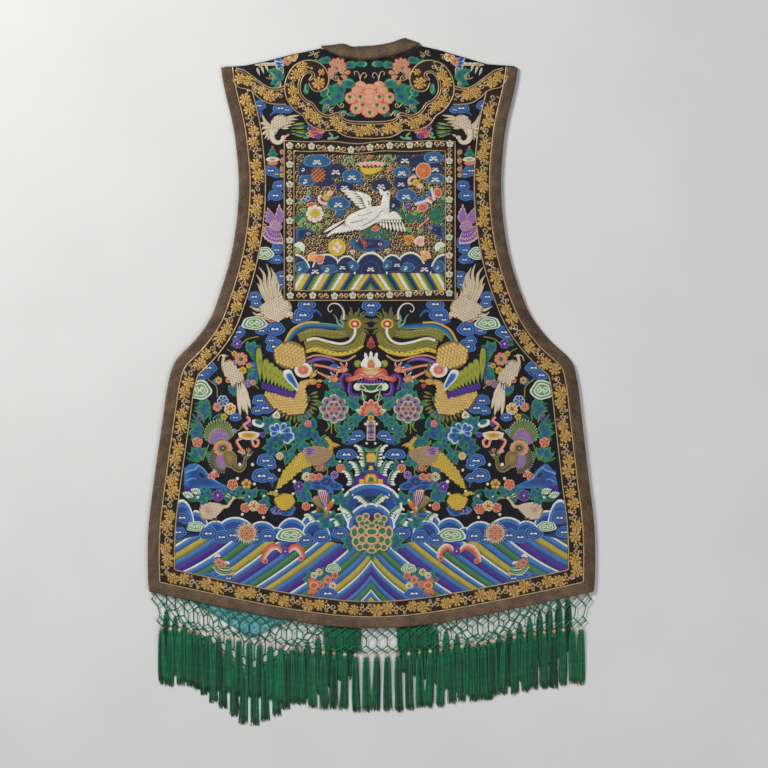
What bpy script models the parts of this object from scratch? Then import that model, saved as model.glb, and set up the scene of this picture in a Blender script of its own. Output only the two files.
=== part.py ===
"""A court vest (xiapei) laid flat, back up: cloth panels, bindings, rank badge, knotted net and tassels.

The frame: +X to the vest's right hand side as it lies, +Y towards the neck, +Z up. The origin is under
the middle of the vest, on the surface that it lies on. Named sizes are in millimetres and angles in
degrees; Blender's own units stay metres, and MM turns one into the other where points are made.
"""
import math
from collections import namedtuple

import bmesh
import bpy

MM = 0.001

# ---------------------------------------------------------------- driving sizes
LENGTH = 1137.6            # neck binding's highest point to the lowest tassel's tips
NECK_TOP = LENGTH / 2
TIPS_BOTTOM = -LENGTH / 2
CLOTH = 1.8                # back panel: satin, its embroidery and its lining
FRONT_CLOTH = 1.6          # front panel without its lining
LINING = 1.2
OVERLAY = 0.8              # bands, badge and bindings sewn on the back panel
SEAM = 0.3                 # clear space between pieces
LIFT = 0.45                # clear space under what lies on the curved panel
BACK_UNDER = FRONT_CLOTH + SEAM + LINING + SEAM
BACK_TOP = BACK_UNDER + CLOTH

BINDING_WIDTH = 18.0
LIP = 1.0                  # the binding's turned edge
LIP_ROUND = 0.1            # how much lower the binding is along that edge
BAND_WIDTH = 26.6          # gold-couched black band inside the binding
PANEL_INSET = LIP + SEAM
BAND_TOP = 460.0           # where the side bands end, under the yoke's wings

HEM_LOW = -405.0           # the back hem's lowest point, on the centre line
HEM_SLOPE = 0.24
HEM_ROUND = 33.5

FOLD_DEPTH = 6.0           # how far the shoulder's rolled fold reaches down
FOLD_EDGE = 2.0
FOLD_DROP = 2.0            # how far the fold rounds down at its very edge
FOLD_EDGE_DROP = 0.4       # and a little way in

SideRow = namedtuple("SideRow", "height half lean")
SIDE = [                   # half width and sideways lean of the outline at each height
    SideRow(519.5, 244.5, -3.4),
    SideRow(499.5, 242.0, -3.4),
    SideRow(466.5, 235.0, -3.4),
    SideRow(433.5, 227.0, -3.3),
    SideRow(400.5, 221.5, -3.1),
    SideRow(334.5, 216.3, -2.6),
    SideRow(268.5, 219.5, -2.6),
    SideRow(202.5, 231.0, -2.4),
    SideRow(136.5, 252.0, -1.4),
    SideRow(103.5, 267.0, 0.0),
    SideRow(70.5, 292.0, 1.4),
    SideRow(37.5, 325.0, 3.0),
    SideRow(4.5, 336.5, 2.4),
    SideRow(-61.5, 345.7, 1.4),
    SideRow(-160.5, 358.5, 0.0),
    SideRow(-226.5, 366.5, 0.0),
    SideRow(-270.0, 368.8, 0.0),
    SideRow(-325.0, 368.3, 0.0),
    SideRow(-344.0, 366.3, 0.0),
]
STATIONS = [519.5, 517.5, 513.5, 490, 460, 430, 400, 350, 300, 250, 204, 162, 126, 96, 72, 52, 35, 18, -4,
            -45, -92, -140, -190, -235, -275, -312, -344]

TopRow = namedtuple("TopRow", "across height fold")
TOP = [                    # the panel's upper edge: shoulders (folded over) and neck
    TopRow(-210.0, 522.5, True),
    TopRow(-172.0, 530.5, True),
    TopRow(-132.0, 541.0, True),
    TopRow(-83.0, 551.5, True),
    TopRow(-68.0, 542.5, False),
    TopRow(-46.0, 534.5, False),
    TopRow(-18.0, 530.9, False),
    TopRow(7.0, 531.8, False),
    TopRow(34.0, 537.2, False),
    TopRow(61.0, 546.1, False),
    TopRow(79.5, 556.0, True),
    TopRow(112.0, 548.5, True),
    TopRow(152.0, 536.5, True),
    TopRow(196.0, 523.5, True),
]

NeckRow = namedtuple("NeckRow", "across low high")
NECK = [                   # the neck binding's two edges
    NeckRow(-82.5, 552.6, 556.0),
    NeckRow(-68.0, 543.0, 557.0),
    NeckRow(-46.0, 535.0, 559.4),
    NeckRow(-32.0, 532.9, 554.9),
    NeckRow(-18.0, 531.4, 555.4),
    NeckRow(7.0, 532.3, 557.0),
    NeckRow(34.0, 537.7, 562.0),
    NeckRow(54.0, 543.9, NECK_TOP),
    NeckRow(61.0, 546.6, 567.0),
    NeckRow(79.0, 557.1, 561.0),
]
NECK_EDGE_HEIGHT = 4.4
NECK_CROWN_HEIGHT = 5.8

RidgeRow = namedtuple("RidgeRow", "across height along width rise heading")
RIDGES = [                 # the soft waves of the back panel as it lies
    RidgeRow(-225.0, -265.0, 120.0, 46.0, 1.3, 84.0),
    RidgeRow(-95.0, -330.0, 95.0, 44.0, 1.2, 96.0),
    RidgeRow(60.0, -300.0, 130.0, 48.0, 1.3, 88.0),
    RidgeRow(205.0, -250.0, 120.0, 46.0, 1.4, 97.0),
    RidgeRow(-235.0, -20.0, 110.0, 50.0, 1.0, 38.0),
    RidgeRow(245.0, -30.0, 110.0, 50.0, 1.1, 140.0),
    RidgeRow(-150.0, 250.0, 160.0, 52.0, 0.8, 92.0),
    RidgeRow(150.0, 230.0, 160.0, 52.0, 0.8, 86.0),
    RidgeRow(10.0, -90.0, 60.0, 90.0, 0.8, 90.0),
]

# ---------------------------------------------------------------- net and tassels
TASSELS = 42
STRANDS = 4
TASSEL_SPREAD = 361.0      # how the tassels are spaced across the hem
TASSEL_CROWDING = 15.4     # how much they close up at the two ends
NET_HEIGHT = 41.0
NET_END_DROP = 13.0
CORD_HALF = 1.0
CORD_DEPTH = 1.3
NET_TOP_SPREAD = 357.0
OUTER_KNOT = 0.42          # where the net's own edge runs, in tassel pitches outside the end columns
KNOT_REACH = 1.6           # how far a net's end knots reach past their own places
NET_FALL = 0.45            # how much lower the back net lies at its feet

BEAD_LENGTH = 4.2
BEAD_HALF = 2.0
NECK_HALF = 1.1
KNOB_LENGTH = 8.0
KNOB_HALF = 3.1
KNOB_DEPTH_HALF = 2.2
HEAD_HEIGHT = 4.25         # height of a head's axis over the surface
TASSEL_LENGTH = 96.0
UNEVEN = 2.0               # how much the tassels differ in length, and the turn from one to the next
UNEVEN_TURN = 1.7
SWAY = 0.25                # how far their tips lie aside, and the turn from one to the next
SWAY_TURN = 2.4
STRAND_PITCH_ROOT = 1.75
STRAND_PITCH_TIP = 2.1
STRAND_WIDTH = 1.2
StrandRow = namedtuple("StrandRow", "travel under over")
STRAND_DROP = [            # a back strand's underside and ridge, as a share of its travel to the tip
    StrandRow(0.0, 3.1, 5.4),
    StrandRow(0.52, 2.2, 4.4),
    StrandRow(1.0, 0.6, 2.3),
]
FRONT_DROP = [             # the same for the strands of the two fronts
    StrandRow(0.0, 0.35, 1.5),
    StrandRow(0.45, 0.4, 2.4),
    StrandRow(1.0, 0.3, 2.0),
]
FRONT_STRAND_SPACE = 1.0   # half the distance between a pair's middles
FRONT_STRAND_WIDTH = 1.4
HEADER_WIDTH = 2.4
HEADER_LOW = 0.35
HEADER_HIGH = 1.5
FRONT_NET_LOW = 0.0
FRONT_NET_HIGH = 1.3

FrontRow = namedtuple("FrontRow", "across hem heads")
FRONT_LEFT = [             # hem and line of tassel heads of the left front
    FrontRow(-352.0, -326.0, -366.0),
    FrontRow(-199.0, -421.0, -474.0),
    FrontRow(-43.0, -352.0, -392.0),
]
FRONT_RIGHT = [
    FrontRow(45.0, -325.0, -378.0),
    FrontRow(182.0, -378.0, -431.0),
    FrontRow(345.0, -288.0, -340.0),
]
FRONT_LEFT_COLUMNS = (0.5, 18.5)
FRONT_RIGHT_COLUMNS = (23.5, 39.5)
FRONT_INSET = 5.6          # the fronts' sides lie this far inside the back's
FRONT_NECK_DROP = 470.0
FRONT_NECK_EDGE = 34.0
FRONT_TOP_CLEAR = 9.0
FRONT_SHOULDER = (90.0, 150.0)   # where the front's shoulder edge has its corners
FRONT_CORNER = 12.0        # the front's last side point is this far above its hem
LINING_INSET = 3.0

# ---------------------------------------------------------------- yoke and badge
YokeRow = namedtuple("YokeRow", "outer_across outer_height inner_across inner_height")
YOKE_CENTRE = -3.3
SCROLL = [                 # the cloud collar's band from its curled end to the middle of its lower lobe
    YokeRow(100.0, 494.0, 99.6, 499.0),
    YokeRow(94.5, 483.0, 98.2, 502.0),
    YokeRow(84.0, 479.5, 96.6, 504.4),
    YokeRow(71.5, 485.0, 95.0, 506.2),
    YokeRow(66.0, 500.0, 94.4, 507.6),
    YokeRow(71.5, 517.0, 95.0, 509.0),
    YokeRow(84.0, 528.4, 97.5, 510.2),
    YokeRow(101.0, 532.0, 102.5, 510.0),
    YokeRow(121.5, 525.0, 107.5, 506.5),
    YokeRow(134.5, 508.0, 111.5, 499.0),
    YokeRow(140.0, 490.0, 113.5, 489.0),
    YokeRow(137.5, 470.0, 112.0, 477.0),
    YokeRow(125.0, 450.5, 103.5, 466.5),
    YokeRow(110.0, 439.6, 93.0, 461.5),
    YokeRow(101.0, 426.5, 87.0, 452.5),
    YokeRow(87.0, 418.5, 78.5, 444.5),
    YokeRow(71.5, 415.0, 66.5, 441.5),
    YokeRow(56.5, 415.6, 51.5, 446.0),
    YokeRow(45.0, 408.6, 43.5, 436.5),
    YokeRow(31.0, 403.8, 29.5, 431.8),
    YokeRow(0.0, 402.0, 0.0, 430.8),
]
WING = [                   # upper and lower edges of the yoke's wing, armhole to scroll
    YokeRow(215.0, 510.5, 223.5, 502.0),
    YokeRow(198.5, 509.0, 216.0, 488.5),
    YokeRow(184.0, 501.5, 197.5, 482.0),
    YokeRow(174.5, 492.0, 183.5, 469.0),
    YokeRow(163.0, 486.0, 169.5, 462.0),
    YokeRow(152.0, 486.5, 154.5, 458.8),
    YokeRow(143.8, 489.0, 140.5, 458.4),
]
BADGE_CENTRE = -2.8
BADGE_WIDTH = 283.0
BADGE_LOW = 135.0
BADGE_HIGH = 398.6
BADGE_BORDER = 17.3
BADGE_CELLS = 6            # how finely the badge and its border follow the panel's waves
BORDER_STEPS = 4


# ---------------------------------------------------------------- small geometry
def smooth(rows, field, at):
    """The value of a table's field at a height, on a smooth curve through its rows."""
    rows = sorted(rows, key=lambda row: row.height)
    heights = [row.height for row in rows]
    values = [getattr(row, field) for row in rows]
    if at <= heights[0]:
        return values[0]
    if at >= heights[-1]:
        return values[-1]
    k = max(i for i, height in enumerate(heights[:-1]) if height <= at)

    def tangent(i):
        low, high = max(i - 1, 0), min(i + 1, len(rows) - 1)
        return (values[high] - values[low]) / (heights[high] - heights[low])

    step = heights[k + 1] - heights[k]
    t = (at - heights[k]) / step
    return ((2 * t ** 3 - 3 * t ** 2 + 1) * values[k] + (t ** 3 - 2 * t ** 2 + t) * step * tangent(k)
            + (3 * t ** 2 - 2 * t ** 3) * values[k + 1] + (t ** 3 - t ** 2) * step * tangent(k + 1))


def straight(pairs, at):
    """The value at a place on the straight runs between (place, value) pairs."""
    pairs = sorted(pairs)
    if at <= pairs[0][0]:
        return pairs[0][1]
    for (a, value_a), (b, value_b) in zip(pairs, pairs[1:]):
        if at <= b:
            return value_a + (value_b - value_a) * (at - a) / (b - a)
    return pairs[-1][1]


def hem_height(across):
    """The back hem: two straight runs that meet in a round at the centre line."""
    return HEM_LOW + math.hypot(HEM_ROUND, HEM_SLOPE * across) - HEM_ROUND


def top_height(across):
    """The panel's upper edge, shoulders and neck."""
    ends = [(-400.0, SIDE[0].height), (-SIDE[0].half, SIDE[0].height), (SIDE[0].half - 7, SIDE[0].height)]
    return straight(ends + [(row.across, row.height) for row in TOP] + [(400.0, SIDE[0].height)], across)


def cloth_rise(across, height):
    """How far the back panel's soft waves lift it off the fronts."""
    total = 0.0
    for ridge in RIDGES:
        turn = math.radians(ridge.heading)
        dx, dy = across - ridge.across, height - ridge.height
        along = dx * math.cos(turn) + dy * math.sin(turn)
        aside = dy * math.cos(turn) - dx * math.sin(turn)
        total += ridge.rise * math.exp(-(along / ridge.along) ** 2 / 2 - (aside / ridge.width) ** 2 / 2)
    return total


def fold_fall(below):
    """How far the upper face drops towards the shoulder's fold."""
    return straight([(0.0, FOLD_DROP), (FOLD_EDGE, FOLD_EDGE_DROP), (FOLD_DEPTH, 0.0)], below)


def surface(across, height):
    """The height of the back panel's upper face."""
    return BACK_TOP + cloth_rise(across, height) - fold_fall(top_height(across) - height)


def outline():
    """The back's outline: left side down, hem, right side up, with the panel's own columns on the hem."""
    left = [(side_edge(-1, y, 0.0), y) for y in STATIONS]
    right = [(side_edge(1, y, 0.0), y) for y in STATIONS]
    hem = [(share * SIDE[-1].half, hem_height(share * SIDE[-1].half)) for share in column_shares()[1:-1]]
    return left + hem + right[::-1]


def column_shares():
    """Each grid column's place across the panel, from -1 at the left edge to 1 at the right."""
    inner = [(row.across - SIDE[0].lean) / SIDE[0].half for row in TOP]
    return [-1.0] + inner + [1.0]


def inset(points, distance):
    """The outline moved inwards; its two shoulder ends slide along the shoulder instead."""
    moved = []
    for i, (x, y) in enumerate(points):
        if i in (0, len(points) - 1):
            moved.append((x + (distance if i == 0 else -distance), y))
            continue
        before = unit(points[i - 1], (x, y))
        after = unit((x, y), points[i + 1])
        normal_x, normal_y = -(before[1] + after[1]), before[0] + after[0]
        scale = 2 * distance / (normal_x ** 2 + normal_y ** 2)
        moved.append((x + normal_x * scale, y + normal_y * scale))
    return moved


def unit(start, end):
    """The direction from one point to another, one long."""
    dx, dy = end[0] - start[0], end[1] - start[1]
    size = math.hypot(dx, dy)
    return dx / size, dy / size


# ---------------------------------------------------------------- meshes
class Solid:
    """A mesh in the making, with points given in millimetres."""

    def __init__(self):
        self.mesh = bmesh.new()

    def point(self, x, y, z):
        return self.mesh.verts.new((x * MM, y * MM, z * MM))

    def face(self, *corners):
        return self.mesh.faces.new(corners)

    def finish(self, name, material):
        """Make the object, its faces outward, with quads and larger faces cut to triangles."""
        bmesh.ops.triangulate(self.mesh, faces=self.mesh.faces[:])
        bmesh.ops.recalc_face_normals(self.mesh, faces=self.mesh.faces[:])
        data = bpy.data.meshes.new(name)
        self.mesh.to_mesh(data)
        self.mesh.free()
        data.materials.append(material)
        thing = bpy.data.objects.new(name, data)
        bpy.context.scene.collection.objects.link(thing)
        return thing


def strip(name, material, sections, closed=False):
    """A solid lofted through sections that all have the same number of points."""
    solid = Solid()
    rings = [[solid.point(*corner) for corner in section] for section in sections]
    count = len(rings[0])
    pairs = list(zip(rings, rings[1:])) + ([(rings[-1], rings[0])] if closed else [])
    for ring, following in pairs:
        for k in range(count):
            solid.face(ring[k], ring[(k + 1) % count], following[(k + 1) % count], following[k])
    if not closed:
        solid.face(*reversed(rings[0]))
        solid.face(*rings[-1])
    return solid.finish(name, material)


def plate(name, material, points, low, high):
    """A flat piece cut to an outline."""
    solid = Solid()
    under = [solid.point(x, y, low) for x, y in points]
    over = [solid.point(x, y, high) for x, y in points]
    solid.face(*reversed(under))
    solid.face(*over)
    for k in range(len(points)):
        following = (k + 1) % len(points)
        solid.face(under[k], under[following], over[following], over[k])
    return solid.finish(name, material)


def slab(name, material, over, under):
    """A solid between two grids of points, rows by columns."""
    solid = Solid()
    top = [[solid.point(*place) for place in row] for row in over]
    low = [[solid.point(*place) for place in row] for row in under]
    rows, columns = len(top), len(top[0])
    for r in range(rows - 1):
        for c in range(columns - 1):
            solid.face(top[r][c], top[r + 1][c], top[r + 1][c + 1], top[r][c + 1])
            solid.face(low[r][c], low[r][c + 1], low[r + 1][c + 1], low[r + 1][c])
    rim = ([(0, c) for c in range(columns)] + [(r, columns - 1) for r in range(1, rows)]
           + [(rows - 1, c) for c in range(columns - 2, -1, -1)] + [(r, 0) for r in range(rows - 2, 0, -1)])
    for (r, c), (s, d) in zip(rim, rim[1:] + rim[:1]):
        solid.face(top[r][c], top[s][d], low[s][d], low[r][c])
    return solid.finish(name, material)


# ---------------------------------------------------------------- cloth pieces
def back_panel(material):
    """The back, with its shoulders rolled over towards the fronts."""
    edge = inset(outline(), PANEL_INSET)
    rows, columns = len(STATIONS), len(column_shares())
    shares = column_shares()
    over, under = [], []
    for r, station in enumerate(STATIONS):
        travel = (STATIONS[0] - station) / (STATIONS[0] - STATIONS[-1])
        over.append([])
        under.append([])
        for c, share in enumerate(shares):
            if c == 0:
                x, y = edge[r]
            elif c == columns - 1:
                x, y = edge[-1 - r]
            elif r == rows - 1:
                x, y = edge[rows - 1 + c]
            else:
                start = TOP[c - 1].height
                end = edge[rows - 1 + c][1]
                y = start - (STATIONS[0] - station) if r <= 2 else start + (end - start) * travel
                x = smooth(SIDE, "lean", y) + share * (smooth(SIDE, "half", y) - PANEL_INSET)
            folded = r <= 1 and (c in (0, columns - 1) or TOP[c - 1].fold)
            over[-1].append((x, y, surface(x, y)))
            under[-1].append((x, y, 0.0 if folded else BACK_UNDER + cloth_rise(x, y)))
    return slab("back_panel", material, over, under)


def side_edge(side, height, clear):
    """A side edge's place across, moved in from the back's own."""
    return smooth(SIDE, "lean", height) + side * (smooth(SIDE, "half", height) - clear)


def front_outline(side, hem_rows, extra):
    """A front's cut: shoulder, neck, front edge, pointed hem and side, inset by a few millimetres more."""
    clear = FRONT_INSET + extra
    sides = [(side_edge(side, y, clear), y) for y in STATIONS if y < STATIONS[0] - FOLD_DEPTH - clear]
    hem = [(row.across, row.hem + extra) for row in hem_rows]
    hem = hem if side < 0 else hem[::-1]
    corner_y = hem[0][1]
    down = [place for place in sides if place[1] > corner_y + FRONT_CORNER]
    corner = (side_edge(side, corner_y, clear), corner_y)
    neck = (side * (FRONT_NECK_EDGE + extra), FRONT_NECK_DROP - extra)
    top = [(side * across, top_height(side * across) - FRONT_TOP_CLEAR - extra) for across in FRONT_SHOULDER]
    points = down + [corner] + hem + [neck] + top
    return points if side < 0 else points[::-1]


def edge_binding(material):
    """The woven metal-thread binding round the sides and hem, turned over the panel's edge."""
    outer, lip, inner = outline(), inset(outline(), LIP), inset(outline(), BINDING_WIDTH)
    sections = []
    for (x0, y0), (x1, y1), (x2, y2) in zip(outer, lip, inner):
        under = BACK_UNDER + cloth_rise(x0, y0)
        ledge = surface(x1, y1) + LIFT
        sections.append([(x0, y0, under), (x0, y0, ledge + OVERLAY - LIP_ROUND),
                         (x2, y2, surface(x2, y2) + LIFT + OVERLAY), (x2, y2, surface(x2, y2) + LIFT),
                         (x1, y1, ledge), (x1, y1, under)])
    return strip("edge_binding", material, sections)


def laid_section(outer, inner, rest=LIFT):
    """Four corners of a ribbon that lies on the back panel."""
    (x0, y0), (x1, y1) = outer, inner
    z0, z1 = surface(x0, y0) + rest, surface(x1, y1) + rest
    return [(x0, y0, z0), (x0, y0, z0 + OVERLAY), (x1, y1, z1 + OVERLAY), (x1, y1, z1)]


def border_band(material):
    """The black band with gold couching inside the binding."""
    outer = inset(outline(), BINDING_WIDTH + LIFT)
    inner = inset(outline(), BINDING_WIDTH + BAND_WIDTH)
    first = STATIONS.index(BAND_TOP)
    pairs = list(zip(outer, inner))[first:len(outer) - first]
    return strip("border_band", material, [laid_section(a, b) for a, b in pairs])


def yoke_ribbon(name, material, places):
    """A ribbon of the yoke between its two edges; each place is a side and a row."""
    return strip(name, material, [laid_section(
        (YOKE_CENTRE + side * row.outer_across, row.outer_height),
        (YOKE_CENTRE + side * row.inner_across, row.inner_height)) for side, row in places])


def rank_badge(material):
    """The square rank badge on the back."""
    over, under = [], []
    for r in range(BADGE_CELLS + 1):
        y = BADGE_HIGH + (BADGE_LOW - BADGE_HIGH) * r / BADGE_CELLS
        places = [BADGE_CENTRE + BADGE_WIDTH * (c / BADGE_CELLS - 0.5) for c in range(BADGE_CELLS + 1)]
        over.append([(x, y, surface(x, y) + LIFT + OVERLAY) for x in places])
        under.append([(x, y, surface(x, y) + LIFT) for x in places])
    return slab("rank_badge", material, over, under)


def badge_border(material):
    """The flowered border round the badge, a ribbon mitred at its corners."""
    sections = []
    middle = (BADGE_HIGH + BADGE_LOW) / 2
    half_x, half_y = BADGE_WIDTH / 2, (BADGE_HIGH - BADGE_LOW) / 2
    corners = [(-1, -1), (1, -1), (1, 1), (-1, 1)]
    for (ax, ay), (bx, by) in zip(corners, corners[1:] + corners[:1]):
        for k in range(BORDER_STEPS):
            px, py = ax + (bx - ax) * k / BORDER_STEPS, ay + (by - ay) * k / BORDER_STEPS
            outer = (BADGE_CENTRE + px * half_x, middle + py * half_y)
            inner = (BADGE_CENTRE + px * (half_x - BADGE_BORDER), middle + py * (half_y - BADGE_BORDER))
            sections.append(laid_section(outer, inner, 2 * LIFT + OVERLAY))
    return strip("badge_border", material, sections, closed=True)


def neck_binding(material):
    """The folded binding of the neck, wavy along its upper edge."""
    sections = []
    for row in NECK:
        middle = (row.low + row.high) / 2
        sections.append([(row.across, row.low, 0.0), (row.across, row.low, NECK_EDGE_HEIGHT),
                         (row.across, middle, NECK_CROWN_HEIGHT), (row.across, row.high, NECK_EDGE_HEIGHT),
                         (row.across, row.high, 0.0)])
    return strip("neck_binding", material, sections)


# ---------------------------------------------------------------- net
def tassel_across(index):
    """A tassel's place across the hem; whole numbers are the back's, halves lie between them."""
    share = (index - (TASSELS - 1) / 2) / ((TASSELS - 1) / 2)
    return TASSEL_SPREAD * share - TASSEL_CROWDING * share ** 5


def back_head(index):
    """Where the back net's lowest point of a column is."""
    share = (index - (TASSELS - 1) / 2) / ((TASSELS - 1) / 2)
    top = hem_height(NET_TOP_SPREAD * share)
    return tassel_across(index), top - NET_HEIGHT - NET_END_DROP * share ** 4


def front_line(rows, field, across):
    """A front's hem or line of heads at a place across it."""
    return straight([(row.across, getattr(row, field)) for row in rows], across)


NET_LEVELS = dict(peak=0.0, upper=0.19, fork=0.37, join=0.71, lower=0.86, foot=1.0)
FRONT_NET_LEVELS = dict(NET_LEVELS, upper=0.0, fork=0.24)


def back_net_place(index, level):
    """A knot of the back net, at a share of the way from the hem to the heads."""
    share = (index - (TASSELS - 1) / 2) / ((TASSELS - 1) / 2)
    top_x = NET_TOP_SPREAD * share
    top_y = hem_height(top_x) - SEAM - KNOT_REACH
    foot_x, foot_y = back_head(index)
    under = BACK_UNDER + SEAM - NET_FALL * level + cloth_rise(top_x, top_y) * (1 - level)
    x, y = top_x + (foot_x - top_x) * level, top_y + (foot_y - top_y) * level
    return x, y, under, under + CORD_DEPTH


def front_net_place(rows):
    """The same for a front's net, which lies on the surface."""
    def place(index, level):
        x = tassel_across(index)
        top = front_line(rows, "hem", x) - SEAM - KNOT_REACH
        return x, top + (front_line(rows, "heads", x) - top) * level, FRONT_NET_LOW, FRONT_NET_HIGH
    return place


def net_cords(first, last, place, with_peaks):
    """The knots of a net and the cords between them."""
    knots, cords = {}, []
    whole = [first + k for k in range(int(round(last - first)) + 1)]
    between = [first - OUTER_KNOT] + [i + 0.5 for i in whole[:-1]] + [last + OUTER_KNOT]
    levels = NET_LEVELS if with_peaks else FRONT_NET_LEVELS
    for i in whole:
        for kind in ("peak", "fork", "join", "foot"):
            if with_peaks or kind != "peak":
                knots[kind, i] = place(i, levels[kind])
    for k, i in enumerate(between):
        for kind in ("upper", "lower"):
            if kind == "lower" or with_peaks or 0 < k < len(whole):
                knots[kind, k] = place(i, levels[kind])
    for k, i in enumerate(whole):
        for side in (k, k + 1):
            if with_peaks:
                cords.append((("peak", i), ("upper", side)))
            if ("upper", side) in knots:
                cords.append((("upper", side), ("fork", i)))
            cords.append((("join", i), ("lower", side)))
            cords.append((("lower", side), ("foot", i)))
        cords.append((("fork", i), ("join", i)))
    return knots, cords


def net(name, material, first, last, place, with_peaks):
    """A knotted net as one solid: each cord a flat bar, and each knot the piece where bars meet."""
    knots, cords = net_cords(first, last, place, with_peaks)
    solid = Solid()
    around = {key: [] for key in knots}
    for a, b in cords:
        around[a].append(b)
        around[b].append(a)
    corners = {}
    for key, neighbours in around.items():
        x, y, low, high = knots[key]
        neighbours.sort(key=lambda other: math.atan2(knots[other][1] - y, knots[other][0] - x))
        for k, other in enumerate(neighbours):
            following = neighbours[(k + 1) % len(neighbours)]
            start = math.atan2(knots[other][1] - y, knots[other][0] - x)
            wedge = (math.atan2(knots[following][1] - y, knots[following][0] - x) - start) % (2 * math.pi)
            reach = CORD_HALF / math.sin(wedge / 2)
            px, py = x + reach * math.cos(start + wedge / 2), y + reach * math.sin(start + wedge / 2)
            corners[key, other, "left"] = (solid.point(px, py, high), solid.point(px, py, low))
            corners[key, following, "right"] = corners[key, other, "left"]
        if len(neighbours) > 2:
            ring = [corners[key, other, "left"] for other in neighbours]
            solid.face(*[corner[0] for corner in ring])
            solid.face(*[corner[1] for corner in reversed(ring)])
    for a, b in cords:
        loop = [corners[a, b, "right"], corners[b, a, "left"], corners[b, a, "right"], corners[a, b, "left"]]
        solid.face(*[corner[0] for corner in loop])
        solid.face(*[corner[1] for corner in reversed(loop)])
        for start, end in ((loop[0], loop[1]), (loop[2], loop[3])):
            solid.face(end[0], start[0], start[1], end[1])
    return solid.finish(name, material)


# ---------------------------------------------------------------- tassels
def strand(solid, root, path):
    """A three-sided strand grown out of a root triangle, through the triangles of its path."""
    ring = root
    for corners in path:
        following = [solid.point(*corner) for corner in corners]
        for k in range(3):
            solid.face(ring[k], ring[(k + 1) % 3], following[(k + 1) % 3], following[k])
        ring = following
    solid.face(*ring)


def strand_triangle(x, y, width, drop):
    """A strand's section: two corners underneath and a ridge."""
    return [(x - width / 2, y, drop.under), (x + width / 2, y, drop.under), (x, y, drop.over)]


def head_ring(solid, x, y, half, depth):
    """A four-cornered ring of a tassel's head, seen from its strands."""
    return [solid.point(x - half, y, HEAD_HEIGHT - depth), solid.point(x + half, y, HEAD_HEIGHT - depth),
            solid.point(x + half, y, HEAD_HEIGHT + depth), solid.point(x - half, y, HEAD_HEIGHT + depth)]


def tassel(name, material, index):
    """A tassel: bead, bound knob and the strands that part from it."""
    solid = Solid()
    x, foot = back_head(index)
    top = foot - KNOT_REACH - SEAM
    sway = SWAY * math.sin(SWAY_TURN * index)
    length = TASSEL_LENGTH + UNEVEN * math.sin(UNEVEN_TURN * index) - BEAD_LENGTH - KNOB_LENGTH
    neck = top - BEAD_LENGTH
    root = neck - KNOB_LENGTH
    places = [k - (STRANDS - 1) / 2 for k in range(STRANDS)]
    first = STRAND_DROP[0]
    base = [[solid.point(*corner) for corner in
             strand_triangle(x + place * STRAND_PITCH_ROOT, root, STRAND_WIDTH, first)] for place in places]
    for left, right in zip(base, base[1:]):
        solid.face(left[1], right[0], right[2], left[2])
    rings = [head_ring(solid, x, root + KNOB_LENGTH / 2, KNOB_HALF, KNOB_DEPTH_HALF),
             head_ring(solid, x, neck, NECK_HALF, NECK_HALF),
             head_ring(solid, x, neck + BEAD_LENGTH / 2, BEAD_HALF, BEAD_HALF),
             head_ring(solid, x, top, NECK_HALF, NECK_HALF)]
    knob = rings[0]
    low = [corner for triangle in base for corner in triangle[:2]]
    ridge = [triangle[2] for triangle in base]
    half = STRANDS // 2
    for side, corner in ((low[:STRANDS], knob[0]), (low[STRANDS:], knob[1]),
                         (ridge[::-1][:half], knob[2]), (ridge[::-1][half:], knob[3])):
        for a, b in zip(side, side[1:]):
            solid.face(a, b, corner)
    solid.face(low[STRANDS - 1], low[STRANDS], knob[1], knob[0])
    solid.face(low[-1], ridge[-1], knob[2], knob[1])
    solid.face(ridge[half], ridge[half - 1], knob[3], knob[2])
    solid.face(ridge[0], low[0], knob[0], knob[3])
    for ring, following in zip(rings, rings[1:]):
        for k in range(4):
            solid.face(ring[k], ring[(k + 1) % 4], following[(k + 1) % 4], following[k])
    solid.face(*rings[-1])
    for place, triangle in zip(places, base):
        path = []
        for drop in STRAND_DROP[1:]:
            pitch = STRAND_PITCH_ROOT + (STRAND_PITCH_TIP - STRAND_PITCH_ROOT) * drop.travel
            path.append(strand_triangle(x + place * pitch + sway * drop.travel,
                                        root - length * drop.travel, STRAND_WIDTH, drop))
        strand(solid, triangle, path)
    return solid.finish(name, material)


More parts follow.
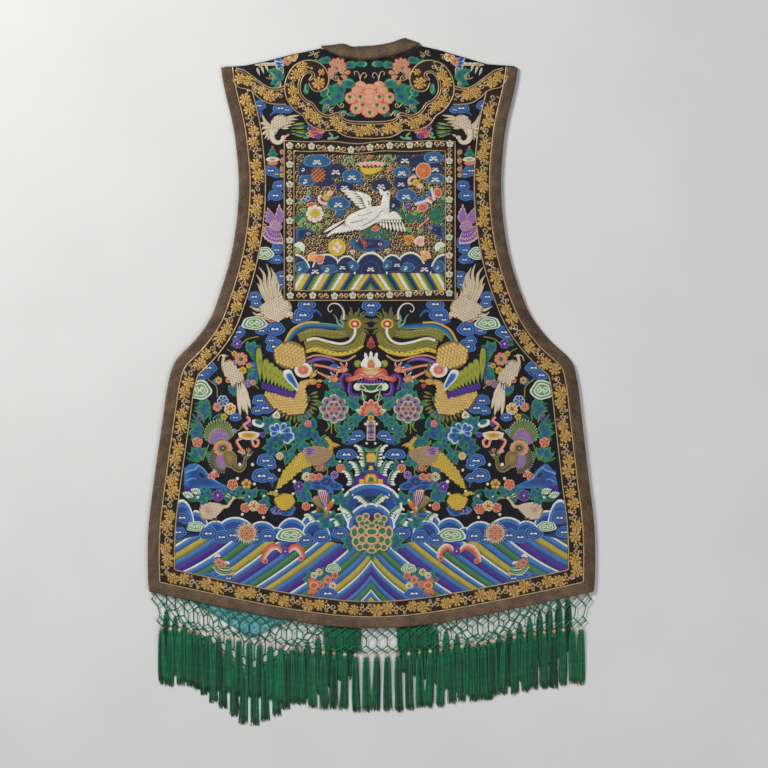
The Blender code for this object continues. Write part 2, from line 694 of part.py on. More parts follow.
def front_fringe(name, material, rows, columns):
    """A front's tassels: pairs of strands that part from a narrow header along the net's feet."""
    solid = Solid()
    first, last = columns
    lanes = []
    for k in range(int(round(last - first)) + 1):
        x = tassel_across(first + k)
        y = front_line(rows, "heads", x) - KNOT_REACH - SEAM
        base = [[solid.point(*corner) for corner in
                 strand_triangle(x + side * FRONT_STRAND_SPACE, y - HEADER_WIDTH, FRONT_STRAND_WIDTH,
                                 FRONT_DROP[0])] for side in (-1, 1)]
        back = (solid.point(x, y, HEADER_LOW), solid.point(x, y, HEADER_HIGH))
        lanes.append((base, back))
        length = fringe_length(x, y)
        for side, triangle in zip((-1, 1), base):
            path = [strand_triangle(x + side * FRONT_STRAND_SPACE,
                                    y - HEADER_WIDTH - length * drop.travel, FRONT_STRAND_WIDTH, drop)
                    for drop in FRONT_DROP[1:]]
            strand(solid, triangle, path)
    for (left, right), (low, high) in lanes:
        solid.face(high, left[2], right[2])
        solid.face(low, left[0], left[1])
        solid.face(low, left[1], right[0])
        solid.face(low, right[0], right[1])
        solid.face(left[1], right[0], right[2], left[2])
    for ((_, a), (a_low, a_high)), ((b, _), (b_low, b_high)) in zip(lanes, lanes[1:]):
        solid.face(a_high, a[2], b[2], b_high)
        solid.face(a_low, a[1], b[0], b_low)
        solid.face(a_high, b_high, b_low, a_low)
        solid.face(a[1], b[0], b[2], a[2])
    (left, _), (low, high) = lanes[0]
    solid.face(high, low, left[0], left[2])
    (_, right), (low, high) = lanes[-1]
    solid.face(high, low, right[1], right[2])
    return solid.finish(name, material)


def fringe_length(x, y):
    """The fronts' tassels are as long as the back's, and the lowest ones end at the vest's lowest point."""
    return min(TASSEL_LENGTH + UNEVEN * math.sin(UNEVEN_TURN * x), y - HEADER_WIDTH - TIPS_BOTTOM)


# ---------------------------------------------------------------- materials and assembly
def finish_of(name, colour, roughness, metallic=0.0):
    """A plain material of one colour."""
    material = bpy.data.materials.new(name)
    material.use_nodes = True
    shader = material.node_tree.nodes["Principled BSDF"]
    shader.inputs["Base Color"].default_value = (*colour, 1.0)
    shader.inputs["Roughness"].default_value = roughness
    shader.inputs["Metallic"].default_value = metallic
    material.diffuse_color = (*colour, 1.0)
    return material


def build():
    """Make every piece and hang it from one empty."""
    satin = finish_of("navy_satin", (0.02, 0.03, 0.09), 0.5)
    band = finish_of("black_gold_band", (0.25, 0.15, 0.04), 0.5, 0.3)
    braid = finish_of("brown_metal_braid", (0.09, 0.05, 0.03), 0.6, 0.3)
    lining = finish_of("teal_lining", (0.05, 0.27, 0.3), 0.6)
    badge = finish_of("badge_embroidery", (0.1, 0.16, 0.35), 0.5)
    green = finish_of("green_silk", (0.005, 0.1, 0.04), 0.5)
    pieces = [
        back_panel(satin),
        plate("front_left", satin, front_outline(-1, FRONT_LEFT, 0.0), 0.0, FRONT_CLOTH),
        plate("front_lining_left", lining, front_outline(-1, FRONT_LEFT, LINING_INSET),
              FRONT_CLOTH + SEAM, FRONT_CLOTH + SEAM + LINING),
        plate("front_right", satin, front_outline(1, FRONT_RIGHT, 0.0), 0.0, FRONT_CLOTH + SEAM + LINING),
        edge_binding(braid),
        border_band(band),
        neck_binding(braid),
        yoke_ribbon("scroll_band", band, [(-1, row) for row in SCROLL] + [(1, row) for row in SCROLL[-2::-1]]),
        yoke_ribbon("wing_left", band, [(-1, row) for row in WING]),
        yoke_ribbon("wing_right", band, [(1, row) for row in WING]),
        rank_badge(badge),
        badge_border(band),
        net("net_back", green, 0, TASSELS - 1, back_net_place, True),
        net("net_front_left", green, *FRONT_LEFT_COLUMNS, front_net_place(FRONT_LEFT), False),
        net("net_front_right", green, *FRONT_RIGHT_COLUMNS, front_net_place(FRONT_RIGHT), False),
        front_fringe("fringe_front_left", green, FRONT_LEFT, FRONT_LEFT_COLUMNS),
        front_fringe("fringe_front_right", green, FRONT_RIGHT, FRONT_RIGHT_COLUMNS),
    ]
    pieces += [tassel(f"tassel_{k + 1:02d}", green, k) for k in range(TASSELS)]
    vest = bpy.data.objects.new("vest", None)
    bpy.context.scene.collection.objects.link(vest)
    for piece in pieces:
        piece.parent = vest
    return pieces


for leftover in list(bpy.data.objects):
    bpy.data.objects.remove(leftover)
build()
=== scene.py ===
"""The looks of a court vest (xiapei) laid flat, back up: satin, embroidery, bindings and tassels.

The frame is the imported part's own: +X to the vest's right as it lies, +Y towards the neck, +Z up, and the
surface that it lies on at zero. Named sizes are millimetres and angles degrees; MM turns the sizes into
Blender's metres where points are made.
"""
import logging
import math
import random
from bisect import bisect_right
from dataclasses import dataclass, field
from enum import Enum
from typing import Callable, Iterable, NamedTuple, Sequence

import bpy
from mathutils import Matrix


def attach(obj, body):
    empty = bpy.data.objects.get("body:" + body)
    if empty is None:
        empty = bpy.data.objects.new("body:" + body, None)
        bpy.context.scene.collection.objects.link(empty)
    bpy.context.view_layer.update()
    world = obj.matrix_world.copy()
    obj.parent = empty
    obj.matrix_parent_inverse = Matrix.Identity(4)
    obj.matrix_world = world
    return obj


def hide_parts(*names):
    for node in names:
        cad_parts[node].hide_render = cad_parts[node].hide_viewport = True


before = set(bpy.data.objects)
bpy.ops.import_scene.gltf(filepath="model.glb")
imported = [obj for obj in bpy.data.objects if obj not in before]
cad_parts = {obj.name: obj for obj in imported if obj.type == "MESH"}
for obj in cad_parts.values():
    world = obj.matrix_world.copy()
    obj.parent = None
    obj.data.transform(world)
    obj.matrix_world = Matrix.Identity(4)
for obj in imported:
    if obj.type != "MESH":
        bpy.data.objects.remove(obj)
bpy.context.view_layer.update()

MM = 0.001
Flat = tuple[float, float]
Colour = tuple[float, float, float]
log = logging.getLogger("vest")


# ---------------------------------------------------------------- colours
def linear(hex_code: str) -> Colour:
    """Turn an sRGB hex code into linear light.

    Args:
        hex_code: Six hex digits, with a leading hash.

    Returns:
        The red, green and blue shares in linear light.
    """
    shares = [int(hex_code[k:k + 2], 16) / 255 for k in (1, 3, 5)]
    return tuple(s / 12.92 if s <= 0.04045 else ((s + 0.055) / 1.055) ** 2.4 for s in shares)


def blend(a: Colour, b: Colour, share: float) -> Colour:
    """Give the colour that lies at a share of the way from one colour to another."""
    return tuple(p + (q - p) * share for p, q in zip(a, b))


class Silk(Enum):
    """Dyed floss and metal thread, by the dyer's names."""

    INK = linear("#11101a")
    NAVY = linear("#0d1f4c")
    ROYAL = linear("#163f86")
    SKY = linear("#2f70b4")
    ICE = linear("#86afd6")
    TEAL = linear("#1f5b86")
    MIDNIGHT = linear("#0a1740")
    WHITE = linear("#e6e1d6")
    IVORY = linear("#d8c8a8")
    MILK = linear("#dccbb4")
    SAND = linear("#a98f64")
    BARK = linear("#8a6a48")
    MOSS = linear("#0a402b")
    EMERALD = linear("#0f8a58")
    JADE = linear("#0a7046")
    BOTTLE = linear("#0b5c3c")
    MINT = linear("#86b883")
    LIME = linear("#969a26")
    MEADOW = linear("#3c7a34")
    OLIVE = linear("#6b641a")
    KHAKI = linear("#9c8f24")
    STRAW = linear("#d3b733")
    MUSTARD = linear("#b9a52a")
    AMBER = linear("#c98530")
    CORAL = linear("#c8533a")
    PEACH = linear("#dd9274")
    BLUSH = linear("#e6b8a3")
    RED = linear("#a3241d")
    PLUM = linear("#44168a")
    LILAC = linear("#8c62a8")
    MAUVE = linear("#84707f")
    LAID_GOLD = linear("#c69b5c")
    GOLDEN = linear("#d0a64e")
    BUFF = linear("#e8c374")
    OCHRE = linear("#87602a")
    GILT = linear("#a67c4a")
    PALE_GILT = linear("#d0b184")
    DEEP_GILT = linear("#5c3d20")
    BRONZE = linear("#2c1b10")


# ---------------------------------------------------------------- the vest's form
class SideRow(NamedTuple):
    """Half width and sideways lean of the outline at a height."""

    height: float
    half: float
    lean: float


class Ridge(NamedTuple):
    """A soft wave of the cloth: its middle, its two reaches, its rise and its heading."""

    across: float
    height: float
    along: float
    width: float
    rise: float
    heading: float


class SmoothRow:
    """A smooth curve through the rows of a table."""

    def __init__(self, pairs: Iterable[Flat]) -> None:
        """Sort the rows and work out the slope at each.

        Args:
            pairs: The places and the values there.
        """
        rows = sorted(pairs)
        self.places = [p for p, _ in rows]
        self.values = [v for _, v in rows]
        last = len(rows) - 1
        self.slopes = []
        for i in range(len(rows)):
            low, high = max(i - 1, 0), min(i + 1, last)
            self.slopes.append((self.values[high] - self.values[low])
                               / (self.places[high] - self.places[low]))

    def at(self, place: float) -> float:
        """Give the value at a place.

        Args:
            place: Where, in the table's first column.

        Returns:
            The value on the curve, held level past both ends.
        """
        if place <= self.places[0]:
            return self.values[0]
        if place >= self.places[-1]:
            return self.values[-1]
        k = bisect_right(self.places, place) - 1
        step = self.places[k + 1] - self.places[k]
        t = (place - self.places[k]) / step
        return ((2 * t ** 3 - 3 * t ** 2 + 1) * self.values[k]
                + (t ** 3 - 2 * t ** 2 + t) * step * self.slopes[k]
                + (3 * t ** 2 - 2 * t ** 3) * self.values[k + 1]
                + (t ** 3 - t ** 2) * step * self.slopes[k + 1])


def straight(pairs: Sequence[Flat], place: float) -> float:
    """Give the value on the straight runs between (place, value) pairs, which are in order.

    Args:
        pairs: The places and values, in order.
        place: Where the value is wanted.

    Returns:
        The value there.
    """
    if place <= pairs[0][0]:
        return pairs[0][1]
    for (a, value_a), (b, value_b) in zip(pairs, pairs[1:]):
        if place <= b:
            return value_a + (value_b - value_a) * (place - a) / (b - a)
    return pairs[-1][1]


def flow(points: Sequence[Flat], step: float, closed: bool = False) -> list[Flat]:
    """Run a smooth curve through a few points.

    Args:
        points: The points that the curve passes.
        step: About how far apart the new points lie.
        closed: Whether the curve comes back to its start.

    Returns:
        Points along the curve, the ends among them.
    """
    count = len(points)
    spans = count if closed else count - 1
    found = []
    for k in range(spans):
        if closed:
            p0, p1, p2, p3 = (points[(k + j) % count] for j in (-1, 0, 1, 2))
        else:
            p1, p2 = points[k], points[k + 1]
            p0 = points[k - 1] if k else tuple(2 * a - b for a, b in zip(p1, p2))
            p3 = points[k + 2] if k + 2 < count else tuple(2 * b - a for a, b in zip(p1, p2))
        pieces = max(1, round(math.dist(p1, p2) / step))
        for j in range(pieces):
            t = j / pieces
            found.append(tuple(0.5 * (2 * b + (c - a) * t + (2 * a - 5 * b + 4 * c - d) * t * t
                                      + (3 * b - a - 3 * c + d) * t ** 3)
                               for a, b, c, d in zip(p0, p1, p2, p3)))
    return found if closed else found + [tuple(points[-1])]


def travelled(points: Sequence[Flat]) -> list[float]:
    """Give the way along a run at each of its points.

    Args:
        points: The run.

    Returns:
        The lengths, from 0 at its start.
    """
    travel = [0.0]
    for a, b in zip(points, points[1:]):
        travel.append(travel[-1] + math.dist(a, b))
    return travel


def resample(points: Sequence[Flat], count: int) -> list[Flat]:
    """Space a run's points evenly.

    Args:
        points: The run.
        count: How many points to give back.

    Returns:
        Evenly spaced points, the run's two ends among them.
    """
    travel = travelled(points)
    found, k = [], 0
    for j in range(count):
        want = travel[-1] * j / (count - 1)
        while k < len(points) - 2 and travel[k + 1] < want:
            k += 1
        t = (want - travel[k]) / max(travel[k + 1] - travel[k], 1e-9)
        found.append(tuple(a + (b - a) * t for a, b in zip(points[k], points[k + 1])))
    return found


def normals(points: Sequence[Flat], closed: bool = False) -> list[Flat]:
    """Give the direction to the left of a run at each of its points.

    Args:
        points: The run.
        closed: Whether it closes on itself.

    Returns:
        One unit vector for each point.
    """
    found, count = [], len(points)
    for k in range(count):
        a = points[(k - 1) % count] if closed else points[max(k - 1, 0)]
        b = points[(k + 1) % count] if closed else points[min(k + 1, count - 1)]
        size = max(math.dist(a, b), 1e-9)
        found.append((-(b[1] - a[1]) / size, (b[0] - a[0]) / size))
    return found


@dataclass
class VestForm:
    """The shape that the cloth lies in, from the part's own driving sizes."""

    back_under: float = 3.4
    back_top: float = 5.2
    band: float = 26.6
    band_top: float = 460.0
    hem_low: float = -405.0
    hem_slope: float = 0.24
    hem_round: float = 33.5
    foot: float = -344.0
    top_level: float = 519.5
    fold_depth: float = 6.0
    side_rows: tuple = (
        SideRow(519.5, 244.5, -3.4), SideRow(499.5, 242.0, -3.4), SideRow(466.5, 235.0, -3.4),
        SideRow(433.5, 227.0, -3.3), SideRow(400.5, 221.5, -3.1), SideRow(334.5, 216.3, -2.6),
        SideRow(268.5, 219.5, -2.6), SideRow(202.5, 231.0, -2.4), SideRow(136.5, 252.0, -1.4),
        SideRow(103.5, 267.0, 0.0), SideRow(70.5, 292.0, 1.4), SideRow(37.5, 325.0, 3.0),
        SideRow(4.5, 336.5, 2.4), SideRow(-61.5, 345.7, 1.4), SideRow(-160.5, 358.5, 0.0),
        SideRow(-226.5, 366.5, 0.0), SideRow(-270.0, 368.8, 0.0), SideRow(-325.0, 368.3, 0.0),
        SideRow(-344.0, 366.3, 0.0))
    top_edge: tuple = (
        (-400.0, 519.5), (-244.5, 519.5), (-210.0, 522.5), (-172.0, 530.5), (-132.0, 541.0), (-83.0, 551.5),
        (-68.0, 542.5), (-46.0, 534.5), (-18.0, 530.9), (7.0, 531.8), (34.0, 537.2), (61.0, 546.1),
        (79.5, 556.0), (112.0, 548.5), (152.0, 536.5), (196.0, 523.5), (237.5, 519.5), (400.0, 519.5))
    ridges: tuple = (
        Ridge(-225.0, -265.0, 120.0, 46.0, 1.3, 84.0), Ridge(-95.0, -330.0, 95.0, 44.0, 1.2, 96.0),
        Ridge(60.0, -300.0, 130.0, 48.0, 1.3, 88.0), Ridge(205.0, -250.0, 120.0, 46.0, 1.4, 97.0),
        Ridge(-235.0, -20.0, 110.0, 50.0, 1.0, 38.0), Ridge(245.0, -30.0, 110.0, 50.0, 1.1, 140.0),
        Ridge(-150.0, 250.0, 160.0, 52.0, 0.8, 92.0), Ridge(150.0, 230.0, 160.0, 52.0, 0.8, 86.0),
        Ridge(10.0, -90.0, 60.0, 90.0, 0.8, 90.0))
    creases: tuple = (
        Ridge(-300.0, -200.0, 90.0, 9.0, 0.5, 68.0), Ridge(292.0, -150.0, 80.0, 8.0, -0.5, 118.0),
        Ridge(-205.0, 120.0, 60.0, 8.0, -0.4, 70.0), Ridge(196.0, 150.0, 60.0, 8.0, 0.4, 104.0),
        Ridge(-30.0, 60.0, 90.0, 10.0, 0.35, 8.0), Ridge(120.0, -20.0, 80.0, 10.0, 0.35, 168.0),
        Ridge(-190.0, 440.0, 40.0, 8.0, 0.4, 140.0), Ridge(180.0, 430.0, 40.0, 8.0, -0.4, 48.0))

    def __post_init__(self) -> None:
        """Work out the outline's curves and the waves' headings once."""
        self.half = SmoothRow((row.height, row.half) for row in self.side_rows)
        self.lean = SmoothRow((row.height, row.lean) for row in self.side_rows)
        self.waves = [(*wave[:5], math.cos(math.radians(wave.heading)), math.sin(math.radians(wave.heading)))
                      for wave in self.ridges + self.creases]

    def side(self, which: int, height: float, clear: float = 0.0) -> float:
        """Give a side edge's place across at a height; which is -1 for the left and 1 for the right."""
        return self.lean.at(height) + which * (self.half.at(height) - clear)

    def hem(self, across: float) -> float:
        """Give the back hem's height at a place across."""
        return self.hem_low + math.hypot(self.hem_round, self.hem_slope * across) - self.hem_round

    def top(self, across: float) -> float:
        """Give the height of the shoulders and neck at a place across."""
        return straight(self.top_edge, across)

    def rise(self, across: float, height: float) -> float:
        """Give how far the soft waves and creases lift the cloth.

        Args:
            across: How far across the vest.
            height: How far up the vest.

        Returns:
            The lift.
        """
        total = 0.0
        for x, y, along, width, rise, cosine, sine in self.waves:
            dx, dy = across - x, height - y
            a, b = (dx * cosine + dy * sine) / along, (dy * cosine - dx * sine) / width
            reach = a * a + b * b
            if reach < 16:
                total += rise * math.exp(-reach / 2)
        return total

    def surface(self, across: float, height: float) -> float:
        """Give the height of the back panel's upper face.

        Args:
            across: How far across the vest.
            height: How far up the vest.

        Returns:
            The height.
        """
        below = self.top(across) - height
        fall = 0.0 if below > self.fold_depth else 2.0 * (1 - max(below, 0.0) / self.fold_depth) ** 3
        return self.back_top + self.rise(across, height) - fall

    def side_run(self, which: int, inwards: float, highest: float | None = None) -> list[Flat]:
        """Give a line beside a side edge, from the top down to the mitre with the hem.

        Args:
            which: -1 for the left side and 1 for the right.
            inwards: How far inside the outline the line runs.
            highest: The height where it starts, or the panel's own top.

        Returns:
            The line's points.
        """
        step, found = 5.0, []
        rows = int((self.top_level - self.foot) / step)
        edge = [(self.side(which, y), y) for y in
                (self.top_level + (self.foot - self.top_level) * k / rows for k in range(rows + 1))]
        edge.append((2 * edge[-1][0] - edge[-2][0], 2 * edge[-1][1] - edge[-2][1]))
        for (x, y), (nx, ny) in zip(edge, normals(edge)):
            px, py = x - which * abs(nx) * inwards, y + (ny * inwards if which < 0 else -ny * inwards)
            if highest is not None and py > highest:
                continue
            if py <= self.hem_run_height(px, inwards):
                x0, y0 = found[-1]
                t = 0.5
                for _ in range(20):
                    mx, my = x0 + (px - x0) * t, y0 + (py - y0) * t
                    t -= (self.hem_run_height(mx, inwards) - my) / max(y0 - py, 1e-6)
                    t = min(max(t, 0.0), 1.0)
                found.append((x0 + (px - x0) * t, y0 + (py - y0) * t))
                break
            found.append((px, py))
        return found

    def hem_run_height(self, across: float, inwards: float) -> float:
        """Give the height of a line that runs inside the hem."""
        slope = self.hem_slope ** 2 * across / math.hypot(self.hem_round, self.hem_slope * across)
        return self.hem(across) + inwards * math.hypot(1.0, slope)

    def kept(self, across: float, height: float, inwards: float) -> Flat:
        """Move a point that lies outside a line inside the rim onto that line.

        Args:
            across: How far across the vest.
            height: How far up the vest.
            inwards: How far inside the outline the line runs.

        Returns:
            The point, moved or not.
        """
        height = min(max(height, self.hem_run_height(across, inwards)), self.top(across) - 1.5)
        for which in (-1, 1):
            slope = (self.half.at(height + 3) - self.half.at(height - 3)) / 6
            limit = self.side(which, height, inwards * math.hypot(1.0, slope))
            if which * (across - limit) > 0:
                across = limit
        return across, height

    def rim(self, inwards: float, highest: float | None = None) -> list[list[Flat]]:
        """Give the three lines inside the outline: left side down, hem, right side up.

        Args:
            inwards: How far inside the outline.
            highest: Where the lines end at the top.

        Returns:
            The lines, one after the other.
        """
        left = self.side_run(-1, inwards, highest)
        right = self.side_run(1, inwards, highest)
        start, end, count = left[-1][0], right[-1][0], 92
        across = [start + (end - start) * k / count for k in range(count + 1)]
        return [left, [(x, self.hem_run_height(x, inwards)) for x in across], right[::-1]]


# ---------------------------------------------------------------- node graphs
def node(tree: bpy.types.NodeTree, kind: str, links: dict | None = None, **settings) -> bpy.types.Node:
    """Add a node to a graph with its settings and links.

    Args:
        tree: The material's graph.
        kind: The node's type.
        links: For an input, by name or number, either a value or the output socket that feeds it.
        **settings: The node's own properties.

    Returns:
        The new node.
    """
    made = tree.nodes.new(kind)
    for key, value in settings.items():
        setattr(made, key, value)
    for key, value in (links or {}).items():
        socket = made.inputs[key]
        if isinstance(value, bpy.types.NodeSocket):
            tree.links.new(value, socket)
        else:
            socket.default_value = value
    return made


def ramp(tree: bpy.types.NodeTree, fac: bpy.types.NodeSocket,
         stops: Sequence[tuple[float, Colour]]) -> bpy.types.NodeSocket:
    """Add a colour ramp through the stops and give its colour output.

    Args:
        tree: The material's graph.
        fac: The output that drives it.
        stops: Where each colour stands.

    Returns:
        The ramp's colour output.
    """
    made = node(tree, "ShaderNodeValToRGB", {0: fac})
    band = made.color_ramp
    while len(band.elements) < len(stops):
        band.elements.new(0.5)
    for element, (place, colour) in zip(band.elements, stops):
        element.position = place
        element.color = (*colour, 1.0)
    return made.outputs[0]


def grey(value: float) -> Colour:
    """Give a neutral colour, used where a ramp carries a plain number."""
    return (value, value, value)


def whereabouts(tree: bpy.types.NodeTree) -> bpy.types.NodeSocket:
    """Give the place on the piece, in metres."""
    return node(tree, "ShaderNodeTexCoord").outputs["Object"]


def noise(tree: bpy.types.NodeTree, place: bpy.types.NodeSocket, scale: float, detail: float,
          **settings) -> bpy.types.NodeSocket:
    """Add soft noise and give its value.

    Args:
        tree: The material's graph.
        place: Where it is read.
        scale: How fine it is.
        detail: How many finer layers it has.
        **settings: The node's own properties.

    Returns:
        The noise's value.
    """
    return node(tree, "ShaderNodeTexNoise", {"Vector": place, "Scale": scale, "Detail": detail},
                **settings).outputs[0]


def sum_of(tree: bpy.types.NodeTree, *shares: tuple[bpy.types.NodeSocket, float]) -> bpy.types.NodeSocket:
    """Add values up, each by its share.

    Args:
        tree: The material's graph.
        *shares: The values and their shares.

    Returns:
        The sum.
    """
    (value, share), *others = shares
    total = node(tree, "ShaderNodeMath", {0: value, 1: share, 2: 0.0}, operation="MULTIPLY").outputs[0]
    for value, share in others:
        total = node(tree, "ShaderNodeMath", {0: value, 1: share, 2: total},
                     operation="MULTIPLY_ADD").outputs[0]
    return total


def emboss(tree: bpy.types.NodeTree, shader: bpy.types.Node, height: bpy.types.NodeSocket, strength: float,
           deep: float) -> None:
    """Let a value stand out as relief.

    Args:
        tree: The material's graph.
        shader: The shader that the graph feeds.
        height: The value.
        strength: How strongly it shows, from 0 to 1.
        deep: How deep it is, in metres.
    """
    bump = node(tree, "ShaderNodeBump", {"Strength": strength, "Distance": deep, "Height": height})
    tree.links.new(bump.outputs[0], shader.inputs["Normal"])


@dataclass(frozen=True)
class Finish:
    """A material: what it is, how it shines, and how its graph is drawn."""

    name: str
    roughness: float
    metallic: float = 0.0
    ior: float = 1.5
    sheen: float = 0.0
    coat: float = 0.0

    def make(self) -> bpy.types.Material:
        """Make the material once and give it back after that.

        Returns:
            The material.
        """
        known = bpy.data.materials.get(self.name)
        if known is not None:
            return known
        made = bpy.data.materials.new(self.name)
        made.use_nodes = True
        tree = made.node_tree
        shader = tree.nodes["Principled BSDF"]
        shader.inputs["Roughness"].default_value = self.roughness
        shader.inputs["Metallic"].default_value = self.metallic
        shader.inputs["Sheen Weight"].default_value = self.sheen
        shader.inputs["Coat Weight"].default_value = self.coat
        if self.metallic < 0.5:
            shader.inputs["IOR"].default_value = self.ior
        self.draw(tree, shader)
        return made

    def draw(self, tree: bpy.types.NodeTree, shader: bpy.types.Node) -> None:
        """Draw the graph that feeds the shader; each kind of finish has its own."""
        raise NotImplementedError

    def roughen(self, tree: bpy.types.NodeTree, shader: bpy.types.Node, fac: bpy.types.NodeSocket,
                dull: Flat, bright: Flat) -> None:
        """Let a value change the roughness.

        Args:
            tree: The material's graph.
            shader: The shader that the graph feeds.
            fac: The value.
            dull: Where the surface is dullest, and how much rougher than the finish.
            bright: Where it is brightest, and how much smoother.
        """
        rough = ramp(tree, fac, [(dull[0], grey(self.roughness + dull[1])),
                                 (bright[0], grey(self.roughness - bright[1]))])
        tree.links.new(rough, shader.inputs["Roughness"])


@dataclass(frozen=True)
class StitchedFinish(Finish):
    """Floss or metal thread laid side by side: the piece's own tints, broken by the lines of the threads."""

    pitch: float = 1.3
    relief: float = 0.25
    streak: float = 0.22

    def draw(self, tree: bpy.types.NodeTree, shader: bpy.types.Node) -> None:
        """Lay streaks and relief along the threads.

        The real threads are 0.3 to 0.5 mm apart, too fine to show, so they are drawn at the pitch given.

        Args:
            tree: The material's graph.
            shader: The shader that the graph feeds.
        """
        tint = node(tree, "ShaderNodeVertexColor", layer_name="Tint").outputs["Color"]
        lay = node(tree, "ShaderNodeUVMap", uv_map="Thread").outputs[0]
        lay = node(tree, "ShaderNodeMapping",
                   {0: lay, 3: (1 / self.pitch, 0.12 / self.pitch, 1.0)}).outputs[0]
        lines = noise(tree, lay, 1.0, 2.0, noise_dimensions="2D")
        wear = noise(tree, whereabouts(tree), 90.0, 3.0)
        mixed = sum_of(tree, (lines, 0.72), (wear, 0.28))
        shade = ramp(tree, mixed, [(0.34, grey(1 - self.streak)), (0.5, grey(1.0)),
                                   (0.66, grey(1 + self.streak))])
        colour = node(tree, "ShaderNodeMix", {0: 1.0, 6: tint, 7: shade}, data_type="RGBA",
                      blend_type="MULTIPLY").outputs[2]
        tree.links.new(colour, shader.inputs["Base Color"])
        self.roughen(tree, shader, lines, (0.35, 0.1), (0.65, 0.08))
        emboss(tree, shader, lines, self.relief, 0.0006)


@dataclass(frozen=True)
class SatinFinish(Finish):
    """Warp-faced satin: a dark, close ground with a faint float pattern, and its long low lustre painted in
    patches as a paler sheen tint.
    """

    base: Colour = Silk.INK.value
    # the paler tint, painted in as sheen where the floats and the slow noise run high
    painted_sheen: Colour = Silk.NAVY.value
    pitch: float = 1.6

    def draw(self, tree: bpy.types.NodeTree, shader: bpy.types.Node) -> None:
        """Lay the floats of the warp, and a slow change over the cloth from the ground colour to a painted
        sheen.

        Args:
            tree: The material's graph.
            shader: The shader that the graph feeds.
        """
        place = whereabouts(tree)
        floats = node(tree, "ShaderNodeMapping",
                      {0: place, 3: (1 / (self.pitch * MM), 0.2 / (self.pitch * MM), 1.0)}).outputs[0]
        lines = noise(tree, floats, 1.0, 2.0)
        both = sum_of(tree, (lines, 0.4), (noise(tree, place, 9.0, 4.0), 0.6))
        # painted sheen: the colour runs from the ground to the paler sheen tint
        tree.links.new(ramp(tree, both, [(0.3, self.base), (0.72, self.painted_sheen)]), shader.inputs["Base Color"])
        self.roughen(tree, shader, lines, (0.3, 0.08), (0.7, 0.06))
        emboss(tree, shader, lines, 0.25, 0.0003)


@dataclass(frozen=True)
class BraidFinish(Finish):
    """Galloon woven of brown silk and tarnished gilt strip: a twill of dark ribs with scattered glints."""

    rib: float = 3.2
    grain: float = 2.0
    heading: float = 52.0
    shades: tuple = ((0.36, linear("#150e0c")), (0.5, linear("#32231d")), (0.62, linear("#5a4335")),
                     (0.74, linear("#ad8d68")))

    def draw(self, tree: bpy.types.NodeTree, shader: bpy.types.Node) -> None:
        """Lay the twill, the worn gilt and its glints along the braid's own length.

        The real ribs are 0.6 mm apart; they are drawn wider so that they show.

        Args:
            tree: The material's graph.
            shader: The shader that the graph feeds.
        """
        lay = node(tree, "ShaderNodeUVMap", uv_map="Thread").outputs[0]
        twill = node(tree, "ShaderNodeMapping", {0: lay, 2: (0, 0, math.radians(self.heading)),
                                                 3: (1 / self.rib,) * 3})
        ribs = node(tree, "ShaderNodeTexWave", {"Vector": twill.outputs[0], "Scale": 1.0, "Distortion": 2.2,
                                                "Detail": 3.0, "Detail Scale": 2.5}).outputs[1]
        fine = node(tree, "ShaderNodeMapping", {0: lay, 3: (1 / self.grain,) * 3}).outputs[0]
        grains = node(tree, "ShaderNodeTexNoise", {"Vector": fine, "Scale": 1.0, "Detail": 3.0,
                                                   "Roughness": 0.7}).outputs[0]
        both = sum_of(tree, (ribs, 0.34), (grains, 0.5), (noise(tree, lay, 0.045, 3.0), 0.3))
        tree.links.new(ramp(tree, both, self.shades), shader.inputs["Base Color"])
        glint = ramp(tree, both, [(0.5, grey(0.1)), (0.72, grey(0.75))])
        tree.links.new(glint, shader.inputs["Metallic"])
        emboss(tree, shader, both, 0.6, 0.0006)


@dataclass(frozen=True)
class DamaskFinish(Finish):
    """Silk damask: one teal, whose figure's sheen is painted into the colour as paler rings and slow patches,
    and is also made smoother.
    """

    figure: float = 11.0
    # from the teal to the paler painted sheen of the figure
    shades: tuple = ((0.32, linear("#2f7782")), (0.5, linear("#4d9aa0")), (0.68, linear("#8ac4c5")))

    def draw(self, tree: bpy.types.NodeTree, shader: bpy.types.Node) -> None:
        """Lay the damask's round figures, painted paler as sheen, and the fine weave over the cloth.

        Args:
            tree: The material's graph.
            shader: The shader that the graph feeds.
        """
        place = whereabouts(tree)
        size = 1 / (self.figure * MM)
        cells = node(tree, "ShaderNodeTexVoronoi", {"Vector": place, "Scale": size, "Randomness": 0.35},
                     feature="SMOOTH_F1").outputs[0]
        rings = node(tree, "ShaderNodeMath", {0: cells, 1: 21.0}, operation="MULTIPLY").outputs[0]
        rings = node(tree, "ShaderNodeMath", {0: rings}, operation="SINE").outputs[0]
        slow = noise(tree, place, 26.0, 3.0)
        both = node(tree, "ShaderNodeMath", {0: rings, 1: 0.14, 2: slow}, operation="MULTIPLY_ADD").outputs[0]
        tree.links.new(ramp(tree, both, self.shades), shader.inputs["Base Color"])
        self.roughen(tree, shader, both, (0.35, 0.1), (0.65, 0.12))
        weave = node(tree, "ShaderNodeTexNoise", {"Vector": place, "Scale": 700.0}).outputs[0]
        emboss(tree, shader, weave, 0.2, 0.0003)


@dataclass(frozen=True)
class PlasterFinish(Finish):
    """A pale matt studio floor with the faintest mottle."""

    shades: tuple = ((0.3, linear("#e9e8e6")), (0.7, linear("#eeedeb")))

    def draw(self, tree: bpy.types.NodeTree, shader: bpy.types.Node) -> None:
        """Lay a slow mottle over the floor.

        Args:
            tree: The material's graph.
            shader: The shader that the graph feeds.
        """
        slow = noise(tree, whereabouts(tree), 5.0, 4.0)
        tree.links.new(ramp(tree, slow, self.shades), shader.inputs["Base Color"])


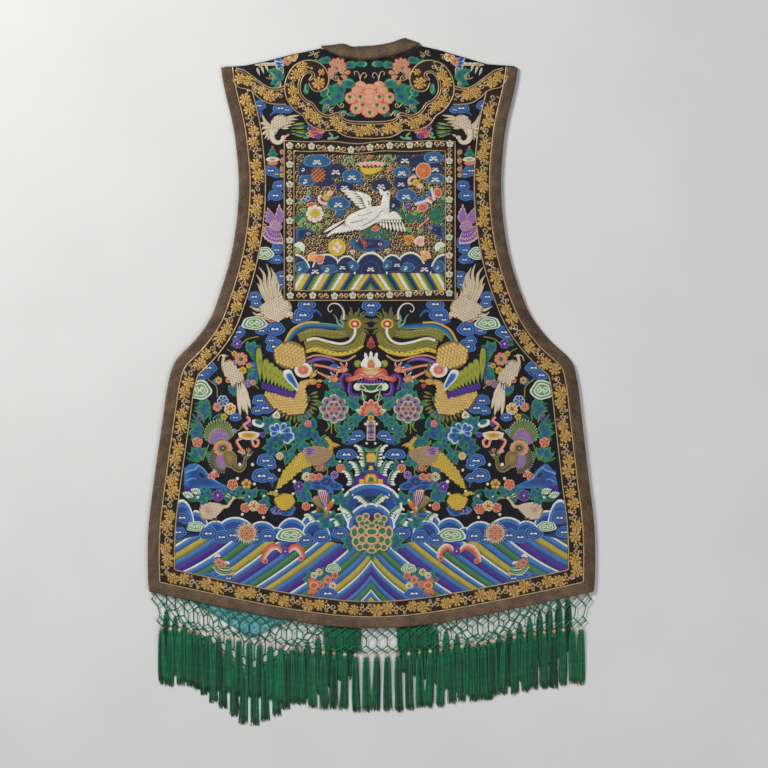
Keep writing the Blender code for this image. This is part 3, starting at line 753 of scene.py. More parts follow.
# Dyed silk floss, laid in satin stitch: soft directional lustre, and a line for every thread.
FLOSS = StitchedFinish("silk_floss_satin_stitched", 0.5, sheen=0.15, ior=1.54)
# Gilt paper wound on silk and couched down in pairs: a warm, broken metal glint.
GILT_THREAD = StitchedFinish("gilt_thread_couched", 0.46, metallic=0.5, pitch=1.5, relief=0.4, streak=0.3)
# Brown-black warp-faced satin of the bands: a warm dark ground that lets the gilt stand out, with a paler
# brown painted sheen in patches.
BROWN_SATIN = SatinFinish("brown_silk_satin_woven", 0.6, ior=1.35,
                          base=linear("#1c120b"), painted_sheen=linear("#33241a"))
# Black warp-faced satin under the embroidery: nearly black, with a bluish painted sheen in patches.
BLACK_SATIN = SatinFinish("black_silk_satin_woven", 0.62, ior=1.35,
                          base=linear("#09080c"), painted_sheen=linear("#141421"))
# Galloon of brown silk and tarnished gilt strip: rough dark twill with small gold glints.
GALLOON = BraidFinish("gilt_galloon_woven", 0.55)
# Teal silk damask of the lining: its figures are painted paler, as sheen, and are smoother.
TEAL_DAMASK = DamaskFinish("teal_silk_damask_woven", 0.5, sheen=0.25, ior=1.54)
# Green silk, thrown and knotted or left in loose threads: deep, with a soft light along each thread.
GREEN_SILK = StitchedFinish("green_silk_thrown", 0.5, sheen=0.08, ior=1.45, pitch=0.8, relief=0.3)
# Coral-coloured glass beads, pressed and polished: small hard highlights.
GLASS_BEAD = StitchedFinish("coral_glass_bead_pressed", 0.2, ior=1.52, coat=0.5, relief=0.05, streak=0.12)
# Matt plaster floor.
PALE_FLOOR = PlasterFinish("pale_plaster_trowelled", 0.9)


# ---------------------------------------------------------------- meshes
@dataclass(frozen=True)
class Place:
    """Where a motif is worked: a turn, a size and a point, as one change from its own flat frame."""

    a: float = 1.0
    b: float = 0.0
    c: float = 0.0
    d: float = 1.0
    x: float = 0.0
    y: float = 0.0

    def to(self, u: float, v: float) -> Flat:
        """Give the point on the cloth for a point of the motif."""
        return self.a * u + self.b * v + self.x, self.c * u + self.d * v + self.y

    def at(self, u: float, v: float, turn: float = 0.0, size: float = 1.0, wide: float = 1.0) -> "Place":
        """Give a place inside this one.

        Args:
            u: Across, in this place's own frame.
            v: Up, in this place's own frame.
            turn: How far the new frame turns left.
            size: How much larger it is.
            wide: How much wider again it is across; a negative number mirrors it.

        Returns:
            The new place.
        """
        cosine, sine = math.cos(math.radians(turn)) * size, math.sin(math.radians(turn)) * size
        x, y = self.to(u, v)
        return Place((self.a * cosine + self.b * sine) * wide, self.b * cosine - self.a * sine,
                     (self.c * cosine + self.d * sine) * wide, self.d * cosine - self.c * sine, x, y)


def both_sides(axis: float) -> tuple[Place, Place]:
    """Give the vest's own place and its mirror image over an upright axis."""
    return Place(), Place(-1.0, 0.0, 0.0, 1.0, 2 * axis, 0.0)


AXIS = -0.8                 # the field's middle line
INNER = 45.2                # how far inside the outline the field's work ends, under the band's inner cord
SIDES = both_sides(AXIS)
YOKE_AXIS = -3.3            # the yoke's own middle line
GOLDEN_ANGLE = 2.399963     # radians; threads that each turn by this never line up
Stops = Sequence[tuple[float, Silk | Colour]]


def plain(colour: Silk | Colour) -> Colour:
    """Give a colour's three shares, whether it is a named silk or a mixed one."""
    return colour.value if isinstance(colour, Silk) else colour


UNDYED = (1.0, 1.0, 1.0)    # the tint of a woven piece, whose colour is its finish's own


def only(colour: Silk | Colour) -> Stops:
    """Give the stops of a patch of one colour."""
    return [(0, colour), (1, colour)]


def bands_of(stops: Stops) -> list[tuple[float, Colour, float, Colour]]:
    """Turn colour stops into bands, each with a colour at both its edges; a repeated stop is a hard edge."""
    return [(a, plain(p), b, plain(q)) for (a, p), (b, q) in zip(stops, stops[1:]) if b > a]


class Work:
    """A piece of needlework in the making: points in millimetres, a tint and a thread place per corner."""

    flat_share = 0.3        # a patch whose first colour runs further in than this would look flat,
    shoulder = 0.16         # so it gets one more ring of points here

    def __init__(self, form: VestForm, rest: float = 0.05, inwards: float | None = None) -> None:
        """Start an empty piece.

        Args:
            form: The vest that it lies on.
            rest: How high over the back panel's face it lies.
            inwards: How far inside the outline it is cut off, if it is.
        """
        self.form = form
        self.rest = rest
        self.inwards = inwards
        self.points: list[tuple[float, float, float]] = []
        self.faces: list[tuple[int, ...]] = []
        self.tints: list[Colour] = []
        self.threads: list[Flat] = []
        self.slots: list[int] = []

    def point(self, x: float, y: float, z: float) -> int:
        """Add a point, moved inside the cut line if the piece has one, and give its number.

        Args:
            x: How far across the vest.
            y: How far up the vest.
            z: Its height.

        Returns:
            The number of the point.
        """
        if self.inwards is not None:
            x, y = self.form.kept(x, y, self.inwards)
        self.points.append((x, y, z))
        return len(self.points) - 1

    def face(self, corners: Sequence[int], tints: Sequence[Colour], threads: Sequence[Flat],
             slot: int = 0) -> None:
        """Add a face with its corners' tints and thread places.

        Args:
            corners: The numbers of its points.
            tints: Its corners' tints.
            threads: Their places along and across the thread.
            slot: The number of its finish.
        """
        self.faces.append(tuple(corners))
        self.tints.extend(tints)
        self.threads.extend(threads)
        self.slots.append(slot)

    def patch(self, place: Place, outline: Sequence[Flat], stops: Stops, rise: float = 0.45,
              layer: float = 0.0, centre: Flat | None = None) -> None:
        """Work a padded patch that rises from its outline to its middle.

        Args:
            place: Where it is worked.
            outline: Its edge, in the place's own frame.
            stops: Its colours from the edge, at 0, to the middle, at 1.
            rise: How high its middle stands.
            layer: How high the whole patch lies on what is under it.
            centre: Its middle, or the mean of its edge.
        """
        edge = [place.to(*p) for p in outline]
        count = len(edge)
        if centre is None:
            cx, cy = sum(p[0] for p in edge) / count, sum(p[1] for p in edge) / count
        else:
            cx, cy = place.to(*centre)
        turn = sum(a[0] * b[1] - a[1] * b[0] for a, b in zip(edge, edge[1:] + edge[:1]))
        if turn < 0:
            edge.reverse()
        bands = bands_of(stops)
        if bands[0][2] > self.flat_share:
            share, outer, end, inner = bands[0]
            cut = self.shoulder
            middle = blend(outer, inner, cut / end)
            bands[:1] = [(share, outer, cut, middle), (cut, middle, end, inner)]
        travel = travelled(edge + edge[:1])
        reach = [math.dist(p, (cx, cy)) for p in edge]
        ground = self.form.surface(cx, cy) + self.rest + layer
        tilt_x = (self.form.surface(cx + 2, cy) - self.form.surface(cx - 2, cy)) / 4
        tilt_y = (self.form.surface(cx, cy + 2) - self.form.surface(cx, cy - 2)) / 4

        def ring(share: float) -> list[int]:
            """Add the ring of points at a share of the way in.

            Args:
                share: The share of the way from the edge to the middle.

            Returns:
                The numbers of its points.
            """
            high = rise * (1 - (1 - share) ** 2)
            found = []
            for x, y in edge:
                px, py = cx + (x - cx) * (1 - share), cy + (y - cy) * (1 - share)
                found.append(self.point(px, py, ground + (px - cx) * tilt_x + (py - cy) * tilt_y + high))
            return found

        rings = {0.0: ring(0.0)}
        for start, outer, end, inner in bands:
            if end >= 1.0:
                top = self.point(cx, cy, ground + rise)
                for k in range(count):
                    j = (k + 1) % count
                    self.face((rings[start][k], rings[start][j], top), (outer, outer, inner),
                              ((travel[k], reach[k] * start), (travel[k + 1], reach[j] * start),
                               ((travel[k] + travel[k + 1]) / 2, reach[k])))
                break
            if end not in rings:
                rings[end] = ring(end)
            for k in range(count):
                j = (k + 1) % count
                self.face((rings[start][k], rings[start][j], rings[end][j], rings[end][k]),
                          (outer, outer, inner, inner),
                          ((travel[k], reach[k] * start), (travel[k + 1], reach[j] * start),
                           (travel[k + 1], reach[j] * end), (travel[k], reach[k] * end)))

    def ribbon(self, place: Place, path: Sequence[Flat], half: float | Sequence[float], stops: Stops,
               rise: float = 0.3, layer: float = 0.0, closed: bool = False, lengthwise: bool = False,
               fade: tuple[Silk | Colour, float] | None = None) -> None:
        """Work a band of thread along a line.

        Args:
            place: Where it is worked.
            path: The line down its middle, in the place's own frame.
            half: Half its width, the same all along or at each point.
            stops: Its colours across, from -1 at its right edge to 1 at its left.
            rise: How high its middle stands.
            layer: How high the whole band lies on what is under it.
            closed: Whether the line comes back to its start.
            lengthwise: Whether its threads run along it, and not across.
            fade: A colour that it turns to along its length, and how far.
        """
        line = [place.to(*p) for p in path]
        count = len(line)
        size = math.sqrt(abs(place.a * place.d - place.b * place.c))
        halves = [half] * count if isinstance(half, (int, float)) else list(half)
        sides = normals(line, closed)
        bands = bands_of(stops)
        spots = [bands[0][0]] + [band[2] for band in bands]
        travel, rows = 0.0, []
        for k, ((x, y), (nx, ny), wide) in enumerate(zip(line, sides, halves)):
            if k:
                travel += math.dist(line[k - 1], (x, y))
            ground = self.form.surface(x, y) + self.rest + layer
            rows.append((travel, [(self.point(x + nx * wide * size * s, y + ny * wide * size * s,
                                              ground + rise * (1 - s * s)), wide * size * s) for s in spots]))
        if closed:
            rows.append((travel + math.dist(line[-1], line[0]), rows[0][1]))
        for k, ((start, low), (end, high)) in enumerate(zip(rows, rows[1:])):
            shares = (k / (len(rows) - 1), (k + 1) / (len(rows) - 1))
            for j, (_, right, _, left) in enumerate(bands):
                tints = [right, left, left, right]
                if fade is not None:
                    near, far = (fade[1] * share for share in shares)
                    tints = [blend(t, plain(fade[0]), f) for t, f in zip(tints, (near, near, far, far))]
                threads = [(start, low[j][1]), (start, low[j + 1][1]), (end, high[j + 1][1]),
                           (end, high[j][1])]
                if lengthwise:
                    threads = [(b, a) for a, b in threads]
                corners = (low[j][0], low[j + 1][0], high[j + 1][0], high[j][0])
                self.face(corners[::-1], tints[::-1], threads[::-1])

    def cord(self, place: Place, path: Sequence[Flat], half: float, colour: Silk | Colour, layer: float = 0.0,
             closed: bool = False, taper: bool = False) -> None:
        """Couch a round cord down along a line, its two edges painted darker as shade on its round.

        Args:
            place: Where it is worked.
            path: The line.
            half: Half its thickness.
            colour: Its colour.
            layer: How high it lies over what is under it.
            closed: Whether it closes on itself.
            taper: Whether it thins towards its end.
        """
        halves = half if not taper else [half * (1 - 0.55 * k / (len(path) - 1)) for k in range(len(path))]
        # painted shade: the cord's edges are darker than its middle, where its round turns away
        shade = blend(plain(colour), Silk.INK.value, 0.35)
        self.ribbon(place, path, halves, [(-1, shade), (0, colour), (1, shade)], half * 1.1, layer, closed,
                    lengthwise=True)

    def dot(self, place: Place, u: float, v: float, radius: float, colour: Silk | Colour, layer: float = 0.0,
            sides: int = 8, rim: Silk | Colour | None = None) -> None:
        """Work a small round knot.

        Args:
            place: Where it is worked.
            u: Its place along the motif.
            v: Its place up the motif.
            radius: Its radius.
            colour: Its colour.
            layer: How high it lies over what is under it.
            sides: How many corners it has.
            rim: The colour of its edge.
        """
        outline = [(u + radius * math.cos(2 * math.pi * k / sides),
                    v + radius * math.sin(2 * math.pi * k / sides))
                   for k in range(sides)]
        stops = [(0, rim or colour), (0.3, rim or colour), (0.3, colour), (1, colour)]
        self.patch(place, outline, stops, min(0.6, radius * 0.5), layer)

    def web(self, lines: Sequence[Sequence[Flat]], heights: Sequence[float],
            tints: Sequence[tuple[Colour, Colour]]) -> None:
        """Work a strip between lines that run side by side.

        Args:
            lines: The lines, each with the same number of points.
            heights: How high each line lies.
            tints: For each strip between two lines, its colours at the first and at the second.
        """
        grid = [[self.point(x, y, self.form.surface(x, y) + self.rest + high) for x, y in line]
                for line, high in zip(lines, heights)]
        travel = travelled(lines[0])
        across = 0.0
        for j, (near, far) in enumerate(tints):
            wide = max(math.dist(a, b) for a, b in zip(lines[j], lines[j + 1]))
            for k in range(len(travel) - 1):
                a, b, c, d = lines[j][k], lines[j][k + 1], lines[j + 1][k + 1], lines[j + 1][k]
                area = (c[0] - a[0]) * (d[1] - b[1]) - (c[1] - a[1]) * (d[0] - b[0])
                if abs(area) < 0.02:
                    continue
                corners = [grid[j][k], grid[j][k + 1], grid[j + 1][k + 1], grid[j + 1][k]]
                colours = [near, near, far, far]
                threads = [(travel[k], across), (travel[k + 1], across), (travel[k + 1], across + wide),
                           (travel[k], across + wide)]
                if area < 0:
                    corners, colours, threads = corners[::-1], colours[::-1], threads[::-1]
                self.face(corners, colours, threads)
            across += wide

    def loft(self, rings: Sequence[Sequence[tuple[float, float, float]]], tints: Sequence[Colour],
             slot: int = 0, ends: bool = True) -> None:
        """Join rings of points into a closed tube-like form.

        Args:
            rings: The rings, each with the same number of points.
            tints: A tint for each ring.
            slot: The number of its material.
            ends: Whether the two ends are closed.
        """
        count = len(rings[0])
        numbers = [[self.point(*p) for p in ring] for ring in rings]
        travel = 0.0
        for k, (low, high) in enumerate(zip(numbers, numbers[1:])):
            step = math.dist(rings[k][0], rings[k + 1][0])
            for j in range(count):
                i = (j + 1) % count
                self.face((low[j], low[i], high[i], high[j]),
                          (tints[k], tints[k], tints[k + 1], tints[k + 1]),
                          ((j, travel), (j + 1, travel), (j + 1, travel + step), (j, travel + step)), slot)
            travel += step
        if ends:
            self.face(numbers[0][::-1], [tints[0]] * count, [(j, 0.0) for j in range(count)], slot)
            self.face(numbers[-1], [tints[-1]] * count, [(j, travel) for j in range(count)], slot)

    def finish(self, name: str, finishes: Sequence[Finish], slot: str, replaces: Sequence[str] = (),
               smooth: bool = True) -> bpy.types.Object:
        """Make the object, dress it and hang it on the vest.

        Args:
            name: The piece's name.
            finishes: Its materials, in the order of the faces' slots.
            slot: The record's material slot; not used.
            replaces: The CAD nodes that it stands for.
            smooth: Whether its faces are shaded smooth.

        Returns:
            The object.
        """
        data = bpy.data.meshes.new(name)
        data.from_pydata([(x * MM, y * MM, z * MM) for x, y, z in self.points], [], self.faces)
        tint = data.attributes.new("Tint", "FLOAT_COLOR", "CORNER")
        tint.data.foreach_set("color", [value for colour in self.tints for value in (*colour, 1.0)])
        thread = data.uv_layers.new(name="Thread")
        thread.uv.foreach_set("vector", [value for spot in self.threads for value in spot])
        data.polygons.foreach_set("material_index", self.slots)
        data.polygons.foreach_set("use_smooth", [smooth] * len(self.faces))
        for item in finishes:
            data.materials.append(item.make())
        made = bpy.data.objects.new(name, data)
        bpy.context.scene.collection.objects.link(made)
        self.lay_bake_map(data)
        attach(made, "root")
        if replaces:
            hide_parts(*replaces)
        log.info("%s: %d triangles", name, sum(len(f) - 2 for f in self.faces))
        return made

    def lay_bake_map(self, data: bpy.types.Mesh) -> None:
        """Add a map seen from straight above, on which an export can hold the piece's colours.

        Args:
            data: The mesh.
        """
        low_x, low_y = min(p[0] for p in self.points), min(p[1] for p in self.points)
        span = max(max(p[0] for p in self.points) - low_x, max(p[1] for p in self.points) - low_y)
        bake = data.uv_layers.new(name="OFBake")
        bake.uv.foreach_set("vector", [value for f in self.faces for k in f
                                       for value in ((self.points[k][0] - low_x) / span,
                                                     (self.points[k][1] - low_y) / span)])


# ---------------------------------------------------------------- cloth
@dataclass
class ClothPanels:
    """The vest's back, its two fronts and the lining, each a thin shell on its solid's form."""

    form: VestForm
    columns: int = 168
    cell: float = 8.0
    clear: float = 1.3
    shell: float = 1.2
    drop: float = 940.0
    half_hem: float = 366.0
    roll: tuple = ((0.0, 1.6), (0.0, 2.6), (0.6, 3.7), (2.0, 0.0), (4.5, 0.0))
    under_roll: float = 7.0
    peak: tuple = (2.4, -71.0, 9.0)
    front_clear: float = 5.6
    front_drop: float = 9.0
    front_length: float = 822.0
    front_lowest: float = -330.0
    front_neck: Flat = (34.0, 470.0)
    front_left_hem: tuple = ((-352.0, -326.0), (-199.0, -421.0), (-43.0, -352.0))
    front_right_hem: tuple = ((45.0, -325.0), (182.0, -378.0), (345.0, -288.0))
    shoulder: tuple = ((90.0, 0.0), (150.0, 0.0))
    back_cut: tuple = (0.738, 0.965)
    back_area: float = 0.60
    front_cut: tuple = (0.318, 0.965)
    front_area: float = 0.232

    def grid(self, name: str, rows: list[list[tuple[float, float, float]]], finish: Finish, slot: str,
             replaces: Sequence[str]) -> bpy.types.Object:
        """Make a thin shell through rows of points, with its thickness underneath.

        Args:
            name: Its name.
            rows: The rows of points.
            finish: Its material.
            slot: The record's slot for it.
            replaces: The CAD nodes that it stands for.

        Returns:
            The object.
        """
        work = Work(self.form)
        numbers = [[work.point(*p) for p in row] for row in rows]
        for upper, lower in zip(numbers, numbers[1:]):
            for c in range(len(upper) - 1):
                corners = (upper[c], lower[c], lower[c + 1], upper[c + 1])
                work.face(corners, (UNDYED,) * 4, [work.points[k][:2] for k in corners])
        made = work.finish(name, [finish], slot, replaces)
        shell = made.modifiers.new("thickness", "SOLIDIFY")
        shell.thickness = self.shell * MM
        shell.offset = -1.0
        bpy.context.view_layer.objects.active = made
        made.select_set(True)
        bpy.ops.object.modifier_apply(modifier=shell.name)
        made.select_set(False)
        return made

    def back(self) -> bpy.types.Object:
        """Make the back panel, rolled over at the shoulders.

        Returns:
            The piece.
        """
        form, roll = self.form, self.roll
        peak, peak_place, peak_reach = self.peak
        count = int(self.drop / self.cell)
        rows = []
        for r in range(len(roll) + count + 1):
            row = []
            for c in range(self.columns + 1):
                share = 2 * c / self.columns - 1
                guess = form.lean.at(500.0) + share * (form.half.at(500.0) - self.clear)
                top = form.top(guess) - 0.2 + peak * math.exp(-((guess - peak_place) / peak_reach) ** 2)
                if r < len(roll):
                    y = top - roll[r][0]
                else:
                    low = form.hem(share * self.half_hem) + self.clear
                    travel = (r - len(roll)) / count
                    y = (top - self.under_roll) + (low - top + self.under_roll) * travel
                reach = max(y, form.hem(self.half_hem))
                x = form.lean.at(reach) + share * (form.half.at(reach) - self.clear)
                height = roll[r][1] if r < len(roll) and roll[r][1] else form.surface(x, y)
                row.append((x, y, height))
            rows.append(row)
        return self.grid("back_panel_satin", rows, BLACK_SATIN, "navy_satin", ["back_panel"])

    def front(self, side: int, hem: Sequence[Flat], inset: float, height: float, name: str, finish: Finish,
              slot: str, replaces: Sequence[str]) -> bpy.types.Object:
        """Make one layer of a front, from its shoulder to its pointed hem.

        Args:
            side: -1 for the left front and 1 for the right.
            hem: The corners of its hem.
            inset: How far inside the front's own cut it lies.
            height: How high its upper face lies.
            name: The piece's name.
            finish: Its material.
            slot: The record's slot for it.
            replaces: The CAD nodes that it stands for.

        Returns:
            The object.
        """
        form, columns, count = self.form, 40, 110
        edge = self.front_neck[0] + inset
        low_edge = abs(hem[-1][0] if side < 0 else hem[0][0]) + inset
        clear = self.front_clear + inset
        lowered = self.front_drop + inset
        tops = sorted([(side * 400.0, form.top_level - lowered)]
                      + [(side * x, form.top(side * x) - lowered) for x, _ in self.shoulder]
                      + [(side * edge, self.front_neck[1] - inset)])
        rows = []
        for r in range(count + 1):
            row = []
            for c in range(columns + 1):
                share = c / columns
                y, x = 0.0, 0.0
                for _ in range(4):
                    outer = form.side(side, max(y, self.front_lowest), clear)
                    down = min(max((self.front_neck[1] - y) / self.front_length, 0), 1)
                    inner = side * (edge + (low_edge - edge) * down)
                    x = outer + (inner - outer) * share
                    top, low = straight(tops, x), straight(hem, x) + inset
                    y = top + (low - top) * r / count
                crumple = 0.35 * math.sin(x / 17.0 + y / 31.0) + 0.25 * math.sin(x / 9.0 - y / 23.0)
                row.append((x, y, height - 0.3 + 0.45 * crumple))
            rows.append(row if side < 0 else row[::-1])
        return self.grid(name, rows, finish, slot, replaces)

    def build(self) -> list[bpy.types.Object]:
        """Make the panels and say what they were cut from.

        Returns:
            The pieces.
        """
        back = self.back()
        left = self.front(-1, self.front_left_hem, 0.0, 1.85, "front_left_satin", BLACK_SATIN, "navy_satin",
                          ["front_left"])
        lining = self.front(-1, self.front_left_hem, 0.5, 3.2, "front_left_lining", TEAL_DAMASK,
                            "teal_lining", ["front_lining_left"])
        right = self.front(1, self.front_right_hem, 0.0, 3.1, "front_right_satin", BLACK_SATIN, "navy_satin",
                           ["front_right"])
        return [back, left, lining, right]


# ---------------------------------------------------------------- trims
@dataclass
class EdgeTrims:
    """The galloon round the sides and hem, the brown-black band inside it and the neck's binding."""

    form: VestForm
    galloon: tuple = ((0.9, -1.6), (0.0, -0.9), (0.0, 0.7), (0.7, 1.25), (2.4, 1.5), (6.0, 1.62), (9.0, 1.56),
                      (12.0, 1.62), (15.6, 1.5), (17.3, 1.2), (18.0, 0.6), (18.0, 0.05))
    band: tuple = ((18.0, 0.2), (18.6, 1.05), (21.0, 1.25), (31.0, 1.3), (41.0, 1.25), (44.0, 1.05),
                   (44.6, 0.1))
    band_reach: float = 24.0
    neck: tuple = (
        (-82.5, 552.6, 556.0), (-68.0, 543.0, 557.0), (-46.0, 535.0, 559.4), (-32.0, 532.9, 554.9),
        (-18.0, 531.4, 555.4), (7.0, 532.3, 557.0), (34.0, 537.7, 562.0), (54.0, 543.9, 568.8),
        (61.0, 546.6, 567.0), (79.0, 557.1, 561.0))

    def along_rim(self, work: Work, section: Sequence[Flat], highest: float | None) -> None:
        """Lay a trim along the three sides of the rim.

        Args:
            work: The piece that it is laid in.
            section: Its section, as (inwards from the outline, above the cloth).
            highest: The height where it starts at both sides, or the panel's own top.
        """
        lines = [self.form.rim(inwards, highest) for inwards, _ in section]
        for run, count in ((0, 170), (1, 120), (2, 170)):
            rails = [resample(line[run], count) for line in lines]
            travel, before = 0.0, None
            for k in range(count):
                if k:
                    travel += math.dist(rails[2][k - 1], rails[2][k])
                row = [(work.point(*rails[j][k], self.form.surface(*rails[j][k]) + section[j][1]),
                        section[j][0])
                       for j in range(len(section))]
                if before is not None:
                    start, low = before
                    for j in range(len(section) - 1):
                        work.face((low[j][0], row[j][0], row[j + 1][0], low[j + 1][0]), (UNDYED,) * 4,
                                  ((start, low[j][1]), (travel, row[j][1]), (travel, row[j + 1][1]),
                                   (start, low[j + 1][1])))
                before = (travel, row)

    def neck_roll(self) -> bpy.types.Object:
        """Make the neck's binding: a soft roll of galloon, wavy along its upper edge.

        Returns:
            The piece.
        """
        work = Work(self.form)
        lows = SmoothRow((x, low) for x, low, _ in self.neck)
        highs = SmoothRow((x, high) for x, _, high in self.neck)
        start, end, count, sides = self.neck[0][0], self.neck[-1][0], 90, 10
        travel, before = 0.0, None
        for k in range(count + 1):
            x = start + (end - start) * k / count
            low, high = lows.at(x), highs.at(x)
            middle, half = (low + high) / 2, (high - low) / 2
            pinch = 1 + 0.05 * math.sin(x / 5.0)
            ring = []
            for j in range(sides + 1):
                angle = math.pi * (1.12 - 1.24 * j / sides)
                z = 0.6 + 5.1 * max(math.sin(angle), 0.0) ** 0.5 * pinch
                y = middle + half * math.cos(math.pi * j / sides)
                ring.append((work.point(x, y, z), y - middle))
            if before is not None:
                for j in range(sides):
                    work.face((before[j][0], before[j + 1][0], ring[j + 1][0], ring[j][0]), (UNDYED,) * 4,
                              ((travel, before[j][1]), (travel, before[j + 1][1]),
                               (travel + 1.9, ring[j + 1][1]), (travel + 1.9, ring[j][1])))
                travel += 1.9
            before = ring
        return work.finish("neck_galloon", [GALLOON], "metal_braid", ["neck_binding"])

    def build(self) -> list[bpy.types.Object]:
        """Make the galloon, the brown-black band and the neck's binding.

        Returns:
            The pieces.
        """
        edge = Work(self.form)
        self.along_rim(edge, self.galloon, None)
        band = Work(self.form)
        self.along_rim(band, self.band, self.form.band_top + self.band_reach)
        return [edge.finish("edge_galloon", [GALLOON], "metal_braid", ["edge_binding"]),
                band.finish("border_band_satin", [BROWN_SATIN], "gold_band", ["border_band"]),
                self.neck_roll()]


# ---------------------------------------------------------------- needlework shapes
def oval(wide: float, high: float, sides: int = 14, u: float = 0.0, v: float = 0.0) -> list[Flat]:
    """Give an oval's outline from its half width and half height."""
    return [(u + wide * math.cos(2 * math.pi * k / sides), v + high * math.sin(2 * math.pi * k / sides))
            for k in range(sides)]


def inside(spot: Flat, outline: Sequence[Flat]) -> bool:
    """Say whether a spot lies inside an outline.

    Args:
        spot: The spot.
        outline: The outline.

    Returns:
        True if the spot lies inside.
    """
    x, y = spot
    crossings = 0
    for (ax, ay), (bx, by) in zip(outline, list(outline[1:]) + [outline[0]]):
        if (ay > y) != (by > y) and x < ax + (bx - ax) * (y - ay) / (by - ay):
            crossings += 1
    return crossings % 2 == 1


def petal(length: float, width: float, blunt: float = 0.5) -> list[Flat]:
    """Give a petal's outline, from its root at the middle of the flower to its tip.

    Args:
        length: Its length.
        width: Its full width.
        blunt: How round its tip is, from 0 to 1.

    Returns:
        The outline.
    """
    half = width / 2
    side = [(half * 0.42, length * 0.22), (half * 0.9, length * 0.5), (half, length * 0.72),
            (half * blunt, length * 0.95)]
    return [(0.0, 0.0)] + side + [(0.0, length)] + [(-x, y) for x, y in side[::-1]]


def leaf_shape(length: float, width: float, notch: float = 0.12) -> list[Flat]:
    """Give a leaf's outline: two round lobes at each side and a point.

    Args:
        length: Its length.
        width: Its full width.
        notch: How deep it is cut between the lobes.

    Returns:
        The outline.
    """
    half = width / 2
    side = [(half * 0.62, length * 0.1), (half, length * 0.28), (half * (0.92 - notch), length * 0.43),
            (half * 0.86, length * 0.56), (half * 0.66, length * 0.72), (half * 0.26, length * 0.88)]
    return [(0.0, 0.0)] + side + [(0.0, length)] + [(-x, y) for x, y in side[::-1]]


def scalloped(wide: float, high: float, lobes: int, depth: float, start: float = 90.0) -> list[Flat]:
    """Give an outline of round lobes.

    Args:
        wide: Half its width.
        high: Half its height.
        lobes: How many lobes there are.
        depth: How deep they are, as a share.
        start: The angle of the middle of the first lobe.

    Returns:
        The outline.
    """
    found, steps = [], lobes * 5
    for k in range(steps):
        angle = 2 * math.pi * k / steps
        swell = 1 - depth + depth * abs(math.cos(lobes * angle / 2)) ** 0.7
        turn = angle + math.radians(start)
        found.append((wide * swell * math.cos(turn), high * swell * math.sin(turn)))
    return found


def spiral(inner: float, outer: float, turns: float, start: float = 0.0, step: float = 24.0) -> list[Flat]:
    """Give a spiral that winds inwards from its outer end.

    Args:
        inner: The radius at its heart.
        outer: The radius at its outer end.
        turns: How many turns it takes.
        start: The angle of its outer end.
        step: The angle from point to point.

    Returns:
        The points, from the outer end.
    """
    count = max(6, int(turns * 360 / step))
    found = []
    for k in range(count + 1):
        angle = math.radians(start + turns * 360 * k / count)
        radius = outer + (inner - outer) * k / count
        found.append((radius * math.cos(angle), radius * math.sin(angle)))
    return found


def station(run: Sequence[Flat], at: float) -> Place:
    """Give the place at a distance along a run, its own u along the run and its v to the left.

    Args:
        run: The run.
        at: The distance along it.

    Returns:
        The place.
    """
    travel = 0.0
    for a, b in zip(run, run[1:]):
        step = math.dist(a, b)
        if travel + step >= at:
            t = (at - travel) / step
            break
        travel += step
    else:
        t = 1.0
    turn = math.degrees(math.atan2(b[1] - a[1], b[0] - a[0]))
    return Place().at(a[0] + (b[0] - a[0]) * t, a[1] + (b[1] - a[1]) * t, turn)


def s_scroll(shift: float, wound: Sequence[Flat]) -> list[Flat]:
    """Give an S-scroll from one spiral: it stands aside by the shift, and its like comes back from it."""
    first = [(u - shift, v) for u, v in wound][::-1]
    return first + [(-u, -v) for u, v in first[::-1]]


def toward(place: Place, root: Flat, tip: Flat) -> Place:
    """Give the place at a feather's root that faces its tip."""
    return place.at(*root, math.degrees(math.atan2(tip[1] - root[1], tip[0] - root[0])) - 90)


def taper(first: float, loss: float, run: Sequence[Flat]) -> list[float]:
    """Give a half width for each point of a run, less by an even step each time."""
    return [first - loss * k / (len(run) - 1) for k in range(len(run))]


def length_of(run: Sequence[Flat]) -> float:
    """Give a run's length."""
    return sum(math.dist(a, b) for a, b in zip(run, run[1:]))


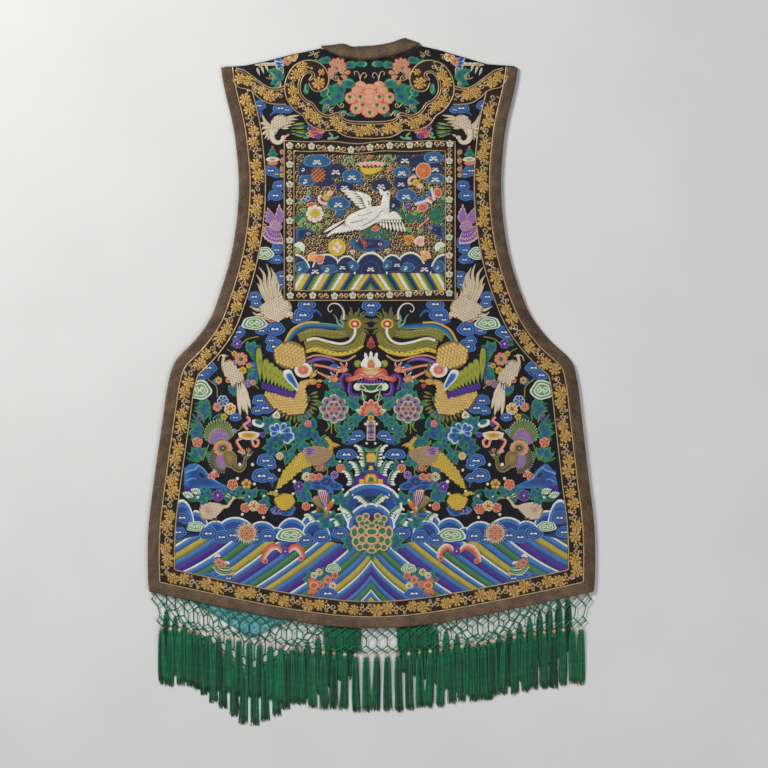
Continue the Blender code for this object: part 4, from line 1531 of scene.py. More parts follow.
class Dye(Enum):
    """How a stitched patch is shaded from its edge, at 0, to its middle, at 1."""

    CORAL = ((0, Silk.BLUSH), (0.3, Silk.PEACH), (0.3, Silk.CORAL), (0.8, Silk.CORAL), (1, Silk.RED))
    PEACH = ((0, Silk.RED), (0.1, Silk.CORAL), (0.24, Silk.CORAL), (0.24, Silk.PEACH), (0.7, Silk.SAND),
             (1, Silk.CORAL))
    WHITE = ((0, Silk.WHITE), (0.4, Silk.WHITE), (1, Silk.ICE))
    CREAM = ((0, Silk.IVORY), (0.35, Silk.WHITE), (0.35, Silk.IVORY), (0.8, Silk.SAND), (1, Silk.OLIVE))
    YELLOW = ((0, Silk.WHITE), (0.34, Silk.IVORY), (0.34, Silk.STRAW), (0.8, Silk.AMBER), (1, Silk.CORAL))
    SHADED = ((0, Silk.BOTTLE), (0.14, Silk.EMERALD), (0.45, Silk.JADE), (0.8, Silk.ROYAL), (1, Silk.NAVY))
    PURPLE = ((0, Silk.LILAC), (0.25, Silk.LILAC), (0.25, Silk.PLUM), (1, Silk.PLUM))
    LILAC = ((0, Silk.BLUSH), (0.25, Silk.LILAC), (1, Silk.PLUM))
    GREY = ((0, Silk.IVORY), (0.2, Silk.IVORY), (0.2, Silk.SAND), (0.5, Silk.MAUVE), (1, Silk.PLUM))
    BLUE = ((0, Silk.WHITE), (0.3, Silk.ICE), (0.3, Silk.SKY), (0.8, Silk.ROYAL), (1, Silk.NAVY))
    LEAF = ((0, Silk.MINT), (0.06, Silk.EMERALD), (0.34, Silk.JADE), (0.6, Silk.TEAL), (0.85, Silk.ROYAL),
            (1, Silk.NAVY))
    DEEP_LEAF = ((0, Silk.EMERALD), (0.3, Silk.JADE), (0.5, Silk.ROYAL), (0.8, Silk.ROYAL), (1, Silk.NAVY))
    GRASS = ((0, Silk.JADE), (0.5, Silk.JADE), (1, Silk.MOSS))
    FRESH = ((0, Silk.MOSS), (0.16, Silk.MOSS), (0.16, Silk.MINT), (0.5, Silk.LIME), (1, Silk.MEADOW))
    LIME = ((0, Silk.OLIVE), (0.2, Silk.OLIVE), (0.2, Silk.LIME), (1, Silk.LIME))
    STRAW = ((0, Silk.OLIVE), (0.25, Silk.OLIVE), (0.25, Silk.STRAW), (1, Silk.AMBER))
    GOLD = ((0, Silk.DEEP_GILT), (0.25, Silk.DEEP_GILT), (0.25, Silk.LAID_GOLD), (1, Silk.STRAW))
    ROCK = ((0, Silk.SKY), (0.14, Silk.SKY), (0.4, Silk.ROYAL), (0.7, Silk.NAVY), (1, Silk.SKY))
    GILT_PETAL = ((0, Silk.DEEP_GILT), (0.24, Silk.DEEP_GILT), (0.24, Silk.GILT), (0.5, Silk.GOLDEN),
                  (1, Silk.LAID_GOLD))
    GILT_LEAF = ((0, Silk.DEEP_GILT), (0.1, Silk.GILT), (1, Silk.PALE_GILT))


@dataclass
class Needle:
    """The hand that works floss: flowers, leaves, clouds and feathers."""

    work: Work

    def blossom(self, place: Place, radius: float, dye: Dye, petals: int = 5, heart: Silk = Silk.STRAW,
                layer: float = 0.35) -> None:
        """Work an open flower: parted petals, a dark eye and a bright heart.

        Args:
            place: Where it is worked.
            radius: Its radius.
            dye: How it is shaded.
            petals: How many petals it has.
            heart: Its heart's colour.
            layer: How high it lies over what is under it.
        """
        wide = 1.66 * radius * math.sin(math.pi / petals)
        for k in range(petals):
            self.work.patch(place.at(0, 0, 360 * k / petals), petal(radius, wide, 0.74), dye.value, 0.7,
                            layer)
        self.work.dot(place, 0, 0, radius * 0.3, Silk.BRONZE, layer + 0.45, 8)
        self.work.dot(place, 0, 0, radius * 0.2, heart, layer + 0.8, 6)

    def leaf(self, place: Place, length: float, width: float, dye: Dye = Dye.LEAF,
             layer: float = 0.15) -> None:
        """Work a leaf, dark down its middle."""
        self.work.patch(place, leaf_shape(length, width), dye.value, 0.6, layer, centre=(0.0, 0.42 * length))

    def leaves(self, place: Place, count: int, length: float, spread: float, dye: Dye = Dye.LEAF,
               layer: float = 0.15) -> None:
        """Work a spray of leaves from one root.

        Args:
            place: Where it is worked.
            count: How many there are.
            length: Its length.
            spread: The angle between the outer ones.
            dye: How it is shaded.
            layer: How high it lies over what is under it.
        """
        for k in range(count):
            turn = spread * (k / max(count - 1, 1) - 0.5)
            size = length * (1 - 0.25 * abs(turn) / max(spread, 1))
            self.leaf(place.at(0, 0, turn), size, size * 0.62, dye, layer + 0.05 * (k % 3))

    def blades(self, place: Place, count: int, length: float, spread: float, layer: float = 0.12) -> None:
        """Work thin blades of grass, or a stem's narrow leaves.

        Args:
            place: Where it is worked.
            count: How many there are.
            length: Its length.
            spread: The angle between the outer ones.
            layer: How high it lies over what is under it.
        """
        for k in range(count):
            turn = spread * (k / max(count - 1, 1) - 0.5)
            self.work.patch(place.at(0, 0, turn), petal(length * (1 - 0.2 * (k % 2)), length * 0.17, 0.3),
                            Dye.GRASS.value if k % 3 else Dye.LEAF.value, 0.35, layer + 0.02 * k)

    def twig(self, place: Place, path: Sequence[Flat], half: float = 0.8, colour: Silk = Silk.OLIVE,
             layer: float = 0.1) -> None:
        """Work a stem in stem stitch."""
        self.work.cord(place, flow(path, 3.0), half, colour, layer)

    def lotus(self, place: Place, size: float, dye: Dye = Dye.CORAL, layer: float = 0.35) -> None:
        """Work a lotus seen from the side: a fan of pointed petals on a green cup.

        Args:
            place: Where it is worked.
            size: Its size.
            dye: How it is shaded.
            layer: How high it lies over what is under it.
        """
        for k in (-3, 3, -2, 2, -1, 1, 0):
            reach = size * (1 - 0.06 * abs(k))
            self.work.patch(place.at(0, 0, -27.0 * k), petal(reach, size * 0.44, 0.55), dye.value, 0.7,
                            layer + 0.14 * (3 - abs(k)))
        self.work.patch(place, oval(size * 0.24, size * 0.13, 10), Dye.LEAF.value, 0.4, layer + 0.35)

    def eyes(self, place: Place, wide: float, layer: float) -> None:
        """Work the pair of white commas at a cloud's heart.

        Args:
            place: Where it is worked.
            wide: How wide the pair is.
            layer: How high it lies over what is under it.
        """
        for hand in (-1, 1):
            spot = place.at(hand * wide * 1.15, 0, -22 * hand)
            self.work.patch(spot, oval(wide * 0.85, wide * 0.5, 8), only(Silk.WHITE), 0.4, layer)
            self.work.patch(spot.at(-hand * wide * 0.7, -wide * 0.4), oval(wide * 0.46, wide * 0.32, 6),
                            only(Silk.WHITE), 0.3, layer)

    def billow(self, wide: float, high: float) -> list[Flat]:
        """Give a cloud's outline: an oval with a few soft, uneven lobes.

        Args:
            wide: Half its width.
            high: Half its height.

        Returns:
            The outline.
        """
        found = []
        for k in range(20):
            turn = 2 * math.pi * k / 20
            swell = 1 + 0.05 * math.cos(3 * turn - math.pi * 1.5) + 0.05 * math.cos(5 * turn + 0.6)
            found.append((wide * swell * math.cos(turn), high * swell * math.sin(turn)))
        return found

    def cloud_lobe(self, place: Place, wide: float, high: float, light: Silk = Silk.SKY,
                   deep: Silk = Silk.ROYAL, layer: float = 0.1) -> None:
        """Work one curl of a cloud: rings of two blues round a pair of eyes.

        Args:
            place: Where it is worked.
            wide: Half its width.
            high: Half its height.
            light: The paler rings.
            deep: The deeper rings.
            layer: How high it lies over what is under it.
        """
        dark = blend(deep.value, Silk.NAVY.value, 0.5)
        line = blend(light.value, Silk.ICE.value, 0.18)
        stops = [(0, line), (0.13, line), (0.13, deep), (0.32, deep), (0.32, line), (0.43, line),
                 (0.43, dark), (0.6, dark), (0.6, light), (0.7, light), (0.7, dark), (1, dark)]
        self.work.patch(place, self.billow(wide, high), stops, 0.6, layer)
        self.eyes(place.at(0, -high * 0.05), wide * 0.2, layer + 0.5)

    def swirl(self, place: Place, size: float = 1.0, layer: float = 0.5) -> None:
        """Work a green cloud with a white edge and a pair of white curls in it.

        Args:
            place: Where it is worked.
            size: Its size.
            layer: How high it lies over what is under it.
        """
        sage = blend(Silk.MINT.value, Silk.MEADOW.value, 0.45)
        self.work.patch(place, self.billow(14.5 * size, 9.6 * size),
                        [(0, Silk.WHITE), (0.13, Silk.WHITE), (0.13, sage), (0.3, Silk.MEADOW),
                         (0.3, Silk.WHITE), (0.42, Silk.WHITE), (0.42, sage), (1, Silk.MEADOW)], 0.3, layer)
        self.work.ribbon(place, s_scroll(4.1 * size, spiral(0.5 * size, 3.6 * size, 1.3, -90)), 0.75 * size,
                         [(-1, Silk.WHITE), (0, Silk.WHITE), (1, Silk.MINT)], 0.4, layer + 0.35)

    def plumage(self, place: Place, outline: Sequence[Flat], turn: float, size: float, edge: Silk | Colour,
                fill: Silk | Colour, layer: float, blunt: float = 0.6) -> None:
        """Cover a form with rows of small feathers or scales that lie over each other.

        Args:
            place: Where the form is worked.
            outline: The form's edge.
            turn: The heading, in degrees, that the feathers' tips point to.
            size: A feather's length.
            edge: The colour of its edge.
            fill: The colour inside.
            layer: How high the first row lies.
            blunt: How blunt the tips are.
        """
        cosine, sine = math.cos(math.radians(turn)), math.sin(math.radians(turn))
        along = [u * cosine + v * sine for u, v in outline]
        aside = [v * cosine - u * sine for u, v in outline]
        rows = int((max(along) - min(along)) / (size * 0.62)) + 1
        columns = int((max(aside) - min(aside)) / (size * 0.72)) + 1
        small = [(0.0, 0.0), (size * 0.4, size * 0.45), (size * 0.3, size * (0.4 + 0.5 * blunt)), (0.0, size),
                 (-size * 0.3, size * (0.4 + 0.5 * blunt)), (-size * 0.4, size * 0.45)]
        for row in range(rows):
            a = max(along) - size * (0.8 + 0.62 * row)
            for column in range(columns):
                b = min(aside) + size * 0.72 * (column + 0.5 + 0.5 * (row % 2))
                spots = [((a + r) * cosine - b * sine, (a + r) * sine + b * cosine)
                         for r in (0.1 * size, 0.85 * size)]
                if all(inside(spot, outline) for spot in spots):
                    self.work.patch(place.at(a * cosine - b * sine, a * sine + b * cosine, turn - 90), small,
                                    [(0, edge), (0.17, edge), (0.17, fill), (1, fill)], 0.3,
                                    layer + 0.12 * (row % 3))

    def pearl(self, place: Place, u: float, v: float, radius: float = 2.0) -> None:
        """Work a small white pearl."""
        self.work.dot(place, u, v, radius, Silk.WHITE, 0.2, 8, Silk.IVORY)


# ---------------------------------------------------------------- gilt ornament
@dataclass
class GiltOrnament:
    """Couched gilt: flowers of narrow petals, scrolls and edging cords."""

    work: Work
    flower: float = 11.2
    unit: float = 57.0
    cord_half: float = 0.9
    draw: random.Random = field(default_factory=lambda: random.Random(11))

    def bloom(self, place: Place, radius: float, petals: int = 8) -> None:
        """Work a gilt flower: two rings of parted petals, each dark at its edge, round a pale heart.

        Args:
            place: Where it is worked.
            radius: Its radius.
            petals: How many petals it has.
        """
        turn = self.draw.uniform(0, 360)
        for ring, share in enumerate((1.0, 0.56)):
            count = petals - 2 * ring
            for k in range(count):
                spot = place.at(0, 0, turn + 360 * (k + 0.5 * ring) / count + self.draw.uniform(-6, 6))
                reach = radius * share * self.draw.uniform(0.9, 1.14)
                self.work.patch(spot, petal(reach, radius * share * 4.4 / count, 0.7), Dye.GILT_PETAL.value,
                                0.8, 0.1 + 0.04 * (k % 2) + 0.5 * ring)
        self.work.dot(place, 0, 0, radius * 0.2, Silk.PALE_GILT, 1.1, 7, Silk.DEEP_GILT)

    def hook(self, place: Place, size: float, hand: int) -> None:
        """Work a short stem that winds in on itself at its end."""
        wound = [(size * 1.5 + u, hand * (size + v)) for u, v in spiral(size * 0.2, size, 1.15, -100)]
        self.work.cord(place, [(0.0, 0.0)] + wound, self.cord_half * 0.9, Silk.PALE_GILT, 0.12)

    def scroll(self, place: Place, size: float, hand: int) -> None:
        """Work an S-scroll: a stem that winds in on itself at both ends, the opposite way round."""
        wound = [(u, hand * v) for u, v in spiral(size * 0.2, size, 1.2, -90)]
        self.work.cord(place, s_scroll(1.14 * size, wound), self.cord_half, Silk.PALE_GILT, 0.12)

    def foliage(self, place: Place, size: float) -> None:
        """Work a small curled leaf of two lobes.

        Args:
            place: Where it is worked.
            size: Its size.
        """
        for turn, share in ((-20, 1.0), (34, 0.75)):
            self.work.patch(place.at(0, 0, turn - 90), petal(size * share, size * share * 0.46, 0.6),
                            Dye.GILT_LEAF.value, 0.6, 0.1)

    def fill(self, run: Sequence[Flat], half: float, flower: float | None = None) -> None:
        """Fill a band with pairs of flowers and, between the pairs, a scroll with its leaves.

        Args:
            run: The band's middle line.
            half: Half the room across it.
            flower: The flowers' radius, or the usual one.
        """
        radius = flower or self.flower
        reach = length_of(run)
        units = max(1, round(reach / self.unit))
        step = reach / units
        for k in range(units):
            hand = 1 if k % 2 else -1
            shift = step * self.draw.uniform(-0.03, 0.03)
            for j, share in enumerate((0.16, 0.48)):
                way = hand * (-1) ** j
                spot = station(run, step * (k + share) + shift)
                self.bloom(spot.at(0, way * half * 0.12), radius * self.draw.uniform(0.9, 1.08), 8 + j)
                self.hook(spot.at(radius * 0.75, -way * half * 0.3), half * 0.27, -way)
                self.hook(spot.at(-radius * 0.75, -way * half * 0.42, 180), half * 0.22, way)
            gap = station(run, step * (k + 0.81) + shift)
            self.scroll(gap, half * 0.43, hand)
            for way in (0, 180):
                self.foliage(gap.at(0, 0, way).at(half * 0.5, hand * half * 0.5, 50 * hand), half * 0.5)

    def edging(self, run: Sequence[Flat], half: float = 1.0, layer: float = 0.1) -> None:
        """Couch a cord along a run, by short steps so that it follows the cloth."""
        count = max(2, round(length_of(run) / 4.0))
        self.work.cord(Place(), resample(run, count), half, Silk.PALE_GILT, layer)


@dataclass
class RimOrnament:
    """The gilt flowers and scrolls of the border band, and the cords along both its edges."""

    form: VestForm
    middle: float = 31.3
    half: float = 11.5
    outer_cord: float = 19.0
    inner_cord: float = 44.2

    def build(self) -> list[bpy.types.Object]:
        """Fill the band and couch its cords.

        Returns:
            The pieces.
        """
        gilt = GiltOrnament(Work(self.form, 1.25))
        runs = self.form.rim(self.middle, self.form.band_top + 20.0)
        for run in runs:
            gilt.fill(run, self.half)
        cords = GiltOrnament(Work(self.form, 1.2))
        for inwards, half in ((self.outer_cord, 1.15), (self.inner_cord, 1.0)):
            top = None if inwards == self.outer_cord else self.form.band_top + 22.0
            left, low, right = self.form.rim(inwards, top)
            cords.edging(left + low[1:-1] + right, half)
        return [gilt.work.finish("border_gilt_flowers", [GILT_THREAD], "gold_band"),
                cords.work.finish("border_gilt_cords", [GILT_THREAD], "gold_band")]


# ---------------------------------------------------------------- yoke
@dataclass
class Yoke:
    """The cloud collar worked round the neck: its scrolled band, its two wings and what fills them."""

    form: VestForm
    centre: float = YOKE_AXIS
    lay: float = 1.25
    filled_half: float = 10.5
    flower: float = 10.4
    blooms: tuple = ((83.5, 493.5, 11.5, 8), (79.0, 512.0, 6.5, 6))
    scroll: tuple = (
        (100.0, 494.0, 99.6, 499.0), (94.5, 483.0, 98.2, 502.0), (84.0, 479.5, 96.6, 504.4),
        (71.5, 485.0, 95.0, 506.2), (66.0, 500.0, 94.4, 507.6), (71.5, 517.0, 95.0, 509.0),
        (84.0, 528.4, 97.5, 510.2), (101.0, 532.0, 102.5, 510.0), (121.5, 525.0, 107.5, 506.5),
        (134.5, 508.0, 111.5, 499.0), (140.0, 490.0, 113.5, 489.0), (137.5, 470.0, 112.0, 477.0),
        (125.0, 450.5, 103.5, 466.5), (110.0, 439.6, 93.0, 461.5), (101.0, 426.5, 87.0, 452.5),
        (87.0, 418.5, 78.5, 444.5), (71.5, 415.0, 66.5, 441.5), (56.5, 415.6, 51.5, 446.0),
        (45.0, 408.6, 43.5, 436.5), (31.0, 403.8, 29.5, 431.8), (0.0, 402.0, 0.0, 430.8))
    wing: tuple = (
        (220.0, 519.0, 226.5, 500.0), (206.6, 515.5, 217.0, 487.0), (195.0, 507.5, 205.0, 484.0),
        (183.0, 498.4, 194.5, 480.5), (172.0, 490.5, 183.0, 469.5), (161.8, 486.5, 169.0, 461.0),
        (152.0, 486.3, 154.5, 458.6), (141.0, 489.6, 137.0, 458.2))

    def rails(self, places: Sequence[tuple[int, tuple]]) -> list[tuple]:
        """Give a smooth run of (outer x, outer y, inner x, inner y) through the rows of a ribbon."""
        rows = [(self.centre + hand * row[0], row[1], self.centre + hand * row[2], row[3])
                for hand, row in places]
        return flow(rows, 4.0)

    def ribbon(self, name: str, rails: Sequence[tuple], gilt: GiltOrnament, cords: GiltOrnament, start: int,
               end: int, second: float = 0.84) -> bpy.types.Object:
        """Lay one satin ribbon, cord its edges and fill it with gilt.

        Args:
            name: The ribbon's CAD node.
            rails: Its two edges.
            gilt: The hand that works its flowers.
            cords: The hand that works its cords.
            start: The first row whose middle is filled.
            end: The last one.
            second: Where across it the doubling cord lies.

        Returns:
            The ribbon.
        """
        work = Work(self.form, 0.0)
        shares = (0.0, 0.0, 0.08, 0.5, 0.92, 1.0, 1.0)
        heights = (0.1, 1.0, 1.22, self.lay, 1.22, 1.0, 0.1)
        lines = [[(a + (c - a) * s, b + (d - b) * s) for a, b, c, d in rails] for s in shares]
        work.web(lines, heights, [(UNDYED, UNDYED)] * (len(lines) - 1))
        for share, half in ((0.02, 1.1), (0.98, 0.95), (second, 0.85)):
            cords.edging([(a + (c - a) * share, b + (d - b) * share) for a, b, c, d in rails], half)
        middle = [((a + c) / 2 * 0.96 + 0.04 * a, (b + d) / 2 * 0.96 + 0.04 * b)
                  for a, b, c, d in rails[start:end]]
        gilt.fill(middle, self.filled_half, self.flower)
        return work.finish(f"{name}_satin", [BROWN_SATIN], "gold_band", [name])

    def build(self) -> list[bpy.types.Object]:
        """Make the yoke's ribbons and their gilt.

        Returns:
            The pieces.
        """
        gilt = GiltOrnament(Work(self.form, self.lay), unit=45.0)
        cords = GiltOrnament(Work(self.form, self.lay - 0.05))
        whole = self.rails([(-1, row) for row in self.scroll] + [(1, row) for row in self.scroll[-2::-1]])
        made = [self.ribbon("scroll_band", whole, gilt, cords, 26, len(whole) - 26)]
        for hand, name in ((-1, "wing_left"), (1, "wing_right")):
            rails = self.rails([(hand, row) for row in self.wing])
            made.append(self.ribbon(name, rails, gilt, cords, 2, len(rails) - 1, 0.15))
            for aside, height, radius, petals in self.blooms:
                gilt.bloom(Place().at(self.centre + hand * aside, height), radius, petals)
        return made + [gilt.work.finish("yoke_gilt_flowers", [GILT_THREAD], "gold_band"),
                       cords.work.finish("yoke_gilt_cords", [GILT_THREAD], "gold_band")]


# ---------------------------------------------------------------- sea and stripes
@dataclass
class Sea:
    """Standing-water stripes, rolling waves and the rocks that rise from them."""

    form: VestForm
    foot_inwards: float = 43.0
    sag: float = 11.0
    spare: float = 20.0
    slope: float = 0.72
    bend: Flat = (16.0, 22.0)
    ease: Flat = (0.0009, 220.0)
    shore: float = -255.0
    ripple: Flat = (4.0, 19.0)
    dip: tuple = (14.0, 42.0, 26.0)
    stripes: tuple = ((Silk.PLUM, 15.0), (Silk.WHITE, 3.8), (Silk.SKY, 11.5), (Silk.MEADOW, 13.5),
                      (Silk.SKY, 12.5), (Silk.MUSTARD, 15.0), (Silk.WHITE, 3.4), (Silk.SKY, 9.2),
                      (Silk.PLUM, 11.4), (Silk.SKY, 11.5), (Silk.MEADOW, 13.0), (Silk.WHITE, 3.5),
                      (Silk.SKY, 8.9), (Silk.MUSTARD, 13.0), (Silk.SKY, 10.4))
    apex: float = -218.5
    reach: float = 324.0
    step: float = 6.0

    def fall(self, aside: float) -> float:
        """Give how far a stripe has fallen from its apex at a distance from the middle."""
        (drop, reach), (less, start) = self.bend, self.ease
        return self.slope * aside + drop * (1 - math.exp(-aside / reach)) - less * max(aside - start,
                                                                                       0.0) ** 2

    def waterline(self, aside: float) -> float:
        """Give where the stripes start, under the waves."""
        (high, length), (deep, place, reach) = self.ripple, self.dip
        return self.shore + high * math.sin(aside / length) - deep * math.exp(-((aside - place) / reach) ** 2)

    def stripe_work(self) -> bpy.types.Object:
        """Work the stripes: each shaded from its upper edge to its lower one.

        Returns:
            The piece.
        """
        work = Work(self.form, 0.05)
        count = int(self.reach / self.step)
        asides = [self.reach * k / count for k in range(count + 1)]
        unit = sum(width for _, width in self.stripes)
        first = self.apex + unit * math.ceil((self.fall(self.reach) + self.spare) / unit)
        for hand in (-1, 1):
            top, row = first, 0
            while top > self.form.hem_low + self.spare:
                dye, width = self.stripes[row % len(self.stripes)]
                lines = []
                for share in (0.0, 0.12, 0.5, 0.88, 1.0):
                    line = []
                    for aside in asides:
                        x = AXIS + hand * aside
                        low = self.form.hem_run_height(x, self.foot_inwards)
                        y = top - width * share - self.fall(aside)
                        deep = min(max((self.waterline(aside) - y) / (self.waterline(aside) - low), 0.0), 1.0)
                        y -= self.sag * deep * (1 - deep)
                        line.append((x, min(max(y, low), self.waterline(aside))))
                    lines.append(line)
                pale = blend(dye.value, Silk.ICE.value, 0.16 if dye is Silk.SKY else 0.06)
                deep = blend(dye.value, Silk.NAVY.value, 0.0 if dye is Silk.WHITE else 0.6)
                work.web(lines, (0.0, 0.28, 0.4, 0.28, 0.0),
                         [(deep, pale), (pale, dye.value), (dye.value, deep), (deep, deep)])
                top -= width
                row += 1
        return work.finish("water_stripes", [FLOSS], "badge_embroidery")

    def roller(self, work: Work, x: float, base: float, wide: float, high: float, layer: float,
               foot: float = 0.0) -> None:
        """Work one rolling wave: a white crest over ever deeper blues, its foot behind the waves in front.

        Args:
            work: The piece that it is worked on.
            x: Its middle.
            base: The height of its foot.
            wide: Half its width.
            high: Its height.
            layer: How high it lies over what is under it.
            foot: How far its foot reaches down.
        """
        outline = [(wide * math.cos(math.pi * k / 16), high * math.sin(math.pi * k / 16)) for k in range(17)]
        if foot:
            outline += [(-wide * 0.7, -foot), (wide * 0.7, -foot)]
        stops = [(0, Silk.WHITE), (0.08, Silk.WHITE), (0.08, Silk.SKY), (0.22, Silk.SKY), (0.24, Silk.ROYAL),
                 (0.5, Silk.ROYAL), (0.52, Silk.NAVY), (1, Silk.NAVY)]
        work.patch(Place().at(x, base), outline, stops, 0.35, layer, centre=(0.0, 0.0))

    def wave_work(self) -> bpy.types.Object:
        """Work the rollers from the far ones to the near ones, then the curls in front.

        Returns:
            The piece.
        """
        work = Work(self.form, 0.15, INNER)
        needle = Needle(work)
        deep = blend(Silk.NAVY.value, Silk.ROYAL.value, 0.4)
        asides = [self.reach * (k / 40 - 1) for k in range(81)]
        rails = [[(AXIS + aside, low) for aside in asides] for low in (-262.0, -250.0, -238.0)]
        work.web(rails, (0.0, 0.1, 0.0), [(deep, deep)] * 2)
        waves = ((81.0, -245.0, 38.0, 36.0, 0.05), (224.0, -258.0, 36.0, 37.0, 0.05),
                 (290.0, -250.0, 24.0, 40.0, 0.05), (51.0, -256.0, 26.0, 41.0, 0.2),
                 (130.0, -258.0, 28.0, 36.0, 0.2), (256.0, -258.0, 25.0, 31.0, 0.2),
                 (156.0, -262.0, 22.0, 24.0, 0.28), (91.0, -260.0, 25.0, 34.0, 0.34),
                 (180.0, -260.0, 29.0, 32.0, 0.34), (206.0, -262.0, 22.0, 22.0, 0.4),
                 (312.0, -246.0, 22.0, 54.0, 0.34))
        for aside, base, wide, high, layer in waves:
            for hand in (-1, 1):
                if self.reach > aside + wide / 2:
                    self.roller(work, AXIS + hand * aside, base, wide, high, layer)
        for aside, v, size in ((51, -248, 1.0), (81, -254, 1.1), (107, -259, 1.0), (170, -252, 1.1),
                               (190, -258, 0.9),
                               (228, -251, 1.05), (246, -254, 1.1), (268, -248, 1.15), (311, -222, 1.1),
                               (318, -246, 1.0)):
            for hand in (-1, 1):
                needle.cloud_lobe(Place().at(AXIS + hand * aside, v), 13.5 * size, 10.0 * size, layer=0.6)
        return work.finish("rolling_waves", [FLOSS], "badge_embroidery")

    def spray(self, work: Work, place: Place, path: Sequence[Flat]) -> None:
        """Work breaking foam along a line: a green body and white fingers that point outward.

        Args:
            work: The piece that it is worked on.
            place: Where it is worked.
            path: The points that it runs through.
        """
        line = flow(path, 4.4)
        (u0, v0), (u1, v1) = line[0], line[-1]
        lean = math.degrees(math.atan2(v0 - v1, u1 - u0))
        work.ribbon(place, [(u + 2.6, v - 1.0) for u, v in line], 3.0,
                    [(-1, Silk.MINT), (0, Silk.JADE), (1, Silk.MOSS)], 0.4, 1.3)
        for k, (u, v) in enumerate(line):
            turn = 158 - lean + 9 * math.sin(1.3 * k)
            work.patch(place.at(u + 2.4, v - 1.6, turn), petal(7.6 if k % 3 else 9.6, 3.7, 0.85),
                       only(Silk.WHITE), 0.6, 1.5 + 0.02 * (k % 4))

    def great_rock(self, work: Work, side: Place) -> None:
        """Work the high rock at the side: a bright blue back, a dark hole and a plum foot.

        Args:
            work: The piece that it is worked on.
            side: The side's own place.
        """
        outline = ((-308, -141), (-301, -135), (-290, -132), (-280, -137), (-270, -149), (-257, -160.5),
                   (-238, -170), (-238, -174.5), (-260, -174.5), (-283, -174.5), (-296, -177), (-309, -182))
        work.patch(side, outline, [(0, Silk.TEAL), (0.1, Silk.SKY), (0.5, Silk.ROYAL), (1, Silk.ROYAL)], 0.9,
                   0.1, centre=(-284.0, -158.0))
        work.patch(side, ((-309, -168), (-296, -170), (-283, -172), (-296, -179), (-309, -184)),
                   [(0, Silk.NAVY), (0.3, Silk.PLUM), (1, Silk.NAVY)], 0.4, 0.45)
        for line, half in ((((-305, -150), (-298, -146), (-290, -144), (-284, -138)), 3.0),
                           (((-286, -136), (-276, -144), (-266, -156), (-250, -167)), 2.4),
                           (((-304, -163), (-294, -158), (-288, -160)), 2.4)):
            work.ribbon(side, flow(line, 4), half, [(-1, Silk.ROYAL), (0, Silk.SKY), (0.5, Silk.ICE),
                                                    (1, Silk.ROYAL)],
                        0.5, 0.6)
        work.patch(side.at(-279, -152.5, -35), oval(8.0, 4.6, 12),
                   [(0, Silk.TEAL), (0.2, Silk.SKY), (0.2, Silk.INK),
                    (1, Silk.NAVY)], 0.3, 0.9)
        for k in range(5):
            for u, v in ((-303, -190), (-290, -184)):
                work.patch(side.at(u, v, -70 + 26 * k), petal(11, 4.2, 0.8),
                           [(0, Silk.WHITE), (0.35, Silk.WHITE), (0.5, Silk.MINT), (1, Silk.JADE)], 0.4,
                           0.6 + 0.03 * k)

    def shore_work(self) -> bpy.types.Object:
        """Work the middle mountain, the side rocks and the foam that breaks on them.

        Returns:
            The piece.
        """
        work = Work(self.form, 0.15)
        needle = Needle(work)
        mount = Place().at(AXIS, -166.0)
        self.roller(work, AXIS, -207.0, 52.0, 43.0, 0.6, 30.0)
        self.roller(work, AXIS, -238.0, 40.0, 40.0, 0.98, 12.0)
        slope = [(-36, -6), (-35, 1), (-30, 5), (-27, 13), (-22, 18), (-19, 27), (-15, 31), (-13, 42),
                 (-9, 50), (9, 50),
                 (13, 42), (15, 31), (19, 27), (22, 18), (27, 13), (30, 5), (35, 1), (36, -6)]
        work.patch(mount, slope, [(0, Silk.NAVY), (0.1, Silk.PLUM), (0.6, Silk.PLUM), (1, Silk.NAVY)], 0.5,
                   0.05, centre=(0.0, 6.0))
        work.patch(mount.at(0, 54), [(-15, 7), (-8, -2), (8, -2), (15, 7), (8, 4), (0, 2), (-8, 4)],
                   [(0, Silk.MINT), (0.5, Silk.JADE), (1, Silk.EMERALD)], 0.5, 0.3)
        tiers = ((42, 11, 18, Silk.CORAL, Silk.STRAW, Silk.PEACH),
                 (27, 14, 17, Silk.TEAL, Silk.NAVY, Silk.SKY),
                 (26, 6, 10, Silk.AMBER, Silk.STRAW, Silk.STRAW),
                 (8, 12, 17, Silk.CORAL, Silk.STRAW, Silk.AMBER),
                 (7, 7, 11, Silk.LIME, Silk.JADE, Silk.EMERALD))
        for k, (v, wide, high, edge, main, heart) in enumerate(tiers):
            block = [(-wide, -high * 0.5), (-wide * 0.92, high * 0.2), (-wide * 0.5, high * 0.5),
                     (wide * 0.5, high * 0.5), (wide * 0.92, high * 0.2), (wide, -high * 0.5)]
            work.patch(mount.at(0, v), block, [(0, edge), (0.24, edge), (0.24, main), (0.6, main),
                                               (1, heart)], 0.4,
                       0.35 + 0.1 * k)
        for hand in (-1, 1):
            work.patch(mount.at(hand * 15.5, 4), [(-4, -5), (-4, 4), (4, 3), (4.5, -5)],
                       [(0, Silk.AMBER), (0.4, Silk.STRAW), (1, Silk.STRAW)], 0.4, 0.5)
            work.patch(mount.at(hand * 14, 24), [(-2.5, -6), (-3, 7), (3, 5), (3.5, -6)],
                       [(0, Silk.TEAL), (1, Silk.EMERALD)], 0.4, 0.7)
            near = Place(hand * 1.0, 0, 0, 1.0, AXIS, 0)
